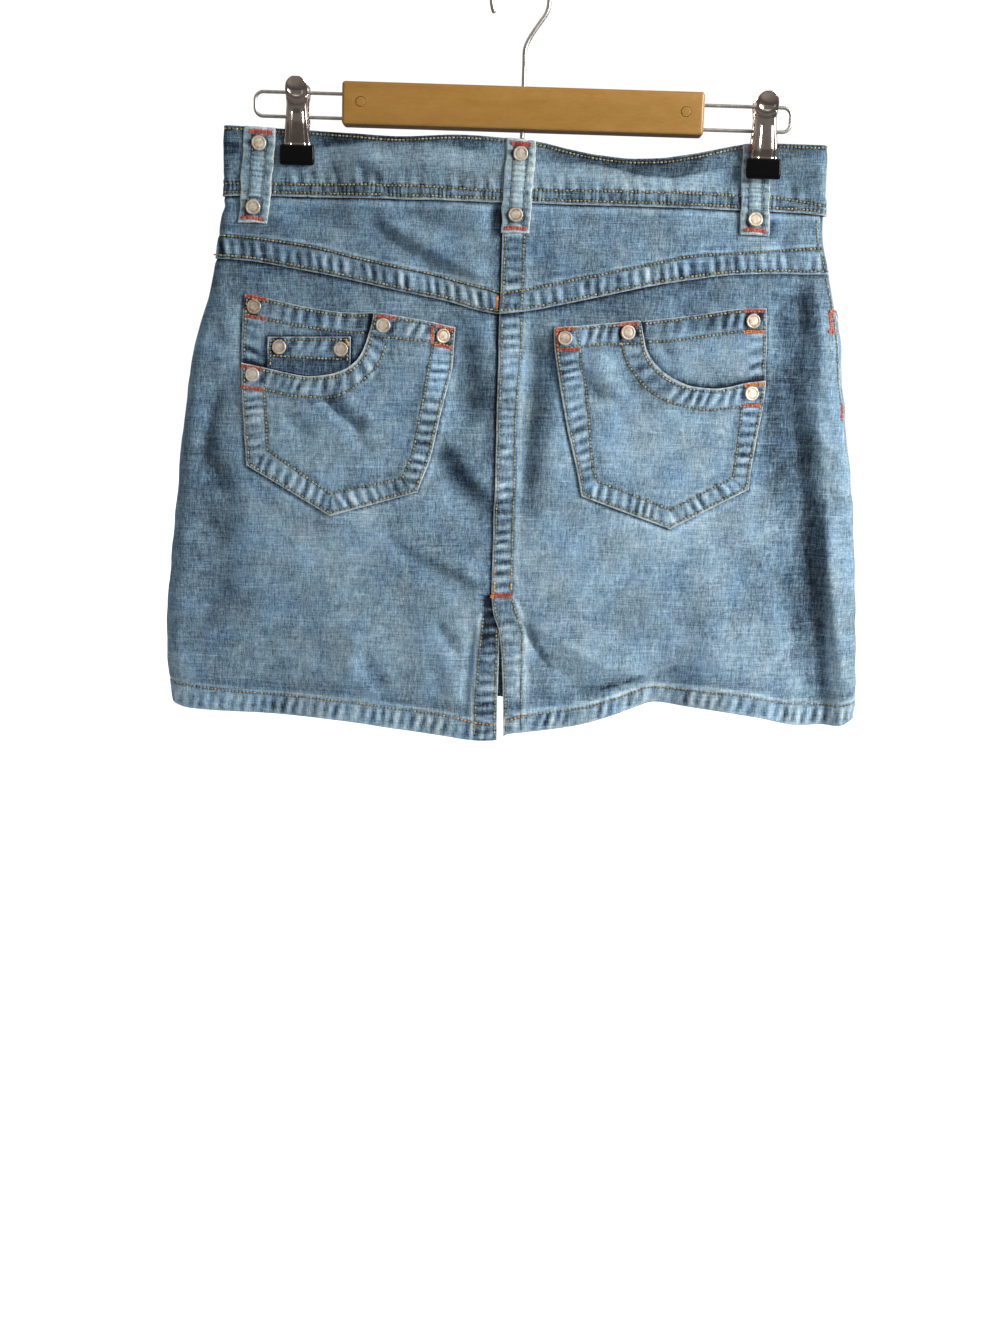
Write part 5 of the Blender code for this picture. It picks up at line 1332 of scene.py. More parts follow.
# ------------------------------------------------------------------ materials
class Graph:
    """Short ways to lay out a material's nodes."""

    def __init__(self, name):
        self.made = bpy.data.materials.new(name)
        self.made.use_nodes = True
        self.tree = self.made.node_tree
        self.shader = self.tree.nodes["Principled BSDF"]

    def add(self, kind, **settings):
        node = self.tree.nodes.new(kind)
        for key, value in settings.items():
            setattr(node, key, value)
        return node

    def feed(self, socket, value):
        if isinstance(value, bpy.types.NodeSocket):
            self.tree.links.new(value, socket)
        else:
            socket.default_value = value

    def attribute(self, name, vector=False):
        node = self.add("ShaderNodeAttribute", attribute_name=name)
        return node.outputs["Vector" if vector else "Fac"]

    def math(self, kind, a, b=0.0, c=0.0, clamp=False):
        node = self.add("ShaderNodeMath", operation=kind, use_clamp=clamp)
        for socket, value in zip(node.inputs, (a, b, c)):
            self.feed(socket, value)
        return node.outputs[0]

    def sum(self, start, *terms):
        """start + each weight * value."""
        total = start
        for weight, value in terms:
            total = self.math("MULTIPLY_ADD", value, weight, total)
        return total

    def times(self, vector, by):
        node = self.add("ShaderNodeVectorMath", operation="MULTIPLY")
        self.feed(node.inputs[0], vector)
        node.inputs[1].default_value = by
        return node.outputs[0]

    def noise(self, vector, detail=2.0, rough=0.5, scale=1.0, distortion=0.0):
        node = self.add("ShaderNodeTexNoise")
        self.feed(node.inputs["Vector"], vector)
        node.inputs["Scale"].default_value = scale
        node.inputs["Detail"].default_value = detail
        node.inputs["Roughness"].default_value = rough
        node.inputs["Distortion"].default_value = distortion
        return self.math("SUBTRACT", node.outputs["Fac"], 0.5)

    def ramp(self, value, stops, smooth_steps=False):
        node = self.add("ShaderNodeValToRGB")
        node.color_ramp.interpolation = "EASE" if smooth_steps else "LINEAR"
        while len(node.color_ramp.elements) < len(stops):
            node.color_ramp.elements.new(0.5)
        for element, (at, colour) in zip(node.color_ramp.elements, stops):
            element.position = at
            element.color = (*colour, 1.0)
        self.feed(node.inputs[0], value)
        return node.outputs[0]

    def mix(self, share, a, b):
        node = self.add("ShaderNodeMix", data_type="RGBA")
        self.feed(node.inputs[0], share)
        for socket, value in ((node.inputs[6], a), (node.inputs[7], b)):
            self.feed(socket, (*value, 1.0) if isinstance(value, tuple) else value)
        return node.outputs[2]

    def bump(self, value, strength, distance):
        node = self.add("ShaderNodeBump")
        node.inputs["Strength"].default_value = strength
        node.inputs["Distance"].default_value = distance
        self.feed(node.inputs["Height"], value)
        self.tree.links.new(node.outputs[0], self.shader.inputs["Normal"])

    def set(self, **values):
        for key, value in values.items():
            self.feed(self.shader.inputs[key.replace("_", " ")], value)


def srgb(r, g, b):
    def one(v):
        v /= 255
        return v / 12.92 if v <= 0.04045 else ((v + 0.055) / 1.055) ** 2.4

    return (one(r), one(g), one(b))


def denim():
    g = Graph("denim")
    grain = g.attribute("grain", True)
    edge, inside = g.attribute("edge"), g.attribute("inside")
    # Where each stitch dives, the cloth is drawn in, and painted shade darkens it there.
    seam_q, seam_t = g.attribute("seam_q"), g.attribute("seam_t")
    close = g.math("EXPONENT", g.math("MULTIPLY", seam_q, -0.9))
    beat = g.math("MULTIPLY_ADD", g.math("COSINE", g.math("MULTIPLY", seam_t, 2 * PI)), 0.5, 0.5)
    hole_dip_and_shade = g.math("MULTIPLY", close, beat)
    # The waistband's foot is ribbed across, a rib to each stitch.
    wobble = g.noise(g.times(grain, (150, 60, 1)), 2.0)
    along = g.add("ShaderNodeSeparateXYZ")
    g.feed(along.inputs[0], grain)
    phase = g.sum(g.math("MULTIPLY", along.outputs[0], 2 * PI / 0.00262), (5.0, wobble))
    fewer = g.math("MINIMUM", g.math("MAXIMUM", g.sum(0.55, (3.0, g.noise(g.times(grain, (62, 24, 1)), 2.0))), 0.1), 1.1)
    rib = g.math("MULTIPLY", g.math("MULTIPLY_ADD", g.math("SINE", phase), 0.5, -0.16), g.attribute("rib"))
    rib = g.math("MULTIPLY", rib, fewer)
    tone = g.sum(g.attribute("tone"), (-0.60, hole_dip_and_shade), (-0.06, close), (0.85, rib))
    slub_weft = g.noise(g.times(grain, (70, 1150, 1)), 3.0, 0.62)
    slub_warp = g.noise(g.times(grain, (1150, 150, 1)), 3.0, 0.62)
    yarn_weft = g.noise(g.times(grain, (420, 2300, 1)), 1.0)
    yarn_warp = g.noise(g.times(grain, (2300, 420, 1)), 1.0)
    long_weft = g.noise(g.times(grain, (24, 1500, 1)), 1.0)
    long_warp = g.noise(g.times(grain, (1300, 34, 1)), 1.0)
    patch = g.noise(g.times(grain, (120, 95, 1)), 3.0, 0.55)
    blotch = g.noise(g.times(grain, (34, 27, 1)), 2.0)
    # Here and there a thick pale yarn runs through.
    thread_weft = g.math("MAXIMUM", g.math("SUBTRACT", long_weft, 0.12), 0.0)
    thread_warp = g.math("MAXIMUM", g.math("SUBTRACT", long_warp, 0.13), 0.0)
    value = g.sum(0.49, (0.46, slub_weft), (0.60, slub_warp), (0.38, yarn_weft), (0.45, yarn_warp),
                  (0.9, thread_weft), (0.7, thread_warp), (0.34, patch), (0.30, blotch), (0.40, tone))
    right = g.ramp(value, (
        (0.0, srgb(22, 30, 42)), (0.15, srgb(47, 63, 80)), (0.32, srgb(82, 104, 121)),
        (0.5, srgb(116, 142, 161)), (0.68, srgb(148, 174, 192)), (0.85, srgb(180, 200, 212)),
        (1.0, srgb(208, 217, 220))))
    # The wash leaves some places bluer and some greyer.
    cast = g.noise(g.times(grain, (52, 44, 1)), 3.0, 0.6)
    tint = g.ramp(g.sum(0.5, (1.3, cast)), ((0.2, (0.90, 0.99, 1.10)), (0.5, (1.0, 1.0, 1.0)), (0.8, (1.09, 1.0, 0.92))))
    tinted = g.add("ShaderNodeMix", data_type="RGBA", blend_type="MULTIPLY")
    tinted.inputs[0].default_value = 1.0
    g.feed(tinted.inputs[6], right)
    g.feed(tinted.inputs[7], tint)
    greyed = g.add("ShaderNodeMix", data_type="RGBA", blend_type="MULTIPLY")
    g.feed(greyed.inputs[0], g.attribute("hue"))
    g.feed(greyed.inputs[6], tinted.outputs[2])
    greyed.inputs[7].default_value = (1.09, 1.01, 0.905, 1.0)
    pale = g.sum(0.55, (0.5, slub_weft), (0.6, slub_warp), (0.7, yarn_weft), (0.7, yarn_warp), (0.16, tone))
    # Its darkest stop serves the painted shade inside, behind the vent.
    wrong = g.ramp(pale, ((0.0, srgb(16, 20, 26)), (0.2, srgb(78, 96, 116)), (0.45, srgb(124, 142, 158)), (0.8, srgb(170, 182, 188))))
    worn = g.sum(-0.05, (1.05, edge), (0.8, yarn_weft), (0.8, yarn_warp), (0.5, patch))
    worn = g.math("MULTIPLY", g.math("MAXIMUM", worn, 0.0), g.math("MINIMUM", g.math("MULTIPLY", edge, 4.0), 1.0), clamp=True)
    colour = g.mix(worn, greyed.outputs[2], srgb(204, 206, 200))
    colour = g.mix(inside, colour, wrong)
    g.set(Base_Color=colour)
    g.set(Roughness=g.sum(0.88, (0.25, yarn_weft), (-0.12, patch)))
    g.shader.inputs["Specular IOR Level"].default_value = 0.18
    g.shader.inputs["Sheen Weight"].default_value = 0.08
    g.shader.inputs["Sheen Roughness"].default_value = 0.45
    # The twill's ribs lean across the yarns.
    split = g.add("ShaderNodeSeparateXYZ")
    g.feed(split.inputs[0], grain)
    lean = g.math("ADD", g.math("MULTIPLY", split.outputs[0], 5200.0), g.math("MULTIPLY", split.outputs[1], 5200.0))
    ribs = g.math("SINE", lean)
    g.bump(g.sum(0.0, (0.7, rib), (-0.5, hole_dip_and_shade), (0.12, ribs), (0.8, slub_weft), (0.8, slub_warp), (0.7, yarn_weft), (0.7, yarn_warp)), 0.6, 0.0003)
    return g.made


def thread_material(name, stops):
    g = Graph(name)
    tint, grain = g.attribute("tint"), g.attribute("grain", True)
    fuzz = g.noise(g.times(grain, (3000, 3000, 3000)), 2.0)
    value = g.sum(0.0, (1.0, tint), (0.5, fuzz))
    g.set(Base_Color=g.ramp(value, stops), Roughness=g.sum(0.62, (0.4, fuzz)))
    g.shader.inputs["Specular IOR Level"].default_value = 0.3
    g.shader.inputs["Sheen Weight"].default_value = 0.1
    # The thread's twist.
    split = g.add("ShaderNodeSeparateXYZ")
    g.feed(split.inputs[0], grain)
    twist = g.math("SINE", g.math("MULTIPLY", g.math("ADD", split.outputs[0], split.outputs[2]), 9000.0))
    g.bump(twist, 0.35, 0.0001)
    return g.made


def rivet_material():
    g = Graph("rivet_metal")
    grain = g.attribute("grain", True)
    mottle = g.noise(g.times(grain, (420, 420, 420)), 4.0, 0.6)
    fine = g.noise(g.times(grain, (2600, 2600, 2600)), 2.0, 0.6)
    worn = g.attribute("tint")
    colour = g.ramp(g.sum(0.5, (1.2, mottle), (0.5, worn)), (
        (0.1, srgb(160, 138, 114)), (0.42, srgb(208, 196, 178)), (0.7, srgb(230, 223, 212)), (1.0, srgb(242, 239, 232))))
    g.set(Base_Color=colour, Roughness=g.sum(0.48, (0.4, mottle), (0.2, fine)))
    g.shader.inputs["Metallic"].default_value = 0.58
    g.bump(g.sum(0.0, (0.6, mottle), (0.5, fine)), 0.15, 0.0001)
    return g.made


def wood_material():
    g = Graph("bar_wood")
    place_ = g.add("ShaderNodeTexCoord").outputs["Object"]
    streak = g.noise(g.times(place_, (9, 60, 190)), 4.0, 0.6, distortion=0.4)
    pores = g.noise(g.times(place_, (220, 900, 1300)), 3.0, 0.65)
    mottle = g.noise(g.times(place_, (60, 90, 120)), 3.0, 0.6)
    value = g.sum(0.5, (0.15, streak), (0.55, pores), (0.5, mottle))
    face = g.ramp(value, (
        (0.1, srgb(134, 94, 34)), (0.4, srgb(153, 111, 46)), (0.6, srgb(160, 118, 52)), (0.9, srgb(174, 133, 68))))
    # Its underside is painted dark brown: painted shade.
    height_ = g.add("ShaderNodeSeparateXYZ")
    g.feed(height_.inputs[0], place_)
    under = g.math("MULTIPLY_ADD", height_.outputs[2], -1100.0, 1100.0 * (BAR_Z - BAR_HALF_H + 1.0) * MM, clamp=True)
    g.set(Base_Color=g.mix(under, face, srgb(104, 70, 32)))
    g.set(Roughness=g.sum(0.42, (0.3, pores), (0.2, mottle)))
    g.shader.inputs["Coat Weight"].default_value = 0.25
    g.shader.inputs["Coat Roughness"].default_value = 0.3
    g.bump(g.sum(0.0, (0.6, pores), (0.4, streak)), 0.2, 0.0002)
    return g.made


def metal_material(name, colours, rough, scale=300.0):
    g = Graph(name)
    place_ = g.add("ShaderNodeTexCoord").outputs["Object"]
    smear = g.noise(g.times(place_, (scale, scale, scale * 0.35)), 3.0, 0.6)
    scratch = g.noise(g.times(place_, (scale * 8, scale * 8, scale * 0.7)), 2.0, 0.6)
    g.set(Base_Color=g.ramp(g.sum(0.5, (1.0, smear)), ((0.2, colours[0]), (0.8, colours[1]))))
    g.set(Roughness=g.sum(rough, (0.18, smear), (0.12, scratch)))
    g.shader.inputs["Metallic"].default_value = 1.0
    g.bump(g.sum(0.0, (0.5, scratch), (0.5, smear)), 0.06, 0.0001)
    return g.made


def vinyl_material():
    g = Graph("clip_vinyl")
    place_ = g.add("ShaderNodeTexCoord").outputs["Object"]
    ripple = g.noise(g.times(place_, (260, 260, 260)), 3.0, 0.5)
    dust = g.noise(g.times(place_, (2200, 2200, 2200)), 3.0, 0.7)
    g.set(Base_Color=g.ramp(g.sum(0.3, (0.8, dust)), ((0.2, (0.0015, 0.0015, 0.0018)), (0.9, (0.006, 0.006, 0.007)))))
    g.set(Roughness=g.sum(0.16, (0.2, ripple), (0.1, dust)))
    g.shader.inputs["Specular IOR Level"].default_value = 0.12
    g.shader.inputs["Coat Weight"].default_value = 0.12
    g.shader.inputs["Coat Roughness"].default_value = 0.05
    g.bump(ripple, 0.12, 0.0004)
    return g.made


def floor_material():
    g = Graph("studio_floor")
    place_ = g.add("ShaderNodeTexCoord").outputs["Object"]
    soft = g.noise(g.times(place_, (0.7, 0.7, 0.7)), 2.0)
    path = g.add("ShaderNodeLightPath")
    white = g.ramp(g.sum(0.5, (0.5, soft)), ((0.0, (0.78, 0.78, 0.78)), (1.0, (0.82, 0.82, 0.82))))
    dim = g.mix(path.outputs["Is Diffuse Ray"], white, (0.72, 0.72, 0.72))
    g.set(Base_Color=g.mix(path.outputs["Is Glossy Ray"], dim, (0.30, 0.265, 0.24)))
    g.shader.inputs["Roughness"].default_value = 0.9
    g.shader.inputs["Emission Color"].default_value = (1, 1, 1, 1)
    g.set(Emission_Strength=g.sum(0.08, (1.0, path.outputs["Is Camera Ray"]), (-0.08, path.outputs["Is Glossy Ray"])))
    return g.made


DENIM = denim()
TAN = thread_material("topstitch_tan", (
    (0.0, srgb(82, 79, 56)), (0.3, srgb(122, 115, 80)), (0.6, srgb(154, 145, 108)), (1.0, srgb(194, 182, 148))))
GOLD = thread_material("topstitch_gold", (
    (0.0, srgb(158, 112, 42)), (0.4, srgb(204, 150, 62)), (0.7, srgb(224, 176, 88)), (1.0, srgb(240, 206, 136))))
SLATE = thread_material("topstitch_slate", (
    (0.0, srgb(56, 66, 66)), (0.5, srgb(96, 104, 96)), (1.0, srgb(142, 142, 122))))
RED = thread_material("bartack_red", (
    (0.0, srgb(112, 38, 34)), (0.3, srgb(158, 60, 50)), (0.6, srgb(184, 80, 64)), (0.85, srgb(200, 110, 84)), (1.0, srgb(212, 156, 130))))
ORANGE = thread_material("bartack_orange", (
    (0.0, srgb(152, 70, 30)), (0.4, srgb(196, 104, 48)), (0.7, srgb(212, 134, 66)), (1.0, srgb(224, 164, 92))))
RIVET_METAL = rivet_material()
WOOD = wood_material()
CHROME = metal_material("clip_chrome", (srgb(176, 166, 158), srgb(206, 198, 192)), 0.13)
WIRE = metal_material("hanger_wire_steel", (srgb(182, 179, 176), srgb(212, 209, 206)), 0.42)
VINYL = vinyl_material()


# ------------------------------------------------------------------ meshes
PIECES = []


def new_object(name, points, faces, material, attributes=None, smooth_faces=True, replaces=None):
    mesh = bpy.data.meshes.new(name)
    points = np.asarray(points, np.float32) * MM
    faces = np.asarray(faces, np.int32)
    corners = faces.shape[1]
    mesh.vertices.add(len(points))
    mesh.vertices.foreach_set("co", points.ravel())
    mesh.loops.add(faces.size)
    mesh.loops.foreach_set("vertex_index", faces.ravel())
    mesh.polygons.add(len(faces))
    mesh.polygons.foreach_set("loop_start", np.arange(len(faces), dtype=np.int32) * corners)
    mesh.polygons.foreach_set("use_smooth", np.full(len(faces), smooth_faces))
    mesh.update(calc_edges=True)
    for key, value in (attributes or {}).items():
        value = np.asarray(value, np.float32)
        kind = "FLOAT_VECTOR" if value.ndim == 2 else "FLOAT"
        made = mesh.attributes.new(key, kind, "POINT")
        made.data.foreach_set("vector" if value.ndim == 2 else "value", value.ravel())
    mesh.materials.append(material)
    obj = bpy.data.objects.new(name, mesh)
    bpy.context.scene.collection.objects.link(obj)
    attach(obj, "root")
    if replaces:
        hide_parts(*([replaces] if isinstance(replaces, str) else replaces))
    PIECES.append(obj)
    return obj


def finely(length, every, rounding=(0.0, 0.08, 0.24, 0.5, 0.9)):
    """Places along a length, in shares of it, close together at both ends."""
    ends = np.array(rounding)
    inner = np.linspace(ends[-1], length - ends[-1], max(2, int((length - 2 * ends[-1]) / every)))
    return np.concatenate([ends[:-1], inner, length - ends[:-1][::-1]]) / length


def from_border(s, length, radius):
    """How full the cloth's thickness is, near the ends of a run of places."""
    d = np.minimum(s, 1 - s) * length
    return np.sqrt(np.clip(1 - (1 - np.minimum(d / radius, 1.0)) ** 2, 0, 1))


NEAR = 0.12  # how thick the very edge still is, as a share


def shell(node, side, s, r, where, widths, full=None):
    """A closed shell of cloth: where(S, R) gives (u, z) on the skirt."""
    S, R = np.meshgrid(s, r)
    u, z = where(S, R)
    x = across_at(side, u, z)
    m = MARKS[node](x, z)
    at, normal = surface(u, z)
    if full is None:
        full = np.minimum(from_border(S, widths[0], 0.55), 1) * np.minimum(from_border(R, widths[1], 0.55), 1)
    half = (m.half * np.maximum(full, NEAR))[..., None]
    mid = m.mid[..., None]
    outer = at + normal * (mid + half)
    inner = at + normal * (mid - half)
    rows, columns = S.shape
    count = rows * columns
    index = np.arange(count).reshape(rows, columns)
    a, b, c, d = index[:-1, :-1], index[1:, :-1], index[1:, 1:], index[:-1, 1:]
    face = np.stack([a, b, c, d], -1).reshape(-1, 4)
    p = outer.reshape(-1, 3)
    mid_face = face[len(face) // 2 + columns // 2]
    n = np.cross(p[mid_face[1]] - p[mid_face[0]], p[mid_face[3]] - p[mid_face[0]])
    if n @ normal.reshape(-1, 3)[mid_face[0]] < 0:
        face = face[:, ::-1]
        flipped = True
    else:
        flipped = False
    rim_path = np.concatenate([index[0, :-1], index[:-1, -1], index[-1, :0:-1], index[:0:-1, 0]])
    nxt = np.roll(rim_path, -1)
    # The grid's border, in this order, turns one way; the rim follows the faces' turn.
    rim = np.stack([rim_path, nxt, nxt + count, rim_path + count], -1)
    if flipped:
        rim = rim[:, ::-1]
    faces = np.concatenate([face, face[:, ::-1] + count, rim])
    points = np.concatenate([p, inner.reshape(-1, 3)])
    offset = sum(ord(ch) for ch in node) % 97
    turn = math.radians((offset % 5 - 2) * 0.8)
    gx = x * math.cos(turn) - z * math.sin(turn)
    gz = x * math.sin(turn) + z * math.cos(turn)
    grain = np.stack([gx * MM, gz * MM, np.full_like(x, offset * 0.37)], -1).reshape(-1, 3)
    inside = np.concatenate([np.zeros(count), np.ones(count)])
    if node.startswith(("waistband", "belt_loop")):
        inside[:] = 0.0
    # The rim is a fold, so the inner side turns to the reverse only past it.
    soft = np.clip((full - 0.55) / 0.4, 0, 1).ravel()
    inside[count:] *= soft
    obj = new_object(f"cloth_{node}", points, faces, DENIM, {
        "grain": np.concatenate([grain, grain]),
        "tone": np.concatenate([m.tone.ravel(), (0.4 * m.tone + m.deep).ravel()]),
        "edge": np.concatenate([m.edge.ravel(), (m.edge * (1 - soft.reshape(m.edge.shape))).ravel()]),
        "inside": inside,
        "seam_q": np.concatenate([m.seam_q.ravel(), np.full(count, 9.0)]),
        "seam_t": np.concatenate([m.seam_t.ravel(), m.seam_t.ravel()]),
        "rib": np.concatenate([m.rib.ravel(), np.zeros(count)]),
        "hue": np.concatenate([m.hue.ravel(), m.hue.ravel()]),
    }, replaces=node)
    return obj


def between(side, u_low, u_high, z_top, z_foot):
    def where(S, R):
        z = np.full_like(S, -250.0)
        for _ in range(6):
            low, high = u_low(z), u_high(z)
            u = low + (high - low) * S
            top, foot = z_top(u), z_foot(u)
            z = top + (foot - top) * R
        return u, z

    return where


def lap(table, side, lift=0.0):
    return lambda u: height(table, side, u) + lift


def seam_at(which, gap):
    return lambda z: side_seam(which, z) + gap / ring(z)[3]


SPAN = 1.0


def make_back():
    def centre(which, under):
        def u(z):
            if which == "right":
                x = centre_edge_x(z)
            else:
                x = np.where(z > VENT_TOP_Z, CENTRE_BACK_X + under * step((z - VENT_TOP_Z) / 6.0) - 0.15, vent_left(z))
            return u_at("back", x, z)

        return u

    made = {}
    across, down = finely(214, 1.55 * SPAN), finely(282, 1.7 * SPAN)
    made["back_panel_left"] = shell("back_panel_left", "back", across, down, between(
        "back", seam_at("left", 0.1), centre("left", 3.4), lap(yoke_seam, "back", 3.6), lap(hem_of["back"], "back")), (214, 282))
    made["back_panel_right"] = shell("back_panel_right", "back", across, down, between(
        "back", centre("right", 0), seam_at("right", -0.1), lap(yoke_seam, "back", 3.6), lap(hem_of["back"], "back")), (214, 282))
    across, down = finely(190, 1.15 * SPAN), finely(58, 1.1 * SPAN)
    made["back_yoke_left"] = shell("back_yoke_left", "back", across, down, between(
        "back", seam_at("left", 0.1), centre("left", 3.4), lap(band_low_of["back"], "back", 4.0), lap(yoke_seam, "back")), (190, 58))
    made["back_yoke_right"] = shell("back_yoke_right", "back", across, down, between(
        "back", centre("right", 0), seam_at("right", -0.1), lap(band_low_of["back"], "back", 4.0), lap(yoke_seam, "back")), (190, 58))
    across, down = finely(388, 1.2 * SPAN), finely(42, 1.05 * SPAN)
    made["waistband_back"] = shell("waistband_back", "back", across, down, between(
        "back", seam_at("left", 0.12), seam_at("right", 7.88), lap(top_of["back"], "back"), lap(band_low_of["back"], "back")), (396, 42))
    return made


def pocket_shares(which):
    """Where the pocket's columns stand, evenly along its mouth."""
    line = MOUTHS[which]
    mouth = LEFT_MOUTH if which == "left" else RIGHT_MOUTH
    length = line.t[-1]
    t = finely(length, 1.15 * SPAN) * length
    x = np.interp(t, line.t, line.p[:, 0])
    return (x - mouth[0][0]) / (mouth[-1][0] - mouth[0][0]), length


def make_pockets():
    made = {}
    for which, mouth_rows in (("left", LEFT_MOUTH), ("right", RIGHT_MOUTH)):
        low_x, high_x = pocket_sides(which)
        foot, mouth = pocket_foot(which), smooth(mouth_rows)
        feet = POCKETS[which]["foot"]
        marks = [row[0] for row in mouth_rows]
        shares = [(x - marks[0]) / (marks[-1] - marks[0]) for x in marks]
        tip_share = (feet[1][0] - feet[0][0]) / (feet[2][0] - feet[0][0])
        nearest = min(range(1, len(shares) - 1), key=lambda i: abs(shares[i] - tip_share))
        at = shares[nearest]

        def foot_share(s):
            return np.where(s < at, tip_share * s / at, tip_share + (1 - tip_share) * (s - at) / (1 - at))

        def where(S, R):
            z_mouth = mouth(marks[0] + (marks[-1] - marks[0]) * S)
            x_foot = feet[0][0] + (feet[2][0] - feet[0][0]) * foot_share(S)
            z = z_mouth + (foot(x_foot) - z_mouth) * R
            share = S + (foot_share(S) - S) * R
            x = low_x(z) + (high_x(z) - low_x(z)) * share
            return u_at("back", x, z), z

        s, length = pocket_shares(which)
        s = np.unique(np.concatenate([s, [at]]))
        r = finely(100, 1.1 * SPAN)
        S, R = np.meshgrid(s, r)
        u, z = where(S, R)
        x = across_at("back", u, z)
        d_edge, _ = EDGES[which].near(x, z, 4.0)
        d_mouth, _ = MOUTHS[which].near(x, z, 4.0)
        d = np.minimum(np.abs(d_edge), np.abs(d_mouth))
        full = np.sqrt(np.clip(1 - (1 - np.minimum(d / 0.6, 1.0)) ** 2, 0, 1))
        made[f"back_pocket_{which}"] = shell(f"back_pocket_{which}", "back", s, r, where, (length, 100), full)

        top_rows = LEFT_TOP if which == "left" else RIGHT_TOP
        top = smooth(top_rows)
        inner = top_rows[-1][0] if which == "left" else top_rows[0][0]

        def facing(S, R):
            if which == "left":
                low, high = top_rows[0][0], inner + 10.0
            else:
                low, high = inner - 10.0, top_rows[-1][0]
            x = low + (high - low) * S
            hidden = x > inner if which == "left" else x < inner
            z_top = top(x) - np.where(hidden, 1.2, 0.0)
            z_foot = np.minimum(mouth(x), z_top - 4.0) - 9.0
            z = z_top + (z_foot - z_top) * R
            if which == "left":
                x = x + (low_x(z) - low) * (1 - S)
            else:
                x = x + (high_x(z) - high) * S
            return u_at("back", x, z), z

        made[f"pocket_facing_{which}"] = shell(
            f"pocket_facing_{which}", "back", finely(92, 1.1 * SPAN), finely(50, 1.1 * SPAN), facing, (92, 50))

    mouth = smooth(LEFT_MOUTH)

    def tab(S, R):
        x = TAB["left"] + (TAB["right"] - TAB["left"]) * S
        z_top = TAB["top_left"] + (TAB["top_right"] - TAB["top_left"]) * S
        z_foot = mouth(x) + 0.5
        z = z_top + (z_foot - z_top) * R
        return u_at("back", x, z), z

    made["coin_pocket"] = shell("coin_pocket", "back", finely(54, 0.9 * SPAN), finely(20, 0.9 * SPAN), tab, (54, 20))
    return made


def make_loops():
    made = {}
    for name, (side, x_top, x_foot, w_top, w_foot, z_foot) in LOOPS.items():
        def where(S, R, side=side, name=name, x_top=x_top, z_foot=z_foot):
            z = np.full_like(S, -120.0)
            for _ in range(3):
                low, high, _ = loop_sides(name, z)
                x = low + (high - low) * (S if side == "back" else 1 - S)
                z_top = top_of[side](x) + 0.1
                wobble = 0.25 * wander(x / 4.0, 75) * (R - 0.5) * 2
                z = z_top + (z_foot + wobble - z_top) * R
            return u_at(side, x, z), z

        made[name] = shell(name, side, finely(18.4, 0.62 * SPAN), finely(58, 0.8 * SPAN), where, (18.4, 58))
    return made


def make_front():
    made = {}
    for which in ("left", "right"):
        if which == "right":
            low, high = seam_at("right", -0.2), lambda z: u_at("front", 0.0 + 0.0 * z - 3.4 * step((z + 462.0) / 4.0) * 0 - 2.4, z)
        else:
            low, high = lambda z: u_at("front", 1.2 + 0.0 * z, z), lambda z: seam_at("left", 0.2)(z) + 4
        mouth = lambda u, which=which: mouth_height(u, which)
        # Columns stand evenly along the top edge, which drops down the mouth.
        where = between("front", low, high, mouth, lap(hem_of["front"], "front"))
        S = np.linspace(0, 1, 3000)[None, :]
        u, z = where(S, np.zeros_like(S))
        x = across_at("front", u, z)
        run = np.concatenate([[0.0], np.cumsum(np.hypot(np.diff(x[0]), np.diff(z[0])))])
        length = run[-1]
        s = np.interp(finely(length, 2.4 * SPAN) * length, run, S[0])
        made[f"front_panel_{which}"] = shell(
            f"front_panel_{which}", "front", s, finely(300, 2.8 * SPAN), where, (220, 300))

        foot = lambda u, which=which: np.minimum(mouth_height(u, which) - 14.0, height(band_low_of["front"], "front", u) - 8.0)
        if which == "right":
            where = between("front", seam_at("right", 0.4), lambda z: 2 - MOUTH_TOP_SHARE + 0.04 + 0 * z,
                            lap(band_low_of["front"], "front", 3.0), foot)
        else:
            where = between("front", lambda z: 2 + MOUTH_TOP_SHARE - 0.04 + 0 * z, lambda z: seam_at("left", -0.4)(z) + 4,
                            lap(band_low_of["front"], "front", 3.0), foot)
        made[f"front_pocket_facing_{which}"] = shell(
            f"front_pocket_facing_{which}", "front", finely(96, 1.6 * SPAN), finely(60, 1.6 * SPAN), where, (96, 60))

        if which == "right":
            where = between("front", seam_at("right", 8.12), lambda z: u_at("front", -FRONT_OVERLAP + 0 * z, z),
                            lap(top_of["front"], "front"), lap(band_low_of["front"], "front"))
        else:
            where = between("front", lambda z: u_at("front", FRONT_OVERLAP + 0 * z, z), lambda z: seam_at("left", -0.12)(z) + 4,
                            lap(top_of["front"], "front"), lap(band_low_of["front"], "front"))
        made[f"waistband_front_{which}"] = shell(
            f"waistband_front_{which}", "front", finely(212, 1.7 * SPAN), finely(42, 1.4 * SPAN), where, (212, 42))
    return made


# ------------------------------------------------------------------ thread
THREADS = {}


def outer(piece, side, x, z):
    m = MARKS[piece](np.atleast_1d(np.asarray(x, float)), np.atleast_1d(np.asarray(z, float)))
    return m.mid + m.half


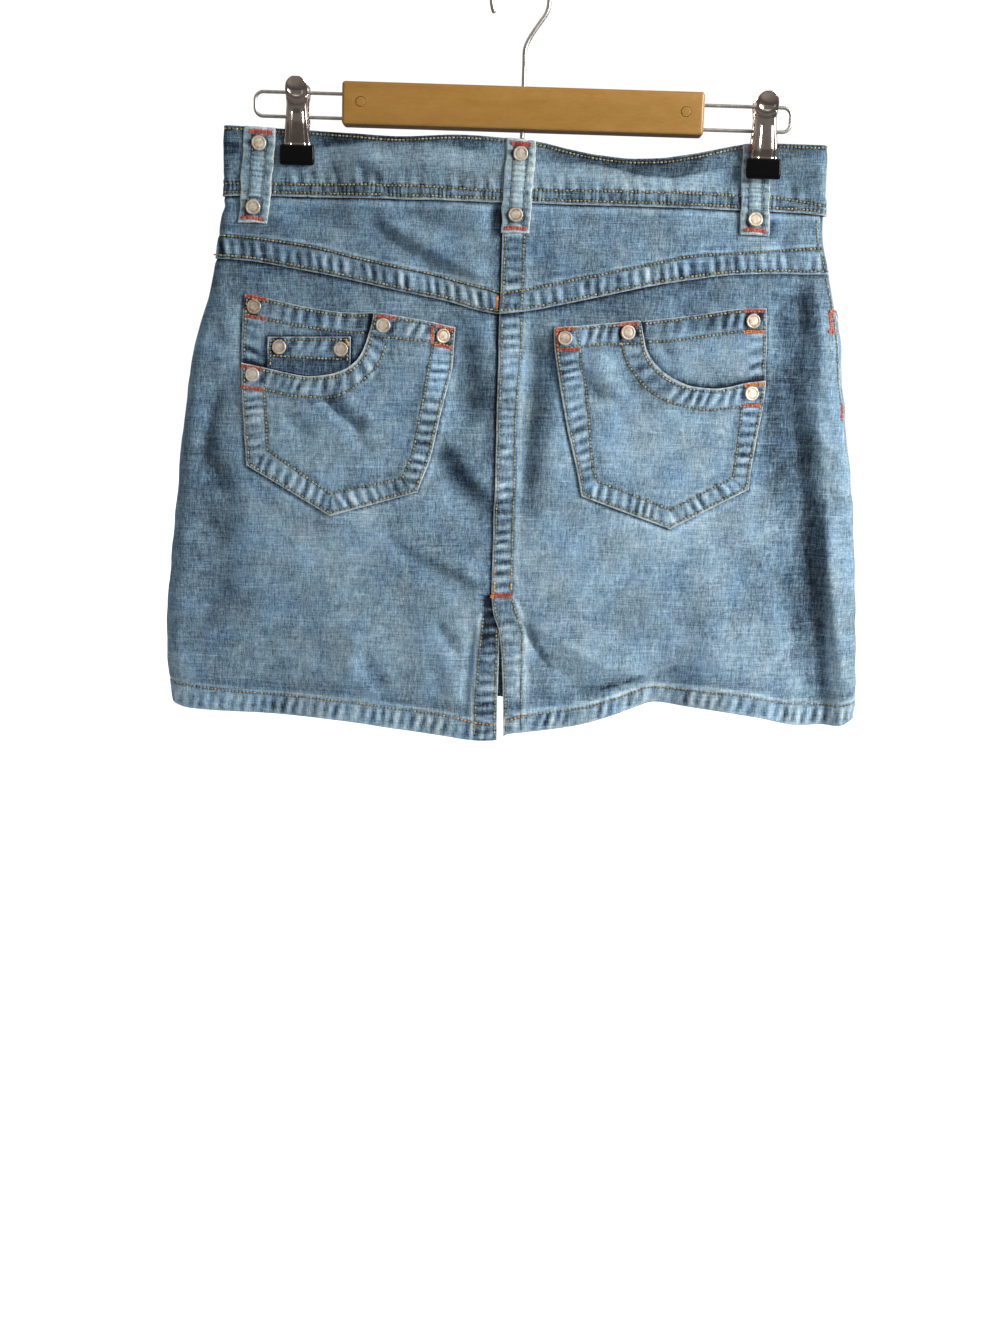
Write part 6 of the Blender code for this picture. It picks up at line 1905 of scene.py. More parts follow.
def row(group, line, pieces, thick=0.44, start=0.0, stop=None, seed=1, gap=0.22, material=None):
    """A row of stitches along a line, on whichever of the pieces stands highest."""
    stop = line.t[-1] if stop is None else stop
    pitch = line.pitch
    t = (np.arange(math.ceil(start / pitch), math.floor(stop / pitch)) + 0.5) * pitch
    p = line.at(t)
    # Round the side folds, a row ends at the side seam.
    middle, _, _, quarter = ring(p[:, 1])
    over = (p[:, 0] - middle) / quarter
    if "waist" in group:
        high, low = 1 + 0.5 / quarter, -1 - 4.5 / quarter
    elif "yoke" in group:
        high, low = 1 - 7.2 / quarter, -1 + 2.0 / quarter
    elif line.side == "back":
        high, low = 1 - 7.2 / quarter, -1 - 4.5 / quarter
    elif pieces[0].startswith("waistband"):
        high, low = 1 - 3.4 / quarter, -1 + 7.5 / quarter
    else:
        high, low = 1 + 4.5 / quarter, -1 + 7.5 / quarter
    silhouette = np.abs(np.abs(over) - 1) * quarter < 2.5
    t = t[(over < high) & (over > low) & ~silhouette]
    count = len(t)
    t = t + 0.05 * hashed(np.arange(count) * 1.0, seed) * pitch
    ends = []
    for off in (-0.5 * (1 - gap), 0.0, 0.5 * (1 - gap)):
        p = line.at(t + off * pitch)
        out = np.max([outer(piece, line.side, p[:, 0], p[:, 1]) for piece in pieces], 0)
        ends.append(on_cloth(line.side, p[:, 0], p[:, 1], out))
    (a, _), (m, n), (b, _) = ends
    THREADS.setdefault(group, []).append((a, m, b, n, np.full(count, thick), 0.5 + 0.36 * hashed(np.arange(count) * 1.7, seed + 2), material or TAN))


def tack(group, side, x0, z0, x1, z1, width, pieces, material, seed=1, thick=0.30, every=0.62, zigzag=0.25):
    """A bar tack: a few long threads, and short ones close together across them."""
    length = math.hypot(x1 - x0, z1 - z0)
    way = np.array([x1 - x0, z1 - z0]) / length
    normal = np.array([-way[1], way[0]])

    def lay(middle, half, size, tint):
        ends = []
        for off in (-1.0, 0.0, 1.0):
            p = middle + off * half
            out = np.max([outer(piece, side, p[:, 0], p[:, 1]) for piece in pieces], 0) + 0.10
            ends.append(on_cloth(side, p[:, 0], p[:, 1], out))
        (a, _), (m, n), (b, _) = ends
        THREADS.setdefault(group, []).append((a, m, b, n, np.full(len(middle), size), tint, material))

    count = max(3, int(length / every))
    i = np.arange(count) * 1.0
    s = (i + 0.5 + 0.28 * hashed(i, seed)) / count
    middle = np.array([x0, z0]) + s[:, None] * length * way + 0.16 * hashed(i, seed + 1)[:, None] * normal
    lean = zigzag * np.where(i % 2, 1.0, -1.0) + 0.12 * hashed(i, seed + 2)
    half = 0.5 * (1.22 * width * (1 + 0.16 * hashed(i * 2.3, seed + 5))[:, None] * normal + lean[:, None] * way)
    keep = hashed(i * 1.3, seed + 4) > -0.86
    lay(middle[keep], half[keep], thick, (0.5 + 0.42 * hashed(i * 3.1, seed + 7))[keep])
    # The long threads under them show at both sides of the bar.
    count = max(2, int(length / 3.6))
    i = np.arange(count) * 1.0
    for sign in (-1, 1):
        s = (i + 0.5) / count
        middle = np.array([x0, z0]) + s[:, None] * length * way + (sign * 0.33 * width + 0.12 * hashed(i, seed + 8 + sign))[:, None] * normal
        half = np.repeat((0.48 * length / count * way)[None], count, 0) + 0.10 * hashed(i, seed + 11 + sign)[:, None] * normal
        lay(middle, half, 0.9 * thick, 0.6 + 0.35 * hashed(i * 1.9, seed + 13 + sign))


def make_threads():
    """Each stitch is a short bent thread whose ends dive into the cloth."""
    made = []
    sides = 5
    turn = np.arange(sides) * 2 * PI / sides
    for group, parts in THREADS.items():
        by_material = {}
        for part in parts:
            by_material.setdefault(part[6].name, []).append(part)
        for material_name, same in by_material.items():
            a, m, b, n, thick, tint = (np.concatenate([part[i] for part in same]) for i in range(6))
            along = b - a
            length = np.linalg.norm(along, axis=1, keepdims=True)
            along = along / length
            n = n - (n * along).sum(1, keepdims=True) * along
            n /= np.linalg.norm(n, axis=1, keepdims=True)
            across = np.cross(along, n)
            rings = []
            for s, rise, size in ((-0.5, -0.75, 0.62), (-0.38, 0.25, 0.95), (0.0, 0.62, 1.0), (0.38, 0.25, 0.95), (0.5, -0.75, 0.62)):
                k = np.array(s)
                base = np.where(k < 0, 1, 0) * (m + (a - m) * min(1.0, -s * 2)) + np.where(k >= 0, 1, 0) * (m + (b - m) * min(1.0, s * 2))
                middle = base + n * (rise * thick)[:, None]
                ring_points = (middle[:, None] + thick[:, None, None] * size * (
                    np.cos(turn)[None, :, None] * across[:, None] * 1.15 + np.sin(turn)[None, :, None] * n[:, None] * 0.85))
                rings.append(ring_points)
            points = np.stack(rings, 1)  # stitches, rings, sides, 3
            count, nr = points.shape[0], points.shape[1]
            base = (np.arange(count) * nr * sides)[:, None, None]
            i = np.arange(nr - 1)[None, :, None] * sides
            j = np.arange(sides)[None, None, :]
            k = (j + 1) % sides
            quads = np.stack([base + i + j, base + i + k, base + i + sides + k, base + i + sides + j], -1).reshape(-1, 4)
            flat = points.reshape(-1, 3)
            q = quads[0]
            centre = flat[:nr * sides].mean(0)
            nn = np.cross(flat[q[1]] - flat[q[0]], flat[q[3]] - flat[q[0]])
            if nn @ (flat[q[0]] - points[0, 0].mean(0)) < 0:
                quads = quads[:, ::-1]
            grain = flat * MM
            obj = new_object(f"{group}_{material_name}", flat, quads, bpy.data.materials[material_name], {
                "grain": grain, "tint": np.repeat(tint, nr * sides)})
            made.append(obj)
    return made


def lay_stitches():
    yokes = ["back_yoke_left", "back_yoke_right"]
    L = LINES
    row("stitches_waist", L["band_top"], ["waistband_back"], seed=11)
    row("stitches_waist", L["band_up"], ["waistband_back"], seed=12)
    row("stitches_waist", L["band_low"], ["waistband_back"], seed=13)
    row("stitches_yoke", L["yoke_up"], yokes, start=3.0, seed=14)
    row("stitches_yoke", L["yoke_low"], yokes, start=3.0, seed=15)
    for name in ("centre_low", "centre_up"):
        line = L[name]
        zs = line.p[:, 1]
        # Over the yoke, then over the panel, with the foot in gold.
        t_yoke = np.interp(208.0, -zs, line.t)
        t_gold = np.interp(366.0, -zs, line.t)
        row("stitches_centre", line, ["back_yoke_right"], stop=t_yoke - 2.0, seed=16)
        row("stitches_centre", line, ["back_panel_right"], start=t_yoke + 1.2, stop=t_gold, seed=17)
        # Just above the bartack it is sewn over again, close and thick.
        t_thick = np.interp(376.5, -zs, line.t)
        row("stitches_centre", line, ["back_panel_right"], start=t_gold, stop=t_thick, seed=18, material=GOLD)
        row("stitches_centre", line, ["back_panel_right"], start=t_thick, seed=18, material=GOLD, thick=0.62, gap=0.08)
    row("stitches_vent", L["vent_right_low"], ["back_panel_right"], seed=19)
    row("stitches_vent", L["vent_right_up"], ["back_panel_right"], seed=20)
    row("stitches_vent", L["vent_left_low"], ["back_panel_left"], seed=21)
    row("stitches_vent", L["vent_left_up"], ["back_panel_left"], seed=22)
    left, right = L["hem_left"], L["hem_right"]
    t = np.interp(-34.0, left.p[:, 0], left.t)
    row("stitches_hem", left, ["back_panel_left"], stop=t, seed=23)
    row("stitches_hem", left, ["back_panel_left"], start=t, seed=24, material=GOLD)
    t = np.interp(20.0, right.p[:, 0], right.t)
    row("stitches_hem", right, ["back_panel_right"], stop=t, seed=25, material=GOLD)
    row("stitches_hem", right, ["back_panel_right"], start=t, seed=26)
    for which in ("left", "right"):
        pocket, facing = f"back_pocket_{which}", f"pocket_facing_{which}"
        for k, name in enumerate(("edge_row", "lead_row", "inner", "scoop", "top_low")):
            row("stitches_pockets", L[f"pocket_{which}_{name}"], [pocket], start=1.0, seed=27 + k)
        row("stitches_pockets", L[f"pocket_{which}_top"], [facing], seed=33)
        row("stitches_pockets", L[f"facing_{which}_edge"], [facing], seed=34)
        row("stitches_pockets", L[f"facing_{which}_side"], [facing], seed=35)
    row("stitches_pockets", L["tab_edge"], ["coin_pocket"], seed=36)
    row("stitches_pockets", L["tab_low"], ["coin_pocket"], seed=37)
    for name in LOOPS:
        for k in (0, 1):
            row("stitches_loops", L[f"{name}_{k}"], [name], seed=38 + k, material=SLATE, thick=0.34)
    # The side seams' topstitching, from the waistband to the hips.
    L["side_right_up"].pitch = L["side_right_low"].pitch = 2.4
    row("stitches_side", L["side_right_up"], ["back_yoke_right"], seed=41)
    row("stitches_side", L["side_right_low"], ["back_panel_right"], seed=42)
    row("stitches_side", L["side_left_low"], ["front_panel_left"], seed=43)
    # The front.
    for which in ("left", "right"):
        band = f"waistband_front_{which}"
        for k, name in enumerate(("fband_low", "fband_up", "fband_top")):
            line = L[name]
            if which == "left":
                stop = np.interp(FRONT_OVERLAP - 2.0, line.p[:, 0], line.t)
                row("stitches_front", line, [band], start=3.0, stop=stop, seed=44 + k)
            else:
                start = np.interp(FRONT_OVERLAP + 1.5, line.p[:, 0], line.t)
                row("stitches_front", line, [band], start=start, stop=line.t[-1] - 3.0, seed=47 + k)
        for k, name in enumerate((f"mouth_{which}_low", f"mouth_{which}_up")):
            row("stitches_front", L[name], [f"front_panel_{which}"], start=3.0, seed=50 + k)
        hem = L["hem_front"]
        middle = np.interp(0.0, hem.p[:, 0], hem.t)
        row("stitches_front", hem, [f"front_panel_{which}"], start=0 if which == "left" else middle, stop=middle if which == "left" else None, seed=52)
    for k, name in enumerate(("fly_inner", "fly_outer", "centre_front", "centre_front_up")):
        row("stitches_front", L[name], ["front_panel_left"], seed=54 + k)
    row("stitches_front", L["fband_end"], ["waistband_front_left"], seed=59)


def lay_tacks():
    for name, (side, x_top, x_foot, w_top, w_foot, z_foot) in LOOPS.items():
        z_top = float(top_of[side](x_top))
        tack("tacks", side, x_top - w_top / 2 + 3.0, z_top - 3.0, x_top + w_top / 2 - 2.2, z_top - 3.3, 2.3, [name], RED, seed=61)
        tack("tacks", side, x_foot - w_foot / 2 + 2.2, z_foot + 3.0, x_foot + w_foot / 2 - 2.2, z_foot + 2.6, 2.3, [name], RED, seed=62)
    pl, fl = ["back_pocket_left"], ["pocket_facing_left"]
    pr, fr = ["back_pocket_right"], ["pocket_facing_right"]
    P = "back"
    tack("tacks", P, -173.2, -201.6, -158.6, -203.8, 1.9, fl, RED, seed=63)
    tack("tacks", P, -173.6, -213.8, -159.0, -216.0, 1.9, fl, RED, seed=64)
    tack("tacks", P, -175.0, -245.6, -161.0, -247.4, 2.0, pl, RED, seed=65)
    tack("tacks", P, -174.8, -258.8, -159.6, -260.6, 1.9, pl, RED, seed=66)
    tack("tacks", P, -89.0, -212.0, -75.6, -213.4, 2.0, pl, RED, seed=67)
    tack("tacks", P, -52.0, -216.4, -39.0, -218.2, 2.0, pl, RED, seed=68)
    tack("tacks", P, -53.2, -229.0, -40.0, -230.6, 2.0, pl, RED, seed=69)
    tack("tacks", P, -53.6, -217.6, -53.8, -228.6, 1.6, pl, RED, seed=70)
    tack("tacks", P, 25.2, -217.4, 38.0, -216.6, 2.0, pr, RED, seed=71)
    tack("tacks", P, 26.6, -229.8, 39.4, -228.8, 2.0, pr, RED, seed=72)
    tack("tacks", P, 26.0, -218.6, 27.2, -229.0, 1.6, pr, RED, seed=73)
    tack("tacks", P, 64.6, -213.0, 77.6, -211.8, 2.0, pr, RED, seed=74)
    tack("tacks", P, 144.0, -201.8, 157.8, -201.0, 1.9, fr, RED, seed=75)
    tack("tacks", P, 144.8, -214.6, 158.2, -214.0, 2.0, fr, ORANGE, seed=76)
    tack("tacks", P, 146.4, -248.2, 159.6, -246.4, 2.0, pr, ORANGE, seed=77)
    tack("tacks", P, 145.8, -261.0, 158.0, -260.0, 1.9, pr, RED, seed=78)
    for off in (0.0, 1.7):
        tack("tacks", P, -10.4, -387.2 + off, 3.4, -387.0 + off, 1.2, ["back_panel_right"], RED, seed=79 + off)
    tack("tacks", P, -10.4, -388.2, -9.2, -384.6, 1.8, ["back_panel_right"], GOLD, seed=90)
    tack("tacks", P, -12.4, -197.0, -12.2, -205.0, 1.4, ["back_yoke_left"], ORANGE, seed=80)
    tack("tacks", P, -107.4, -225.4 - 1.6, -105.6, -231.0, 1.2, ["coin_pocket"], GOLD, seed=81)
    # The front pocket's mouth, at the right side seam, and where the side's topstitching ends.
    for z0 in (-199.6, -212.4):
        x = float(x_of("back", 200.4, z0))
        tack("tacks", P, x - 0.6, z0, x + 5.0, z0 - 0.4, 1.9, ["back_panel_right"], RED, seed=82)
    x = float(x_of("back", 201.6, -206.0))
    tack("tacks", P, x - 1.0, -199.4, x + 1.0, -212.6, 1.9, ["back_panel_right"], RED, seed=83)
    x = float(across_at("back", side_seam("right", -263.0), -263.0)) - 2.2
    tack("tacks", P, x - 0.4, -258.0, x + 0.6, -268.0, 2.0, ["back_panel_right"], RED, seed=84)
    for which in ("left", "right"):
        line = LINES[f"mouth_{which}_up"]
        p = line.p[-1]
        q = line.p[6]
        sign = -1 if which == "left" else 1
        tack("tacks", "front", p[0] - 5 * sign, p[1] + 6.5, p[0] - 5 * sign, p[1] - 1.5, 2.0, [f"front_panel_{which}"], RED, seed=85)
        tack("tacks", "front", q[0] - 2, q[1] - 2, q[0] + 6 * sign, q[1] - 3, 2.0, [f"front_panel_{which}"], RED, seed=86)
    tack("tacks", "front", -10.0, -296.6, 0.0, -300.0, 2.0, ["front_panel_left"], RED, seed=87)
    tack("tacks", "front", -36.6, -242.0, -35.4, -252.0, 2.0, ["front_panel_left"], RED, seed=88)


# ------------------------------------------------------------------ metal on the cloth
def turned(profile, segments):
    """A turned form round +Z: points and faces, from rows of radius and height."""
    profile = np.array(profile, float)
    turn = np.arange(segments) * 2 * PI / segments
    points = np.stack([profile[:, None, 0] * np.cos(turn), profile[:, None, 0] * np.sin(turn),
                       np.repeat(profile[:, None, 1], segments, 1)], -1).reshape(-1, 3)
    i = np.arange(len(profile) - 1)[:, None] * segments
    j = np.arange(segments)[None]
    k = (j + 1) % segments
    faces = np.stack([i + j, i + segments + j, i + segments + k, i + k], -1).reshape(-1, 4)
    return points, faces


def rivet_profile(scale=1.0):
    """From the middle out: a flat face, a shallow ring and the rounded rim."""
    rows = [(0.02, 0.83), (0.9, 0.83), (1.8, 0.815), (2.4, 0.79), (2.75, 0.755), (2.95, 0.715), (3.1, 0.70), (3.25, 0.71),
            (3.45, 0.76), (3.75, 0.82), (4.0, 0.85), (4.22, 0.83), (4.42, 0.74), (4.58, 0.58), (4.66, 0.40), (4.64, 0.15),
            (4.5, -0.3), (4.0, -0.5), (0.02, -0.5)]
    return [(r * scale, h * scale) for r, h in rows]


def set_frame(side, x, z, out):
    at, normal = on_cloth(side, np.array([x]), np.array([z]), np.array([out]))
    at, normal = at[0], normal[0]
    right = np.cross((0, 0, 1), normal)
    right /= np.linalg.norm(right)
    return at, np.stack([right, np.cross(normal, right), normal], 0)


def make_rivets():
    made = []
    for k, (name, (side, x, z, under)) in enumerate(RIVETS.items()):
        points, faces = turned(rivet_profile(), 40)
        # Each one sits a little differently.
        lean = 0.03 * hashed(np.array([k * 1.0, k + 0.5]), 5)
        points[:, 2] += points[:, 0] * lean[0] + points[:, 1] * lean[1]
        out = float(outer(under, side, x, z)[0])
        at, axes = set_frame(side, x, z, out + 0.10)
        radius = np.hypot(points[:, 0], points[:, 1])
        tint = -0.55 * hill(radius - 3.1, 0.45) - 0.35 * hill(radius - 4.6, 0.4) + 0.3 * hashed(np.array([k * 1.0]), 9)[0]
        grain = points * MM + np.array([k * 0.31, 0, 0])
        made.append(new_object(f"trim_{name}", points @ axes + at, faces, RIVET_METAL,
                               {"grain": grain, "tint": tint}, replaces=name))
    # The shank button: a rim, a sunk ring and a plain domed middle.
    profile = [(0.02, 3.05), (1.2, 3.02), (2.4, 2.9), (3.4, 2.66), (4.2, 2.5), (5.0, 2.5), (5.6, 2.62), (6.1, 2.95),
               (6.7, 3.2), (7.4, 3.22), (8.0, 3.0), (8.4, 2.6), (8.5, 2.1), (8.3, 1.7), (7.6, 1.5), (4.2, 1.35),
               (3.7, 1.0), (3.5, 0.0), (4.6, -0.2), (4.6, -0.5), (0.02, -0.5)]
    points, faces = turned(profile, 48)
    out = float(outer("waistband_front_left", "front", 2.0, -139.0)[0])
    at, axes = set_frame("front", 2.0, -139.0, out + 0.3)
    radius = np.hypot(points[:, 0], points[:, 1])
    made.append(new_object("trim_waist_button", points @ axes + at, faces, RIVET_METAL, {
        "grain": points * MM, "tint": 0.3 * np.cos(radius * 1.7)}, replaces="waist_button"))
    return made


# ------------------------------------------------------------------ the hanger
def catmull(points, every):
    p = np.array(points, float)
    q = np.vstack([2 * p[0] - p[1], p, 2 * p[-1] - p[-2]])
    made = []
    for i in range(1, len(q) - 2):
        n = max(1, int(round(np.linalg.norm(q[i + 1] - q[i]) / every)))
        t = np.linspace(0, 1, n, endpoint=False)[:, None]
        made.append(0.5 * (2 * q[i] + (q[i + 1] - q[i - 1]) * t
                           + (2 * q[i - 1] - 5 * q[i] + 4 * q[i + 1] - q[i + 2]) * t ** 2
                           + (3 * q[i] - q[i - 1] - 3 * q[i + 1] + q[i + 2]) * t ** 3))
    return np.vstack([*made, p[-1:]])


def swept(path, radius, sides=16, round_ends=True):
    """A round wire along a path in the XZ plane, its ends rounded off."""
    path = np.array(path, float)
    way = np.gradient(path, axis=0)
    way /= np.linalg.norm(way, axis=1, keepdims=True)
    up = np.array([0.0, 1.0, 0.0])
    across = np.cross(way, up)
    across /= np.linalg.norm(across, axis=1, keepdims=True)
    size = np.full(len(path), float(radius))
    if round_ends:
        extra = []
        for end, sign in ((0, -1), (-1, 1)):
            steps = [(0.30, 0.96), (0.62, 0.80), (0.86, 0.52), (0.99, 0.06)]
            extra.append([(path[end] + sign * way[end] * radius * d, across[end], radius * s) for d, s in steps])
        first, last = extra[0][::-1], extra[1]
        path = np.vstack([[e[0] for e in first], path, [e[0] for e in last]])
        across = np.vstack([[e[1] for e in first], across, [e[1] for e in last]])
        size = np.concatenate([[e[2] for e in first], size, [e[2] for e in last]])
    turn = np.arange(sides) * 2 * PI / sides
    points = (path[:, None] + size[:, None, None] * (np.cos(turn)[None, :, None] * across[:, None] + np.sin(turn)[None, :, None] * up)).reshape(-1, 3)
    i = np.arange(len(path) - 1)[:, None] * sides
    j = np.arange(sides)[None]
    k = (j + 1) % sides
    faces = np.stack([i + j, i + sides + j, i + sides + k, i + k], -1).reshape(-1, 4)
    q = faces[len(faces) // 2]
    n = np.cross(points[q[1]] - points[q[0]], points[q[3]] - points[q[0]])
    if n @ (points[q[0]] - path[len(path) // 2]) < 0:
        faces = faces[:, ::-1]
    return points, faces


def arc(centre, radius, start, end, count, y=0.0):
    return [
        (centre[0] + radius * math.cos(a), y, centre[1] + radius * math.sin(a))
        for a in (math.radians(start + (end - start) * i / count) for i in range(count + 1))
    ]


def modified(name, mesh, modifiers, cutters=()):
    """A mesh through modifiers and cuts, as points and faces of its own."""
    obj = bpy.data.objects.new(name, mesh)
    bpy.context.scene.collection.objects.link(obj)
    for kind, settings in modifiers:
        made = obj.modifiers.new(kind.lower(), kind)
        for key, value in settings.items():
            setattr(made, key, value)
    for cutter in cutters:
        made = obj.modifiers.new("cut", "BOOLEAN")
        made.operation, made.solver, made.object = "DIFFERENCE", "EXACT", cutter
    bpy.context.view_layer.update()
    graph = bpy.context.evaluated_depsgraph_get()
    result = bpy.data.meshes.new_from_object(obj.evaluated_get(graph))
    bpy.data.objects.remove(obj, do_unlink=True)
    for cutter in cutters:
        bpy.data.objects.remove(cutter, do_unlink=True)
    return result


def add_mesh(name, mesh, material, replaces, angle=35):
    mesh.materials.clear()
    mesh.materials.append(material)
    mesh.shade_smooth()
    mesh.set_sharp_from_angle(angle=math.radians(angle))
    obj = bpy.data.objects.new(name, mesh)
    bpy.context.scene.collection.objects.link(obj)
    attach(obj, "root")
    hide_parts(*([replaces] if isinstance(replaces, str) else replaces))
    PIECES.append(obj)
    return obj


def block(name, size, centre):
    mesh = bpy.data.meshes.new(name)
    shape = bmesh.new()
    bmesh.ops.create_cube(shape, size=1.0)
    for vertex in shape.verts:
        vertex.co = Vector([(vertex.co[i] * size[i] + centre[i]) * MM for i in range(3)])
    shape.to_mesh(mesh)
    shape.free()
    return mesh


def round_cutter(radius, depth, centre, axis):
    mesh = bpy.data.meshes.new("cutter")
    shape = bmesh.new()
    bmesh.ops.create_cone(shape, cap_ends=True, segments=36, radius1=radius * MM, radius2=radius * MM, depth=depth * MM)
    shape.to_mesh(mesh)
    shape.free()
    obj = bpy.data.objects.new("cutter", mesh)
    bpy.context.scene.collection.objects.link(obj)
    obj.location = Vector(centre) * MM
    if axis == "Y":
        obj.rotation_euler.x = PI / 2
    return obj


def make_hanger():
    bevel = ("BEVEL", {"width": 2.2 * MM, "segments": 5, "limit_method": "ANGLE"})
    cutters = [round_cutter(HOOK_WIRE_R + 0.35, 2 * BAR_HALF_H + 6, (0, 0, BAR_Z), "Z")]
    for sign in (-1, 1):
        cutters.append(round_cutter(PLUG_R + 0.22, 3.0, (sign * PLUG_X, -BAR_HALF_T, BAR_Z + 0.8), "Y"))
    mesh = modified("bar", block("bar", (2 * BAR_HALF, 2 * BAR_HALF_T, 2 * BAR_HALF_H), (0, 0, BAR_Z)), [bevel], cutters)
    add_mesh("bar", mesh, WOOD, "hanger_bar")
    for which, sign in (("left", -1), ("right", 1)):
        profile = [(0.02, 0.0), (2.2, 0.0), (2.75, -0.04), (2.95, -0.16), (3.0, -0.5), (3.0, -1.3), (0.02, -1.3)]
        points, faces = turned(profile, 36)
        axes = np.array([[1.0, 0, 0], [0, 0, 1.0], [0, -1.0, 0]])
        at = np.array([sign * PLUG_X, -BAR_HALF_T + 0.05, BAR_Z + 0.8])
        new_object(f"plug_{which}", points @ axes + at, faces, WOOD, replaces=f"bar_plug_{which}")

    neck = ((0.0, -98.4), (0.0, -70.0), (0.0, -54.0), (0.0, -46.5), (0.9, -42.6), (3.0, -38.2), (6.2, -33.2), (9.6, -28.4), (12.0, -25.0))
    path = [(x, 0.0, z) for x, z in neck] + arc((HOOK_X, HOOK_Z), HOOK_R, -20, HOOK_TIP_DEG, 22)
    points, faces = swept(catmull(path, 1.2), HOOK_WIRE_R, 18)
    new_object("hook", points, faces, WIRE, replaces="hanger_hook")
    for which, sign in (("left", -1), ("right", 1)):
        start, bend = BAR_HALF - 1.5, 5.0
        z_top, z_low = BAR_Z + WIRE_RISE - 1.9, BAR_Z - WIRE_RISE - 0.6
        path = [(x, 0.0, z_top) for x in np.linspace(start, WIRE_END - bend - 1.2, 14)]
        path += arc((WIRE_END - bend, z_top - bend), bend, 90, 0, 10)
        path += arc((WIRE_END - bend, z_low + bend), bend, 0, -90, 10)
        path += [(x, 0.0, z_low) for x in np.linspace(WIRE_END - bend - 1.2, start, 14)]
        points, faces = swept([(sign * x, y, z) for x, y, z in path], WIRE_R, 14, round_ends=False)
        new_object(f"wire_{which}", points, faces, WIRE, replaces=f"hanger_wire_{which}")


# A clip's lever, from its thumb end down: height, how far it stands from the
# middle plane, half its width, and how deep its side flanges are.
LEVER = (
    # z,     out,  half, flange
    (-67.4, 12.2, 2.4, 0.7), (-68.9, 11.6, 4.8, 0.8), (-71.4, 10.6, 6.5, 1.0),
    (-74.6, 9.4, 7.0, 1.3), (-78.0, 8.3, 6.7, 2.0), (-81.4, 7.6, 6.6, 2.8),
    (-86.0, 7.1, 6.9, 3.0), (-94.0, 6.6, 7.6, 2.8), (-101.0, 5.6, 8.3, 1.9),
    (-106.2, 4.6, 8.6, 1.0),
)
lever_out, lever_half, lever_flange = (smooth(LEVER, k) for k in (1, 2, 3))


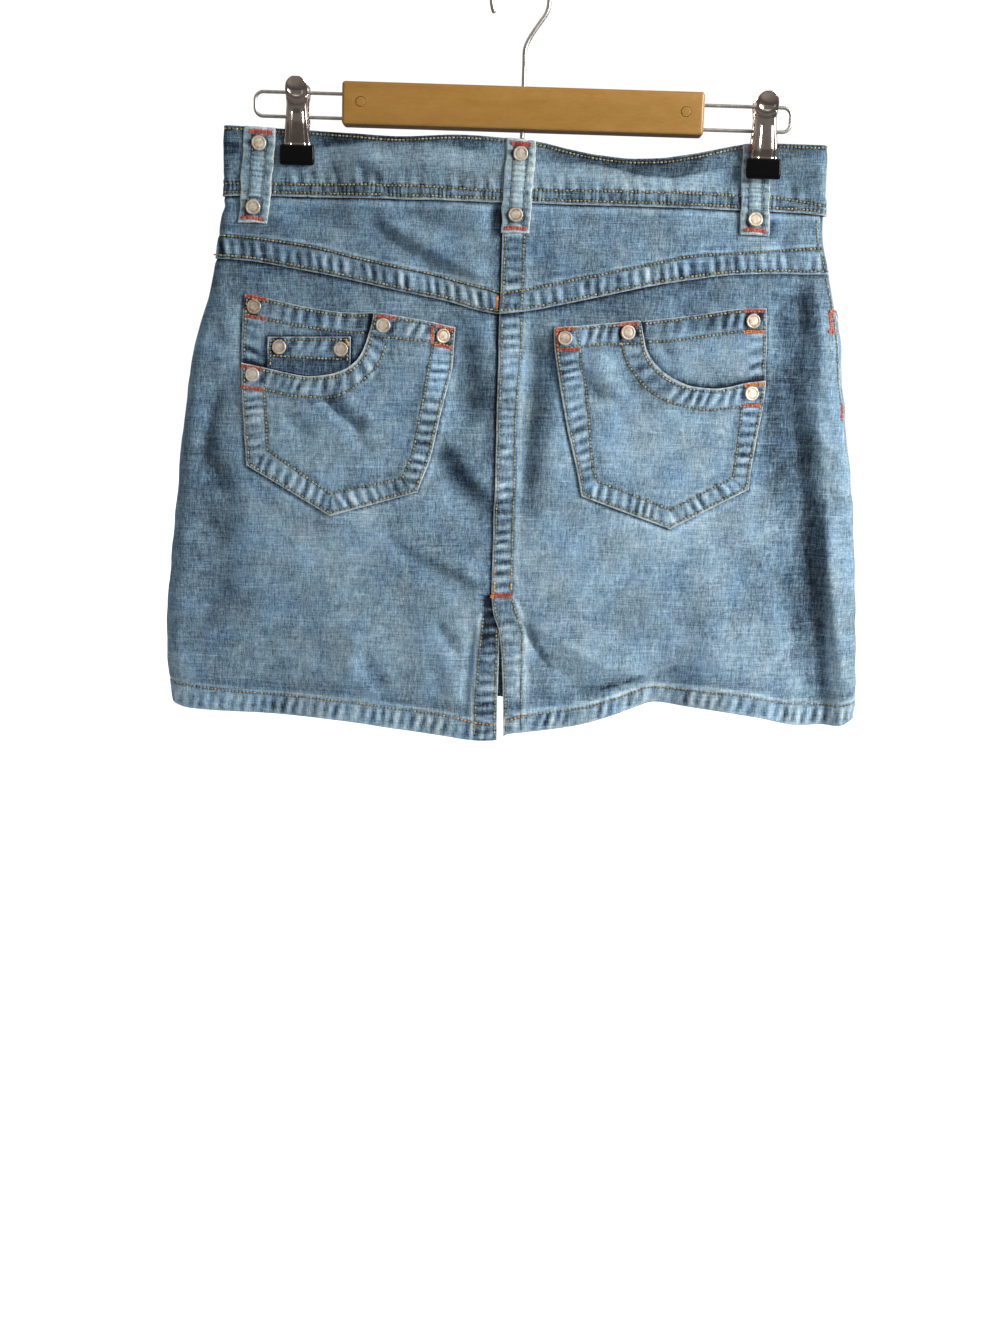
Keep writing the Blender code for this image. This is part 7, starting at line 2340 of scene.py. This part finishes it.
def make_clips():
    on_band = PINCHED + 0.8 + 0.45
    starts = {("left", "back"): on_band, ("left", "front"): on_band,
              ("right", "back"): 6.3, ("right", "front"): on_band}
    for (which, side), start in starts.items():
        sign = -1 if side == "back" else 1
        x0 = CLIP_X[which]
        # The dipped pad: a rounded block, a little fuller at its foot.
        bevel = ("BEVEL", {"width": 1.9 * MM, "segments": 4, "limit_method": "ANGLE"})
        mesh = modified("pad", block("pad", (PAD_W, PAD_T, PAD_H - 0.7), (0, 0, 0)), [bevel, ("SUBSURF", {"levels": 1, "render_levels": 1})])
        co = np.empty(len(mesh.vertices) * 3)
        mesh.vertices.foreach_get("co", co)
        co = co.reshape(-1, 3) / MM
        z = co[:, 2] / (PAD_H / 2)
        co[:, 0] *= 1 + 0.015 * np.cos(z * PI)
        co[:, 1] += 0.22 * sign * np.cos(z * PI / 2) * np.where(co[:, 1] * sign > 0, 1, 0) * np.cos(co[:, 0] / PAD_W * PI)
        co += (x0, sign * (start + PAD_T / 2), PAD_Z)
        mesh.vertices.foreach_set("co", (co * MM).ravel())
        add_mesh(f"pad_{which}_{side}", mesh, VINYL, f"clip_pad_{which}_{side}", 60)

        shift = start + PAD_T / 2 - LEVER[-1][1]
        s, r = np.linspace(-1, 1, 43), finely(38.8, 0.62, (0.0, 0.15, 0.4, 0.8))
        S, R = np.meshgrid(s, r)
        z = -67.4 - R * 39.9
        width = lever_half(z)
        # The thumb end is a full round.
        head = np.hypot(S * width, z + 74.6)
        across = S * width
        out = lever_out(z) + shift * step((-80.0 - z) / 24.0)
        flange = lever_flange(z)
        edge = np.clip((np.abs(S) - 0.80) / 0.20, 0, 1)
        body = step((-79.0 - z) / 5.0)
        out = out - (flange * edge ** 1.6) * (0.25 + 0.75 * body)
        out = out + 0.34 * np.cos(np.clip(S, -1, 1) * PI / 2) ** 0.7
        r0 = np.hypot(across, z + 73.2)
        bowl = np.clip(1 - (r0 / 5.7) ** 2, 0.0, 1.0)
        out = out - 1.75 * bowl + 0.35 * hill(r0 - 6.1, 0.6) * (1 - body)
        # A collar below the thumb end, and two ribs down the body.
        out = out + 0.55 * hill(r0 - 8.6, 0.65) * step((-77.5 - z) / 1.5) * (np.abs(S) < 0.93)
        rib = hill(np.abs(across) - 3.3 - 0.05 * (-z - 86), 0.62) * step((-86.5 - z) / 2.0)
        out = out + 0.75 * rib
        out = out - 0.25 * (hill(across, 2.0)) * step((-86.0 - z) / 3.0)
        thick = 0.42
        outer_p = np.stack([x0 + across * -sign, sign * (out + 0.0), z], -1)
        inner_p = np.stack([x0 + across * -sign * 0.95, sign * (out - 2 * thick), z], -1)
        rows, columns = S.shape
        count = rows * columns
        index = np.arange(count).reshape(rows, columns)
        face = np.stack([index[:-1, :-1], index[1:, :-1], index[1:, 1:], index[:-1, 1:]], -1).reshape(-1, 4)
        p = outer_p.reshape(-1, 3)
        q = face[len(face) // 2 + columns // 2]
        n = np.cross(p[q[1]] - p[q[0]], p[q[3]] - p[q[0]])
        flipped = n[1] * sign < 0
        if flipped:
            face = face[:, ::-1]
        rim_path = np.concatenate([index[0, :-1], index[:-1, -1], index[-1, :0:-1], index[:0:-1, 0]])
        nxt = np.roll(rim_path, -1)
        rim = np.stack([rim_path, nxt, nxt + count, rim_path + count], -1)
        if flipped:
            rim = rim[:, ::-1]
        faces = np.concatenate([face, face[:, ::-1] + count, rim])
        obj = new_object(f"lever_{which}_{side}", np.concatenate([p, inner_p.reshape(-1, 3)]), faces, CHROME,
                         replaces=f"clip_lever_{which}_{side}")
    for which in ("left", "right"):
        # The spring, a wound wire between the levers.
        t = np.linspace(0, 1, 190)
        angle = t * 2 * PI * 6
        path = np.stack([CLIP_X[which] - 4.0 + 8.0 * t, 2.35 * np.cos(angle), BAR_Z + 2.35 * np.sin(angle)], -1)
        way = np.gradient(path, axis=0)
        way /= np.linalg.norm(way, axis=1, keepdims=True)
        radial = np.stack([np.zeros_like(t), np.cos(angle), np.sin(angle)], -1)
        side_way = np.cross(way, radial)
        turn = np.arange(8) * 2 * PI / 8
        points = (path[:, None] + 0.5 * (np.cos(turn)[None, :, None] * radial[:, None] + np.sin(turn)[None, :, None] * side_way[:, None])).reshape(-1, 3)
        i = np.arange(len(path) - 1)[:, None] * 8
        j = np.arange(8)[None]
        k = (j + 1) % 8
        faces = np.stack([i + j, i + k, i + 8 + k, i + 8 + j], -1).reshape(-1, 4)
        new_object(f"spring_{which}", points, faces, WIRE, replaces=f"clip_spring_{which}")


# ------------------------------------------------------------------ the scene
def make_camera():
    data = bpy.data.cameras.new("camera")
    data.lens, data.sensor_width = 42.0, 36.0
    data.clip_start, data.clip_end = 0.05, 50.0
    camera = bpy.data.objects.new("camera", data)
    bpy.context.scene.collection.objects.link(camera)
    pitch, roll = math.radians(-10.9), math.radians(1.8)
    right = Vector((1, 0, 0))
    forward = Vector((0, math.cos(pitch), math.sin(pitch)))
    up = Vector((0, -math.sin(pitch), math.cos(pitch)))
    x = right * math.cos(roll) + up * math.sin(roll)
    y = up * math.cos(roll) - right * math.sin(roll)
    turn = Matrix((x, y, -forward)).transposed().to_4x4()
    camera.matrix_world = Matrix.Translation(Vector((-0.0035, -1.030, -0.241))) @ turn
    bpy.context.scene.camera = camera


def area_light(name, at, to, size, power, colour=(1, 1, 1)):
    data = bpy.data.lights.new(name, "AREA")
    data.shape, data.size, data.size_y = "RECTANGLE", size[0], size[1]
    data.energy, data.color = power, colour
    obj = bpy.data.objects.new(name, data)
    bpy.context.scene.collection.objects.link(obj)
    obj.location = at
    obj.rotation_mode = "QUATERNION"
    obj.rotation_quaternion = (Vector(to) - Vector(at)).to_track_quat("-Z", "Y")
    return obj


def make_studio():
    scene = bpy.context.scene
    scene.view_settings.view_transform = "Standard"
    scene.view_settings.look = "None"
    world = bpy.data.worlds.new("studio")
    scene.world = world
    world.use_nodes = True
    tree = world.node_tree
    tree.nodes.clear()
    add = tree.nodes.new
    out, seen, lit = add("ShaderNodeOutputWorld"), add("ShaderNodeBackground"), add("ShaderNodeBackground")
    mix, path = add("ShaderNodeMixShader"), add("ShaderNodeLightPath")
    seen.inputs["Color"].default_value, seen.inputs["Strength"].default_value = (1, 1, 1, 1), 1.05
    # A room for the metal to mirror: bright to the right and above, dim ahead.
    coordinates, split = add("ShaderNodeTexCoord"), add("ShaderNodeSeparateXYZ")
    tree.links.new(coordinates.outputs["Generated"], split.inputs[0])

    def mapped(socket, low, high, a, b):
        node = add("ShaderNodeMapRange")
        node.interpolation_type = "SMOOTHSTEP"
        node.inputs["From Min"].default_value, node.inputs["From Max"].default_value = low, high
        node.inputs["To Min"].default_value, node.inputs["To Max"].default_value = a, b
        tree.links.new(socket, node.inputs["Value"])
        return node.outputs["Result"]

    def summed(a, b, kind="ADD"):
        node = add("ShaderNodeMath")
        node.operation = kind
        for socket, value in zip(node.inputs, (a, b)):
            if isinstance(value, float):
                socket.default_value = value
            else:
                tree.links.new(value, socket)
        return node.outputs[0]

    def strip(socket, at, wide, high):
        """A bright strip: a lit window or wall that metal mirrors."""
        return summed(mapped(socket, at - wide, at, 0.0, high), mapped(socket, at, at + wide, 0.0, -high))

    x, y, z = (split.outputs[name] for name in "XYZ")
    soft = summed(summed(mapped(x, -0.3, 0.8, 0.0, 0.14), mapped(z, -0.2, 0.8, 0.10, 0.22)), mapped(y, -0.8, 0.6, 0.0, 0.14))
    lit.inputs["Color"].default_value = (0.97, 0.985, 1.0, 1)
    tree.links.new(soft, lit.inputs["Strength"])
    room = add("ShaderNodeBackground")
    room.inputs["Color"].default_value = (1.0, 0.93, 0.88, 1)
    glow = summed(summed(strip(x, 0.62, 0.16, 1.5), strip(z, 0.78, 0.14, 1.1)), summed(strip(x, -0.72, 0.10, 0.6), 0.24))
    tree.links.new(glow, room.inputs["Strength"])
    shine = add("ShaderNodeMixShader")
    tree.links.new(path.outputs["Is Glossy Ray"], shine.inputs[0])
    tree.links.new(lit.outputs[0], shine.inputs[1])
    tree.links.new(room.outputs[0], shine.inputs[2])
    tree.links.new(path.outputs["Is Camera Ray"], mix.inputs[0])
    tree.links.new(shine.outputs[0], mix.inputs[1])
    tree.links.new(seen.outputs[0], mix.inputs[2])
    tree.links.new(mix.outputs[0], out.inputs["Surface"])
    area_light("key", (1.35, -0.85, 0.34), (0.0, 0.0, -0.28), (0.55, 0.8), 40.0, (1.0, 0.985, 0.96))
    area_light("fill", (-1.3, -1.5, 0.1), (0.0, 0.0, -0.28), (1.4, 1.4), 3.4, (0.95, 0.98, 1.0)).visible_glossy = False
    area_light("rim", (0.9, 1.0, 0.6), (0.0, 0.0, -0.2), (0.8, 0.8), 5.0)
    area_light("front_side", (-0.7, 1.6, 0.3), (0.0, 0.0, -0.28), (1.2, 1.2), 22.0).visible_glossy = False

    mesh = bpy.data.meshes.new("floor")
    mesh.from_pydata([(-14, -14, -1.30), (14, -14, -1.30), (14, 14, -1.30), (-14, 14, -1.30)], [], [(0, 1, 2, 3)])
    floor = bpy.data.objects.new("floor", mesh)
    mesh.materials.append(floor_material())
    scene.collection.objects.link(floor)


def flat_area(obj):
    """Half the closed shell's surface, in square metres."""
    me = obj.data
    co = np.empty(len(me.vertices) * 3, np.float32)
    me.vertices.foreach_get("co", co)
    co = co.reshape(-1, 3)
    me.calc_loop_triangles()
    tri = np.empty(len(me.loop_triangles) * 3, np.int32)
    me.loop_triangles.foreach_get("vertices", tri)
    tri = tri.reshape(-1, 3)
    a, b, c = co[tri[:, 0]], co[tri[:, 1]], co[tri[:, 2]]
    return float(np.linalg.norm(np.cross(b - a, c - a), axis=1).sum() / 4)


make_camera()
make_studio()
CLOTH = {**make_back(), **make_pockets(), **make_loops(), **make_front()}
lay_stitches()
lay_tacks()
make_threads()
make_rivets()
make_hanger()
make_clips()

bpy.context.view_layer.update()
for node_, obj_ in CLOTH.items():
    print("area", node_, round(flat_area(obj_), 5))
print("triangles", sum(2 * len(o.data.polygons) for o in PIECES))
